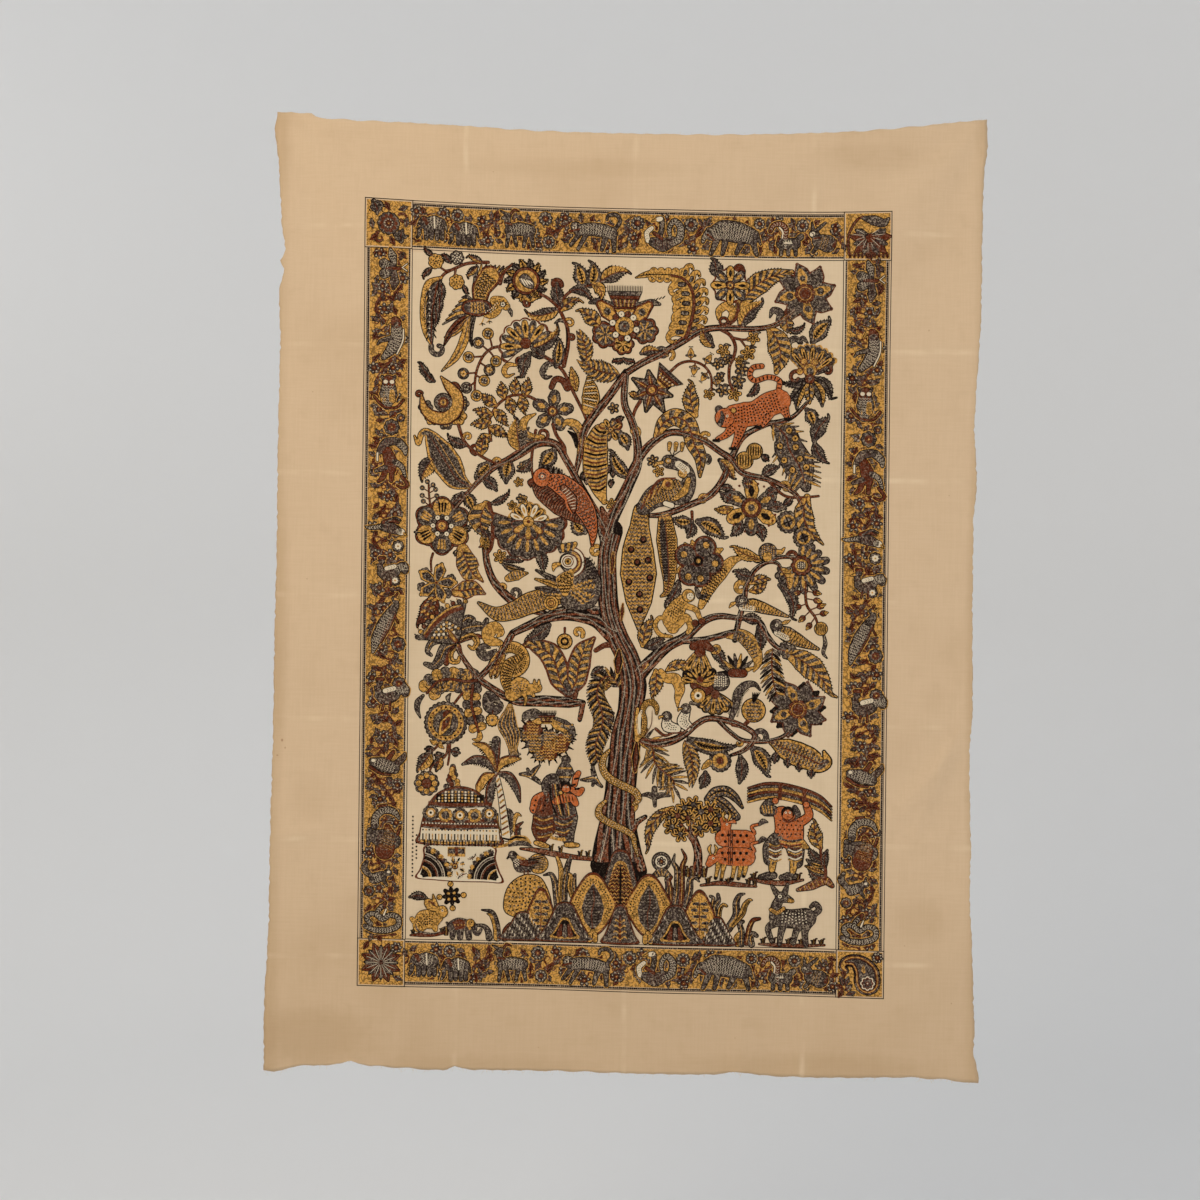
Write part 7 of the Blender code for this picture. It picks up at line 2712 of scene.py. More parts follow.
def vine(pen, length, swing, turns, seed):
    """A madder vine that winds along the band, with leaves, curls and small flowers beside it."""
    chance = random.Random(seed)
    line = [complex(length * k / (4 * turns), 38 + swing * math.sin(math.tau * k / 4))
            for k in range(4 * turns + 1)]
    ribbon(pen, "madder", line, 4.2, 2, 5.0)
    spine = Spine(line, 1.0)
    count = int(length / 9.5)
    for i in range(count):
        share = (i + 0.5) / count
        foot = spine.at(share)
        for side in (-1, 1):
            room = (61 - foot.imag) if side > 0 else (foot.imag - 17)
            if room < 8:
                continue
            reach = min(room, 12 + 8 * chance.random())
            top = foot + complex(chance.uniform(-9, 9), side * reach)
            ribbon(pen, "madder", [foot, (foot + top) / 2 + chance.uniform(-3, 3), top], [3.2, 2.8, 2.2], 2)
            tendril = scroll(foot * 0.4 + top * 0.6, chance.uniform(0, 360), 4.5, (1, -1)[i % 2], 260)
            stroke(pen, tendril, 1.9, "madder", 2)
            if (i + (side > 0)) % 5 == 0:
                flower_head(pen, top, 8.5, 5 + i % 3)
            else:
                leaf_at(pen, top, chance.uniform(20, 160) * side, 13)
            if room > reach + 11:
                far = top + complex(chance.uniform(-5, 5), side * 11)
                leaf_at(pen, far, chance.uniform(10, 170) * side, 12)
        leaf_at(pen, foot + complex(4, 0), chance.uniform(-50, 50), 11)


def leaf_at(pen, place, heading, size):
    """A small dark vine leaf with a pale vein, its halves held up on either side."""
    arm = cmath.rect(size, math.radians(heading))
    points = [place - arm * 0.4, place, place + arm * 0.35, place + arm * 0.62]
    dye, vein = ("madder", "black") if int(abs(heading)) % 3 == 0 else ("grey", "madder")
    body(pen, dye, points, [size * 0.2, size * 0.58, size * 0.36, 0.4], 0.45, 3)
    stroke(pen, [points[0], points[2]], 1.2, vein, 4)
    for side in (-1, 1):
        tip = place + arm * (0.18 + 0.42j * side)
        ribbon(pen, "black", [place, tip], [size * 0.34, 0.8], 2)


def flower_head(pen, place, radius, petals):
    """A small round flower, grey petals on a madder heart."""
    for k in range(petals):
        arm = cmath.rect(radius, math.tau * k / petals + place.real)
        body(pen, "grey", [place + arm * 0.35, place + arm * 0.8], [radius * 0.5, radius * 0.62], 0.5, 3)
        dot(pen, place + arm * 0.75, 0.8, "resist", 5)
    wheel(pen, "madder", place, radius * 0.42, 5, 0.7)
    dot(pen, place, 1.2, "ochre", 6)


def frame_run(pen, length):
    """The ruled bands of one side of the border, from the outer edge in."""
    for dye, low, high, sub in (("black", 0.2, 1.3, 1), ("black", 3.9, 4.8, 1), ("grey", 5.6, 8.2, 1),
                                ("ochre", 9, 70, 0),
                                ("grey", 70.6, 72.8, 1), ("black", 75.4, 76.5, 1)):
        middle = 0.5 * (low + high)
        steps = int(length / 8)
        ribbon(pen, dye, [complex(length * k / steps, middle) for k in range(steps + 1)], high - low,
               sub, 9.0)
    for k in range(int(length / 3.4)):
        for y, reach in ((6.9, 1.6), (71.7, 1.3)):
            at = complex(1.7 + 3.4 * k, y)
            stroke(pen, [at - reach * 0.9j, at + reach * 0.9j], 1.3, "black", 2, (1, 1))


def border(pen):
    """All four sides. Both long sides carry one picture, both short sides another."""
    top, right = PRINT_TALL - BORDER_WIDE, PRINT_WIDE - BORDER_WIDE
    tall, wide = top - BORDER_WIDE, right - BORDER_WIDE
    for corner, turn in ((complex(0, top), -90), (complex(PRINT_WIDE, BORDER_WIDE), 90)):
        side = pen.at(corner, turn)
        frame_run(side, tall)
        vine(side, tall, swing=19, turns=9, seed=5)
    for corner, turn in ((complex(BORDER_WIDE, 0), 0), (complex(right, PRINT_TALL), 180)):
        side = pen.at(corner, turn)
        frame_run(side, wide)
        vine(side, wide, swing=17, turns=6, seed=8)
    for left in (0, right - 3):
        for u, v, parts, size in (
            (43, 1128, BUTTERFLY, 0.86), (42, 1020, PARROT, 1.0), (42, 934, OWL, 1.0), (44, 832, CALF, 0.92),
            (40, 722, SONGBIRD, 0.9), (42, 655, ROOSTER, 0.9), (40, 566, LONG_PEACOCK, 0.9),
            (42, 462, ROOSTER, 1.0),
            (44, 350, CARP, 1.0), (40, 250, TURKEY, 1.0), (34, 172, BRUSH_TAIL, 1.0),
            (40, 104, COILED_SNAKE, 0.92),
        ):
            creature(pen, complex(left + u, v), parts, size)
        up = pen.at(rise=2)
        for u, v, radius, white in ((46, 881, 12, False), (60, 896, 6, False), (58, 694, 9, True),
                                    (54, 640, 8, True),
                                    (60, 540, 11, False), (62, 478, 10, False), (18, 150, 8, False)):
            place = complex(left + u, v)
            wheel(up, "ochre", place, radius + 2.5, -2)
            wheel(up, "grey", place, radius, 1, 1.0, lobes=8, depth=0.15)
            wheel(up, "resist" if white else "madder", place, radius * 0.6, 2, 0, lobes=7, depth=0.2)
            dot(up, place, 1.6, "ochre", 4)
    for low in (0, top - 2):
        for u, v, parts, size in (
            (108, 40, ELEPHANT, 0.8), (158, 33, ELEPHANT, 0.78), (243, 36, DEER, 0.95),
            (362, 36, TIGER, 0.98),
            (470, 36, SWAN, 0.98), (580, 36, BOAR, 1.0), (652, 42, SNAKE, 0.9), (668, 28, CAMEL, 0.9),
            (722, 32, HARE, 0.95),
        ):
            creature(pen, complex(u, v + low), parts, size)
        up = pen.at(rise=2)
        for u, v, radius in ((146, 58, 9), (285, 58, 10), (430, 55, 10), (514, 54, 10), (622, 58, 8),
                             (690, 56, 9), (290, 22, 9)):
            wheel(up, "ochre", complex(u, v + low), radius + 2.5, -2)
            flower_head(up, complex(u, v + low), radius, 9)
    for place, kind in ((0j, 0), (complex(right, 0), 1), (complex(0, top), 2),
                        (complex(right, top), 3)):
        corner_square(pen.at(place), kind)


def paisley(pen):
    """The toothed paisley of the lower right corner, its tip curled over to the left."""
    line = line_of(50, 26, 48, 40, 40, 52, 28, 59, 16, 57, 11, 49, 16, 43)
    widths = [34, 33, 24, 13, 8, 5, 2]
    spine = Spine(line, widths)
    for dye, sub, grow in (("black", 2, 4.4), ("grey", 3, 3.2), ("madder", 4, 1.2), ("ochre", 5, 0.0)):
        ribbon(pen, dye, line, widths, sub, 3.0, True, grow=grow)
    for dye, sub, shrink in (("madder", 6, 3.0), ("black", 7, 6.4), ("grey", 8, 8.6)):
        ribbon(pen, dye, line[:5], [max(width - shrink, 0.6) for width in widths[:5]], sub, 3.0, True)
    for k in range(34):
        share = 0.02 + 0.9 * k / 34
        for side in (1, -1):
            edge = spine.at(share, side)
            out = (edge - spine.at(share)) / (abs(edge - spine.at(share)) or 1.0)
            stroke(pen, [edge + out * 1.4, edge + out * 4.6], 1.5, "black", 9)
    for k in range(4):
        foot = 47 + 38j + cmath.rect(3, math.radians(100 + 14 * k))
        stroke(pen, [foot, foot + cmath.rect(13 - 2 * k, math.radians(104 + 10 * k))], 1.3, "ochre", 9)
    up, eye = pen.at(rise=2), 50 + 24j
    for radius, dye, sub in ((11.5, "resist", 3), (9.6, "madder", 4), (7.4, "grey", 5), (3.6, "madder", 6)):
        wheel(up, dye, eye, radius, sub, lobes=8, depth=0.2)
    dot(up, eye, 1.3, "resist", 7)


def corner_square(pen, kind):
    """A framed square of its own at each corner of the border."""
    for points in (line_of(0, 0.7, 76, 0.7), line_of(0, 75.3, 76, 75.3), line_of(0.7, 0, 0.7, 76),
                   line_of(75.3, 0, 75.3, 76)):
        ribbon(pen, "black", points, 1.3, 1, 8.0)
    ribbon(pen, "ochre", line_of(3, 38, 73, 38), 70, 0, 8.0)
    centre = 38 + 38j
    if kind == 0:
        for k in range(16):
            arm = cmath.rect(1, math.tau * k / 16)
            petal(pen, centre, centre + arm * (33 if k % 2 else 27), 11, ("grey", "madder")[k % 2],
                  "black", 0.9, None, 2, True)
            stroke(pen, [centre + arm * 4, centre + arm * 25], 0.7, "resist", 4)
            stroke(pen, [centre + arm * 4, centre + arm * 31], 1.5, "black", 3)
        flower_head(pen, 62 + 62j, 8, 7)
        leaf_at(pen, 14 + 64j, 60, 14)
        leaf_at(pen, 64 + 14j, -20, 14)
    elif kind == 1:
        paisley(pen)
        flower_head(pen, 65 + 65j, 8, 8)
        stroke(pen, line_of(26, 3, 18, 12, 13, 30), 2.2, "madder")
        for u, v, heading in ((10, 26, 110), (18, 26, 70), (7, 17, 150), (20, 16, 40), (13, 38, 90),
                              (24, 7, 20), (8, 6, 60)):
            leaf_at(pen, complex(u, v), heading, 14)
    elif kind == 2:
        flower_head(pen, centre, 8, 9)
        wheel(pen, "grey", centre, 17, 2, 1.0, lobes=12, depth=0.1)
        for k in range(10):
            wheel(pen, "madder", centre + cmath.rect(11, math.tau * k / 10), 3.4, 3)
        wheel(pen, "madder", centre, 5.5, 4, 0.8)
        for base, tip, width in ((34 + 30j, 66 + 12j, 0), (58 + 12j, 60 + 28j, 22), (14 + 70j, 20 + 52j, 22)):
            if width:
                leaf(pen, base, tip, width, "dark", 0.1)
        curl(pen, 54 + 52j, 40, 8, 4, "madder", -1)
        curl(pen, 22 + 24j, 200, 8, 4, "madder", 1)
        for u, v, heading in ((60, 62, 20), (12, 36, 100), (16, 16, 210), (36, 64, 120), (66, 40, 80),
                              (44, 12, 300)):
            leaf_at(pen, complex(u, v), heading, 14)
    else:
        for k in range(11):
            arm = cmath.rect(1, math.radians(150 + 24 * k))
            reach = 34 if k % 2 else 28
            petal(pen, centre + 4 - 4j, centre + 4 - 4j + arm * reach, 11, ("grey", "madder")[k % 2],
                  "black", 0.9, None, 2, True)
            stroke(pen, [centre + arm * 6, centre + arm * (reach - 8)], 0.6, "resist", 4)
        body(pen, "grey", line_of(30, 66, 46, 62, 62, 58, 70, 64), [4, 14, 12, 3], 1.0, 3)
        body(pen, "madder", line_of(8, 10, 8, 40, 20, 62, 30, 68), [3, 3, 3, 2], 0.6, 3)
        wheel(pen, "madder", centre + 4 - 4j, 8, 4, 1.0, lobes=9, depth=0.2)
        for k in range(10):
            leaf_at(pen, complex(10 + 6.5 * k, 8), 90, 8)


def draw_print(sheet):
    """The whole print: first the field, motif by motif, then the border round it."""
    pen = Pen(sheet)
    for motif in (
        boughs, rocks, trunk_serpent, rearing_serpent, blossom_spray, berry_spray,
        medallion_flower, left_stems, crowned_lotus, curled_fern, round_flower, bell_spray,
        thistle_head, flower_tree_top_right, crown_flower, flying_bird,
        crescent_flower, striped_leaf_spray, stippled_plume, rim_petal_flower, pointed_star,
        comb_flower, seeded_fruit, paisley_ring, domed_hut, palm, pot_carrier,
        small_things_left, orange_bird, upper_middle_leaves, leopard, peacock, fan_flower_middle,
        pheasant, twin_leaves, middle_animals, upper_right_leaves, daisy_and_buds, shell_flower,
        lower_right_flowers, bundle_carrier, deer_at_right, orange_cattle, small_tree,
    ):
        motif(pen)
    sheet.at_border = True
    border(pen)


# ---------------------------------------------------------------------------
# Meshes on the hung cloth.
# ---------------------------------------------------------------------------


def make_mesh(name, places, faces, flat, smooth_faces=True):
    """A piece from its places in space, its faces, and flat cloth coordinates for its map."""
    mesh = bpy.data.meshes.new(name)
    mesh.from_pydata(places.tolist(), [], faces)
    mesh.update()
    corners = np.empty(len(mesh.loops), dtype=np.int32)
    mesh.loops.foreach_get("vertex_index", corners)
    x, y = flat
    chart = np.stack([(x + 0.60) / 1.60, (y + 1.53) / 1.60], axis=-1)[corners]
    mesh.uv_layers.new(name="OFBake").data.foreach_set("uv", chart.astype(np.float32).ravel())
    if smooth_faces:
        mesh.shade_smooth()
    piece = bpy.data.objects.new(name, mesh)
    collection().objects.link(piece)
    return piece


def collection():
    """The collection that holds the panel's pieces."""
    found = bpy.data.collections.get("kalamkari_looks")
    if found is None:
        found = bpy.data.collections.new("kalamkari_looks")
        bpy.context.scene.collection.children.link(found)
    return found


# How far a torn edge strays from its line, thread by thread, in metres.
RAGGED = 0.0011


def ragged(x, y):
    """The uneven line on which a torn or worn edge runs."""
    return RAGGED * (np.sin(x * 911 + y * 733) + 0.7 * np.sin(x * 2113 + y * 1871 + 2) - 0.4)


def make_sheet(settings):
    """The cloth: two close layers on the hung shape, joined all round."""
    columns = round(WIDTH / settings.cell)
    rows = round(LENGTH / settings.cell)
    across = np.linspace(-WIDTH / 2, WIDTH / 2, columns + 1)
    along = np.linspace(-LENGTH, 0.0, rows + 1)
    x, y = (grid.ravel() for grid in np.meshgrid(across, along))
    rim = (np.abs(x) > WIDTH / 2 - 1e-6) | (y > -1e-6) | (y < 1e-6 - LENGTH)
    laid = hang(x, y)
    stray = np.where(rim, ragged(x, y), 0.0)
    laid[:, 0] -= np.where(np.abs(x) > WIDTH / 2 - 1e-6, np.sign(x) * np.abs(stray), 0.0)
    laid[:, 2] += np.where(y > -1e-6, -np.abs(stray), 0.0)
    laid[:, 2] += np.where(y < 1e-6 - LENGTH, np.abs(stray), 0.0)
    half = np.array([0.0, settings.thickness / 2, 0.0])
    count = len(x)
    wide = columns + 1
    faces = []
    for row in range(rows):
        for column in range(columns):
            a = row * wide + column
            faces.append((a, a + 1, a + 1 + wide, a + wide))
            faces.append((count + a, count + a + wide, count + a + 1 + wide, count + a + 1))
    border = [column for column in range(columns)]
    border += [row * wide + columns for row in range(rows)]
    border += [rows * wide + columns - column for column in range(columns)]
    border += [(rows - row) * wide for row in range(rows)]
    for a, b in zip(border, border[1:] + border[:1]):
        faces.append((b, a, count + a, count + b))
    places = np.concatenate([laid - half, laid + half])
    flat = np.concatenate([x, x]), np.concatenate([y, y])
    return make_mesh("cloth_sheet", places, faces, flat)


def drawn_places(points, front):
    """Where drawn points lie on the hung cloth, and their flat cloth coordinates."""
    table = np.array(points)
    x, y = on_cloth(table[:, 0], table[:, 1])
    laid = hang(x, y)
    laid[:, 1] += (front + table[:, 2] / 1000) * -1.0
    return laid, (x, y)


# Only fills soak through to the back. A face smaller than this many square mm is a fine
# line or a rounded end, and is left out.
SHOWN_DYES = ("ochre", "grey", "orange", "russet", "madder")
SHOWN_AREA = 5.0


def make_dye(name, points, faces, front):
    laid, flat = drawn_places(points, front)
    return make_mesh(name, laid, faces, flat, False)


def area_of(corners):
    """Area of a flat face, from its corners in turn."""
    twice = 0.0
    for (ax, ay, _), (bx, by, _) in zip(corners, corners[1:] + corners[:1]):
        twice += ax * by - bx * ay
    return abs(twice) / 2


def make_show_through(sheet, front, colours):
    """The broad fills again, on the back of the cloth, each face in its dye's colour."""
    points, faces, tints = [], [], []
    for dye in SHOWN_DYES:
        kept = sheet.points[dye]
        for face in sheet.faces[dye]:
            if area_of([kept[corner] for corner in face]) >= SHOWN_AREA:
                start = len(points)
                points.extend(kept[corner] for corner in face)
                faces.append(tuple(reversed(range(start, start + len(face)))))
                tints.append((colours[dye], len(face)))
    table = np.array(points)
    x, y = on_cloth(table[:, 0], table[:, 1])
    laid = hang(x, y)
    laid[:, 1] += front + table[:, 2] / 1000 * 0.6
    piece = make_mesh("print_show_through", laid, faces, (x, y), False)
    layer = piece.data.color_attributes.new("dye", "FLOAT_COLOR", "CORNER")
    values = [value for tint, count in tints for _ in range(count) for value in tint]
    layer.data.foreach_set("color", values)
    return piece


# ---------------------------------------------------------------------------
# Materials. All patterns stand in the cloth's own plane, in metres.
# ---------------------------------------------------------------------------

# Real threads lie 0.5 mm apart. They are drawn as uneven slubs 2.2 mm across, which is
# as fine as the cloth can be seen from where it is looked at.
DRAWN_THREAD = 0.0022
SLUB_LENGTH = 0.060
PEN_BLACK = linear("1a0e08")
COTTON_IOR = 1.53
COTTON_ROUGHNESS = 0.88


def add(tree, kind, inputs=None, **settings):
    """Adds a node. Each input is a value, or the socket that it is linked from."""
    made = tree.nodes.new(kind)
    for name, value in settings.items():
        setattr(made, name, value)
    for name, value in (inputs or {}).items():
        if isinstance(value, bpy.types.NodeSocket):
            tree.links.new(value, made.inputs[name])
        else:
            made.inputs[name].default_value = value
    return made


def blend(tree, share, low, high):
    """Mixes two colours and gives the socket of the result."""
    mixed = add(tree, "ShaderNodeMix", data_type="RGBA")
    for place, value in ((0, share), (6, low), (7, high)):
        if isinstance(value, bpy.types.NodeSocket):
            tree.links.new(value, mixed.inputs[place])
        else:
            mixed.inputs[place].default_value = value
    return mixed.outputs[2]


def reckon(tree, operation, *values):
    """The socket of one sum on numbers or sockets."""
    inputs = dict(enumerate(values))
    return add(tree, "ShaderNodeMath", inputs, operation=operation).outputs[0]


def spread(tree, value, low, high, start=0.0, end=1.0):
    """Maps a value from low..high onto start..end with soft ends."""
    inputs = {"Value": value, "From Min": low, "From Max": high, "To Min": start, "To Max": end}
    return add(tree, "ShaderNodeMapRange", inputs, interpolation_type="SMOOTHSTEP").outputs[0]


# Cells of each pattern in a metre of cloth, and the size on real cloth that they come from.
DAMP_PATCHES = 4.2  # 240 mm, where damp has stood
HANDLED_MOTTLE = 34.0  # 30 mm, where fingers have held it
RUBBED_BREAKS = 14.0  # 70 mm, between the worn stretches of a crease
DYE_POOLS = 70.0  # 14 mm, where wet dye gathered
DYE_DEPTHS = 7.0  # 140 mm, from one filling of the pad or pen to the next
BARE_THREADS = 420.0  # 2.4 mm, the slubs as they are drawn
WAX_HAIRS = 170.0  # 6 mm: real ones stand 1 to 2 mm apart and would not show
PEN_HAIRS = 190.0  # 5 mm: real ones stand 1 mm apart and would not show
SOAKED_SPOTS = 90.0  # 11 mm, where dye reached the back
THREAD_TONES = 160.0  # 6 mm, along one thread


def cloudy(tree, place, scale, detail=3.0, stretch=(1.0, 1.0, 1.0), shift=0.0):
    """Noise in the plane of the cloth, stretched along each axis."""
    moved = add(tree, "ShaderNodeMapping", {"Vector": place, "Scale": stretch,
                                            "Location": (shift, 0.0, shift)})
    inputs = {"Vector": moved.outputs[0], "Scale": scale, "Detail": detail}
    return add(tree, "ShaderNodeTexNoise", inputs).outputs["Fac"]


def weave(tree, place):
    """Height of warp and weft slubs, each much longer than it is wide."""
    fine = 1.0 / DRAWN_THREAD
    long = DRAWN_THREAD / SLUB_LENGTH
    warp = cloudy(tree, place, fine, 1.0, (1.0, 1.0, long), 3.0)
    weft = cloudy(tree, place, fine, 1.0, (long, 1.0, 1.0), 7.0)
    return reckon(tree, "ADD", warp, weft)


def creases(tree, place):
    """How near a point is to a storage crease, from 0 to 1."""
    axes = add(tree, "ShaderNodeSeparateXYZ", {0: place})
    wander = cloudy(tree, place, 9.0, 2.0)
    nearest = None
    for axis, lines in (("X", UPRIGHT_CREASES), ("Z", LEVEL_CREASES)):
        moved = reckon(tree, "MULTIPLY_ADD", wander, 0.006, axes.outputs[axis])
        for line in lines:
            gap = reckon(tree, "ABSOLUTE", reckon(tree, "SUBTRACT", moved, line + 0.003))
            near = spread(tree, gap, 0.0070, 0.0005)
            nearest = near if nearest is None else reckon(tree, "MAXIMUM", nearest, near)
    return nearest


# Marks on the cloth: x, z, half width, half height, strength.
RUST_SPOTS = (
    (-0.541, -0.960, 0.0022, 0.0030, 0.60), (-0.536, -0.972, 0.0016, 0.0022, 0.45),
    (-0.548, -0.984, 0.0020, 0.0016, 0.40), (-0.500, -0.410, 0.0014, 0.0014, 0.35),
    (0.470, -0.300, 0.0014, 0.0018, 0.35), (0.505, -0.560, 0.0014, 0.0012, 0.30),
    (-0.220, -0.060, 0.0014, 0.0012, 0.30), (-0.505, -0.705, 0.0013, 0.0017, 0.35),
    (0.180, -1.420, 0.0016, 0.0012, 0.35), (-0.130, -1.440, 0.0012, 0.0012, 0.30),
    (0.445, -1.270, 0.0015, 0.0013, 0.30), (0.520, -1.360, 0.0014, 0.0016, 0.35),
)
STAINS = (
    (-0.497, -1.050, 0.040, 0.045, 0.12), (0.486, -0.880, 0.026, 0.034, 0.08),
    (-0.480, -1.425, 0.120, 0.060, 0.28), (0.300, -1.465, 0.260, 0.030, 0.25),
    (-0.545, -0.780, 0.018, 0.240, 0.22), (0.545, -0.760, 0.014, 0.420, 0.25),
    (-0.100, -0.052, 0.220, 0.020, 0.14), (0.470, -1.230, 0.060, 0.050, 0.15),
    (-0.200, -1.470, 0.200, 0.022, 0.19), (0.380, -0.030, 0.120, 0.030, 0.12),
)


def marks(tree, place, spots):
    """How strongly any of the marks covers a point, from 0 to 1."""
    ragged_edge = cloudy(tree, place, 60.0, 4.0)
    most = None
    for x, z, wide, tall, strength in spots:
        inputs = {"Vector": place, "Location": (-x / wide, 0.0, -z / tall),
                  "Scale": (1 / wide, 0.0, 1 / tall)}
        moved = add(tree, "ShaderNodeMapping", inputs)
        gap = add(tree, "ShaderNodeVectorMath", {0: moved.outputs[0]}, operation="LENGTH")
        far = reckon(tree, "MULTIPLY_ADD", ragged_edge, 0.5, gap.outputs["Value"])
        near = spread(tree, far, 1.35, 0.55, 0.0, strength)
        most = near if most is None else reckon(tree, "MAXIMUM", most, near)
    return most


def start_material(name, roughness=COTTON_ROUGHNESS, sheen=0.25):
    material = bpy.data.materials.new(name)
    material.use_nodes = True
    tree = material.node_tree
    shader = tree.nodes["Principled BSDF"]
    shader.inputs["Roughness"].default_value = roughness
    shader.inputs["IOR"].default_value = COTTON_IOR
    shader.inputs["Specular IOR Level"].default_value = sheen
    place = add(tree, "ShaderNodeTexCoord").outputs["Object"]
    return material, tree, shader, place


def finish_surface(tree, shader, place, colour, relief=0.22, base=0.82, top=0.94):
    """Sets the colour, and a roughness and bump that come from the threads."""
    threads = weave(tree, place)
    bump = add(tree, "ShaderNodeBump", {"Height": threads, "Strength": relief, "Distance": 0.0003})
    tree.links.new(bump.outputs[0], shader.inputs["Normal"])
    tree.links.new(spread(tree, threads, 0.7, 1.3, base, top), shader.inputs["Roughness"])
    tree.links.new(colour, shader.inputs["Base Color"])


def hand_woven_cotton(settings):
    """Unbleached hand-woven cotton, steeped in myrobalan: matt, warm tan, slubbed and soiled, and darkened
    towards the bottom with painted shade.
    """
    material, tree, shader, place = start_material("hand_woven_cotton")
    axes = add(tree, "ShaderNodeSeparateXYZ", {0: place})
    x, z = axes.outputs["X"], axes.outputs["Z"]
    # The paler field ends under the inner rule of the border.
    wide, tall = PRINT_WIDE / 2000 - 0.072, PRINT_TALL / 2000 - 0.073
    middle = (PRINT_FOOT + PRINT_TALL / 2) / 1000 - 0.001
    aside = reckon(tree, "ABSOLUTE", reckon(tree, "ADD", x, 0.004))
    above = reckon(tree, "ABSOLUTE", reckon(tree, "SUBTRACT", z, middle))
    outside = reckon(tree, "MAXIMUM", reckon(tree, "SUBTRACT", aside, wide),
                     reckon(tree, "SUBTRACT", above, tall))
    field = spread(tree, outside, 0.003, -0.003)
    ground = blend(tree, field, settings.margin, settings.field)
    patches = spread(tree, cloudy(tree, place, DAMP_PATCHES), 0.50, 0.75, 0.0, 0.18)
    ground = blend(tree, patches, ground, settings.soil_and_shade)
    mottle = spread(tree, cloudy(tree, place, HANDLED_MOTTLE), 0.50, 0.80, 0.0, 0.10)
    ground = blend(tree, mottle, ground, settings.soil_and_shade)
    # Painted shade: the cloth is painted darker towards the bottom, where the light falls off.
    low = spread(tree, z, -1.10, -1.49, 0.0, 0.20)
    ground = blend(tree, low, ground, settings.soil_and_shade)
    edge = reckon(tree, "SUBTRACT", WIDTH / 2, reckon(tree, "ABSOLUTE", x))
    ground = blend(tree, spread(tree, edge, 0.022, 0.0, 0.0, 0.28), ground, settings.soil_and_shade)
    ground = blend(tree, marks(tree, place, STAINS), ground, settings.soil_and_shade)
    ground = blend(tree, marks(tree, place, RUST_SPOTS), ground, settings.rust)
    rubbed = reckon(tree, "MULTIPLY", creases(tree, place),
                    spread(tree, cloudy(tree, place, RUBBED_BREAKS, 2.0), 0.42, 0.72, 0.0, 0.42))
    ground = blend(tree, rubbed, ground, settings.crease)
    slub = spread(tree, weave(tree, place), 0.75, 1.25, 0.0, 0.07)
    ground = blend(tree, slub, ground, settings.soil_and_shade)
    finish_surface(tree, shader, place, ground)
    return material


def dyed_cotton(name, colour, settings, patchy, worn, pen_work, wax_work):
    """Dye that the cotton has taken up unevenly: matt, cloudy, thin on the high threads, and
    broken up by wandering hairlines of the pen and of wax. Real hairlines stand 1 mm apart: they
    are drawn every 4 mm."""
    material, tree, shader, place = start_material(name, sheen=0.08)
    deep = tuple(channel * 0.62 for channel in colour[:3]) + (1.0,)
    cloud = spread(tree, cloudy(tree, place, DYE_POOLS, 2.0), 0.42, 0.70, 0.0, patchy)
    tone = blend(tree, cloud, colour, deep)
    broad = spread(tree, cloudy(tree, place, DYE_DEPTHS, 1.0, shift=5.0), 0.45, 0.70, 0.0, patchy * 0.7)
    tone = blend(tree, broad, tone, deep)
    bare = spread(tree, cloudy(tree, place, BARE_THREADS, 1.0, shift=2.0), 0.52, 0.70, 0.0, worn)
    tone = blend(tree, bare, tone, settings.field)
    if wax_work:
        wander = cloudy(tree, place, WAX_HAIRS, 1.0, shift=15.0)
        off = reckon(tree, "ABSOLUTE", reckon(tree, "SUBTRACT", wander, 0.5))
        tone = blend(tree, spread(tree, off, 0.058, 0.018, 0.0, wax_work), tone, settings.field)
    if pen_work:
        wander = cloudy(tree, place, PEN_HAIRS, 1.0, shift=9.0)
        off = reckon(tree, "ABSOLUTE", reckon(tree, "SUBTRACT", wander, 0.5))
        tone = blend(tree, spread(tree, off, 0.088, 0.036, 0.0, pen_work), tone, PEN_BLACK)
    finish_surface(tree, shader, place, tone, 0.20, 0.80, 0.92)
    return material


def soaked_through(settings, strength):
    """The same dyes where they have soaked to the back: pale, blurred and broken."""
    material, tree, shader, place = start_material("dye_soaked_through")
    dye = add(tree, "ShaderNodeAttribute", attribute_name="dye").outputs["Color"]
    broken = spread(tree, cloudy(tree, place, SOAKED_SPOTS, 5.0), 0.36, 0.66, strength * 0.45, strength * 1.2)
    tone = blend(tree, broken, settings.field, dye)
    finish_surface(tree, shader, place, tone)
    return material


def loose_thread(settings):
    """Single cotton threads pulled from the edge: paler than the cloth, and hairy."""
    material, tree, shader, place = start_material("loose_cotton_thread", 0.92)
    tone = spread(tree, cloudy(tree, place, THREAD_TONES, 2.0), 0.35, 0.65, 0.0, 0.6)
    finish_surface(tree, shader, place, blend(tree, tone, settings.crease, settings.margin), 0.2)
    return material


def distempered_plaster(colour):
    """A sweep of pale plaster, painted in flat matt distemper with no mark on it."""
    material, _, shader, _ = start_material("pale_distemper", 0.95)
    shader.inputs["Base Color"].default_value = colour
    return material


# ---------------------------------------------------------------------------
# Loose threads along the torn ends and the worn selvedges.
# ---------------------------------------------------------------------------


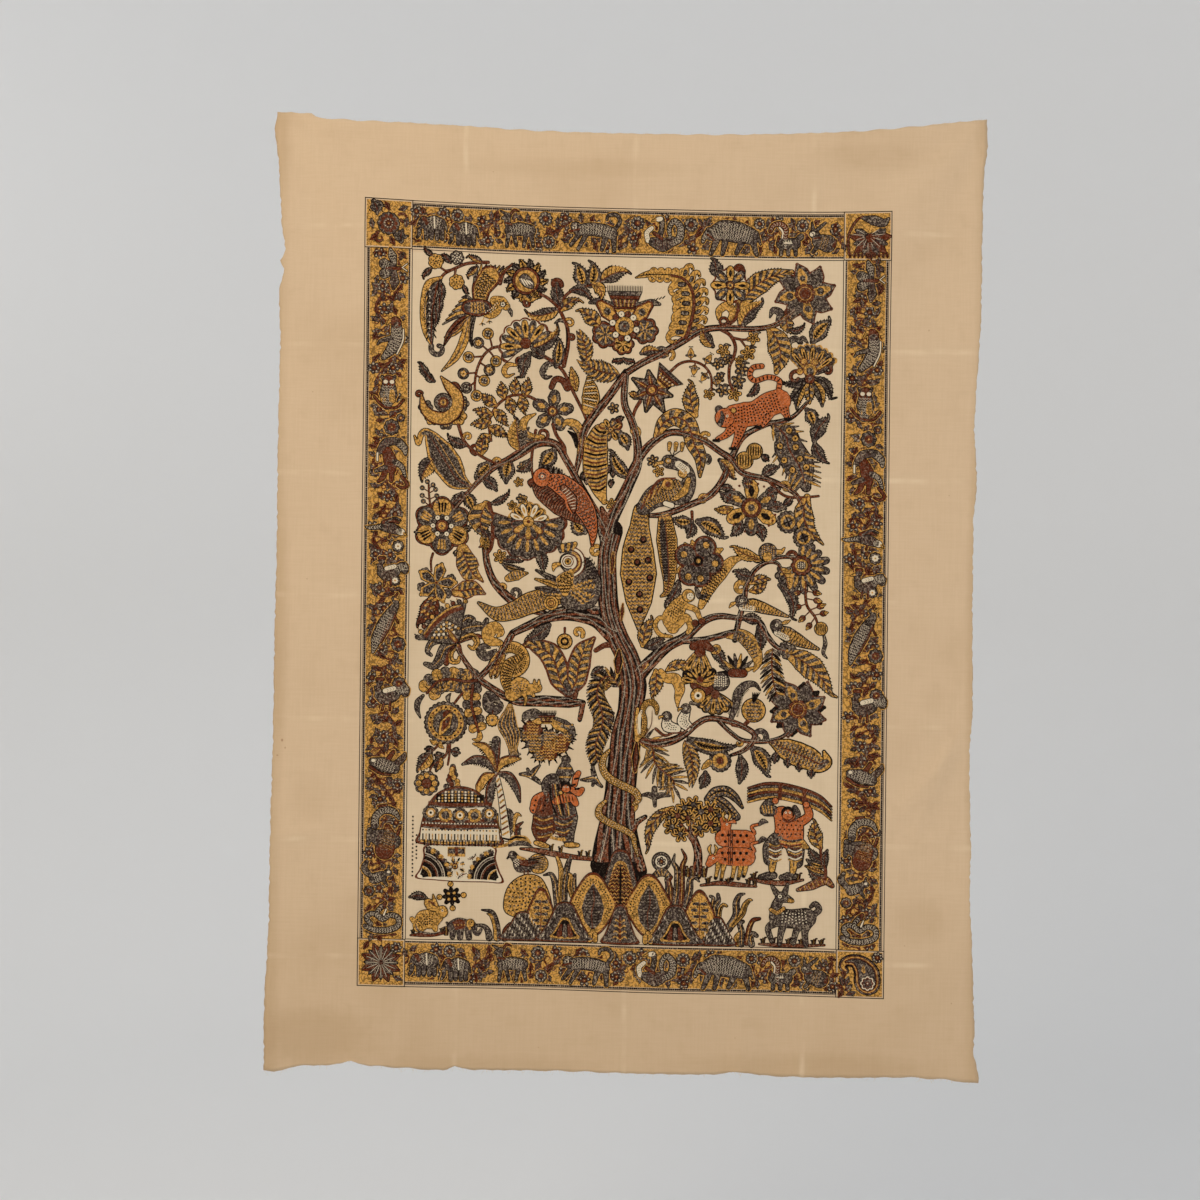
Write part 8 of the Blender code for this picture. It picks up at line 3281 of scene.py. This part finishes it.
def edge_places(settings):
    """Where loose threads start: flat x, y, the outward direction, and a share of reach."""
    pick = random.Random(11)
    ends = ((0.0, 1.0, 0.55, "top"), (-LENGTH, -1.0, 1.0, "bottom"))
    found = {"frayed_top": [], "frayed_bottom": [], "frayed_left": [], "frayed_right": []}
    for y, out, share, name in ends:
        count = round(WIDTH / settings.pitch)
        for i in range(count):
            x = (i + pick.random()) / count * WIDTH - WIDTH / 2
            found["frayed_" + name].append((x, y, 0.0, out, share * (0.25 + pick.random() ** 3)))
    for x, out, name in ((-WIDTH / 2, -1.0, "left"), (WIDTH / 2, 1.0, "right")):
        count = round(LENGTH / settings.pitch / 2.2)
        for i in range(count):
            y = -(i + pick.random()) / count * LENGTH
            found["frayed_" + name].append((x, y, out, 0.0, 0.30 * (0.3 + pick.random() ** 3)))
    return found


def make_fray(name, starts, settings):
    """One mesh of loose threads, each a bent strand of five joints and three sides."""
    pick = random.Random(len(starts))
    joints = 5
    rows, faces, flat_x, flat_y = [], [], [], []
    for x, y, out_x, out_y, share in starts:
        length = settings.reach * share
        lean, bow, lift = (pick.uniform(-1, 1) for _ in range(3))
        start = len(rows) * 3
        for joint in range(joints):
            t = joint / (joints - 1)
            away = length * t - 0.0022
            sideways = length * (0.7 * lean * t**2 + 0.3 * bow * math.sin(3 * t))
            rows.append((x + out_x * away + out_y * sideways, y + out_y * away + out_x * sideways,
                         length * 0.35 * lift * t**2, 1.0 - 0.6 * t))
            flat_x.extend([x] * 3)
            flat_y.extend([y] * 3)
            if joint:
                low, high = start + 3 * (joint - 1), start + 3 * joint
                for side in range(3):
                    turn = (side + 1) % 3
                    faces.append((low + side, low + turn, high + turn, high + side))
        faces.append((start, start + 1, start + 2))
        faces.append((start + 3 * joints - 1, start + 3 * joints - 2, start + 3 * joints - 3))
    table = np.array(rows)
    inside = np.clip(table[:, 0], -WIDTH / 2, WIDTH / 2), np.clip(table[:, 1], -LENGTH, 0.0)
    laid = hang(*inside)
    laid[:, 0] += table[:, 0] - inside[0]
    laid[:, 2] += table[:, 1] - inside[1]
    laid[:, 1] -= table[:, 2]
    radius = settings.thread / 2 * table[:, 3]
    along = np.gradient(laid, axis=0)
    along[::joints] = laid[1::joints] - laid[::joints]
    along /= np.linalg.norm(along, axis=1, keepdims=True) + 1e-12
    first = np.cross(along, [0.0, 1.0, 0.0])
    first /= np.linalg.norm(first, axis=1, keepdims=True) + 1e-12
    second = np.cross(along, first)
    turns = [math.tau * side / 3 for side in range(3)]
    tube = np.stack([laid + radius[:, None] * (first * math.cos(a) + second * math.sin(a))
                     for a in turns], axis=1).reshape(-1, 3)
    return make_mesh(name, tube, faces, (np.array(flat_x), np.array(flat_y)))


# ---------------------------------------------------------------------------
# The studio.
# ---------------------------------------------------------------------------

CAMERA_X = -0.0425
CAMERA_Z = -0.732
CAMERA_ROLL = 0.8
SWEEP_RADIUS = 4.6
SWEEP_BEND = 1.5
SWEEP_HEIGHT = 7.0


def make_sweep(settings):
    """A round floor that bends up into a wall all the way round, with no corner."""
    floor = -LENGTH - settings.drop
    bend = [(SWEEP_RADIUS - SWEEP_BEND * (1 - math.sin(a)), floor + SWEEP_BEND * (1 - math.cos(a)))
            for a in (math.pi / 2 * i / 12 for i in range(13))]
    profile = [(0.0, floor), *bend, (SWEEP_RADIUS, floor + SWEEP_HEIGHT)]
    steps = 72
    places, faces = [], []
    for i in range(steps):
        angle = math.tau * i / steps
        places.extend((r * math.cos(angle), r * math.sin(angle), z) for r, z in profile)
        for j in range(len(profile) - 1):
            a, b = i * len(profile) + j, (i + 1) % steps * len(profile) + j
            faces.append((a, b, b + 1, a + 1))
    mesh = bpy.data.meshes.new("studio_sweep")
    mesh.from_pydata(places, [], faces)
    mesh.shade_smooth()
    sweep = bpy.data.objects.new("studio_sweep", mesh)
    bpy.context.scene.collection.objects.link(sweep)
    mesh.materials.append(distempered_plaster(settings.wall))


def make_light(name, place, aim, size, power, colour):
    data = bpy.data.lights.new(name, "AREA")
    data.shape = "DISK"
    data.size = size
    data.energy = power
    data.color = linear(colour)[:3]
    lamp = bpy.data.objects.new(name, data)
    bpy.context.scene.collection.objects.link(lamp)
    lamp.location = place
    lamp.rotation_mode = "QUATERNION"
    lamp.rotation_quaternion = (Vector(aim) - Vector(place)).to_track_quat("-Z", "Y")


def make_camera(settings):
    data = bpy.data.cameras.new("camera")
    data.lens = 50.0
    data.sensor_width = 36.0
    data.clip_end = 100.0
    camera = bpy.data.objects.new("camera", data)
    bpy.context.scene.collection.objects.link(camera)
    turn = Matrix.Rotation(math.radians(-CAMERA_ROLL), 4, "Y") @ Matrix.Rotation(math.pi / 2, 4, "X")
    camera.matrix_world = Matrix.Translation((CAMERA_X, -settings.distance, CAMERA_Z)) @ turn
    bpy.context.scene.camera = camera


def make_world(strength):
    world = bpy.data.worlds.new("studio")
    world.use_nodes = True
    ground = world.node_tree.nodes["Background"]
    ground.inputs["Color"].default_value = linear("eef1f6")
    ground.inputs["Strength"].default_value = strength
    bpy.context.scene.world = world


# ---------------------------------------------------------------------------
# Operators, panel and registration.
# ---------------------------------------------------------------------------

DYE_NAMES = {
    "ochre": "ochre_pomegranate_dye", "grey": "grey_iron_wash", "orange": "orange_weak_madder",
    "russet": "russet_thin_madder", "madder": "red_brown_madder", "black": "black_iron_pen_line",
    "border_black": "black_iron_block_line", "resist": "cream_wax_resist",
}

# How much of each dye the finest pen work hides.
PEN_WORK = {"ochre": 0.62, "grey": 0.80, "orange": 0.34, "russet": 0.62, "madder": 0.45}

# How much of each dye shows the finest lines of wax.
WAX_WORK = {"ochre": 0.08, "grey": 0.34, "orange": 0.14, "russet": 0.25, "madder": 0.08}


def declare(piece, material):
    piece.data.materials.append(material)
    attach(piece, "root")


class KALAMKARI_OT_print(bpy.types.Operator):
    """Draws the picture and its border, and lays one mesh for each dye on the cloth"""

    bl_idname = "kalamkari.print"
    bl_label = "Lay the dyes"

    def execute(self, context):
        cloth = context.scene.kalamkari_cloth
        dyes = context.scene.kalamkari_dyes
        sheet = Print()
        draw_print(sheet)
        front = cloth.thickness / 2
        for dye in DYES:
            if not sheet.faces[dye]:
                raise RuntimeError(f"nothing is drawn in {dye}")
            piece = make_dye("print_" + dye, sheet.points[dye], sheet.faces[dye], front)
            thin = dye in ("resist", "black", "border_black")
            colour = tuple(getattr(dyes, dye.removeprefix("border_")))
            patchy, worn = (0.12, 0.05) if thin else (0.24, 0.12)
            declare(piece, dyed_cotton(DYE_NAMES[dye], colour, cloth, patchy, worn,
                                       PEN_WORK.get(dye, 0.0), WAX_WORK.get(dye, 0.0)))
        colours = {dye: tuple(getattr(dyes, dye)) for dye in SHOWN_DYES}
        piece = make_show_through(sheet, front, colours)
        declare(piece, soaked_through(cloth, dyes.strength))
        return {"FINISHED"}


class KALAMKARI_OT_fray(bpy.types.Operator):
    """Adds loose threads along the torn ends and the worn selvedges"""

    bl_idname = "kalamkari.fray"
    bl_label = "Fray the edges"

    def execute(self, context):
        material = loose_thread(context.scene.kalamkari_cloth)
        settings = context.scene.kalamkari_fray
        for name, starts in edge_places(settings).items():
            declare(make_fray(name, starts, settings), material)
        return {"FINISHED"}


class KALAMKARI_OT_cloth(bpy.types.Operator):
    """Hangs the cotton sheet in place of the plain solid, with all that lies on it"""

    bl_idname = "kalamkari.cloth"
    bl_label = "Hang the cloth"

    def execute(self, context):
        settings = context.scene.kalamkari_cloth
        sheet = make_sheet(settings)
        declare(sheet, hand_woven_cotton(settings))
        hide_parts("cloth")
        others = [piece for piece in collection().objects if piece != sheet]
        if not others:
            raise RuntimeError("lay the dyes and fray the edges first")
        return {"FINISHED"}


class KALAMKARI_OT_stage(bpy.types.Operator):
    """Sets up the pale sweep, the soft lights and the camera"""

    bl_idname = "kalamkari.stage"
    bl_label = "Set the stage"

    def execute(self, context):
        settings = context.scene.kalamkari_stage
        context.scene.view_settings.view_transform = "Standard"
        make_sweep(settings)
        make_world(settings.sky)
        middle = (0.0, 0.0, -LENGTH / 2)
        make_light("key_light", (-1.9, -2.7, 1.0), middle, 1.8, settings.key, "fff1dd")
        make_light("wall_light", (-2.9, 2.2, 0.7), (-0.8, 4.6, 0.1), 2.2, settings.wall_light, "ffffff")
        make_light("fill_light", (2.3, -2.6, -0.6), middle, 1.6, settings.fill, "f2f4ff")
        make_camera(settings)
        return {"FINISHED"}


OPERATORS = (KALAMKARI_OT_print, KALAMKARI_OT_fray, KALAMKARI_OT_cloth, KALAMKARI_OT_stage)
GROUPS = {
    "kalamkari_cloth": ClothSettings, "kalamkari_dyes": DyeSettings,
    "kalamkari_fray": FraySettings, "kalamkari_stage": StageSettings,
}


class KALAMKARI_PT_panel(bpy.types.Panel):
    """Lists the steps in which the panel is made, and its settings"""

    bl_label = "Kalamkari wall panel"
    bl_idname = "KALAMKARI_PT_panel"
    bl_space_type = "VIEW_3D"
    bl_region_type = "UI"
    bl_category = "Kalamkari"

    def draw(self, context):
        for operator in OPERATORS:
            self.layout.operator(operator.bl_idname)
        for name, group in GROUPS.items():
            box = self.layout.box()
            for setting in group.__annotations__:
                box.prop(getattr(context.scene, name), setting)


def register():
    for made in (*GROUPS.values(), *OPERATORS, KALAMKARI_PT_panel):
        bpy.utils.register_class(made)
    for name, group in GROUPS.items():
        setattr(bpy.types.Scene, name, bpy.props.PointerProperty(type=group))


def unregister():
    for name in GROUPS:
        delattr(bpy.types.Scene, name)
    for made in reversed((*GROUPS.values(), *OPERATORS, KALAMKARI_PT_panel)):
        bpy.utils.unregister_class(made)


def main():
    register()
    bpy.ops.kalamkari.print()
    bpy.ops.kalamkari.fray()
    bpy.ops.kalamkari.cloth()
    bpy.ops.kalamkari.stage()


if __name__ == "__main__":
    main()
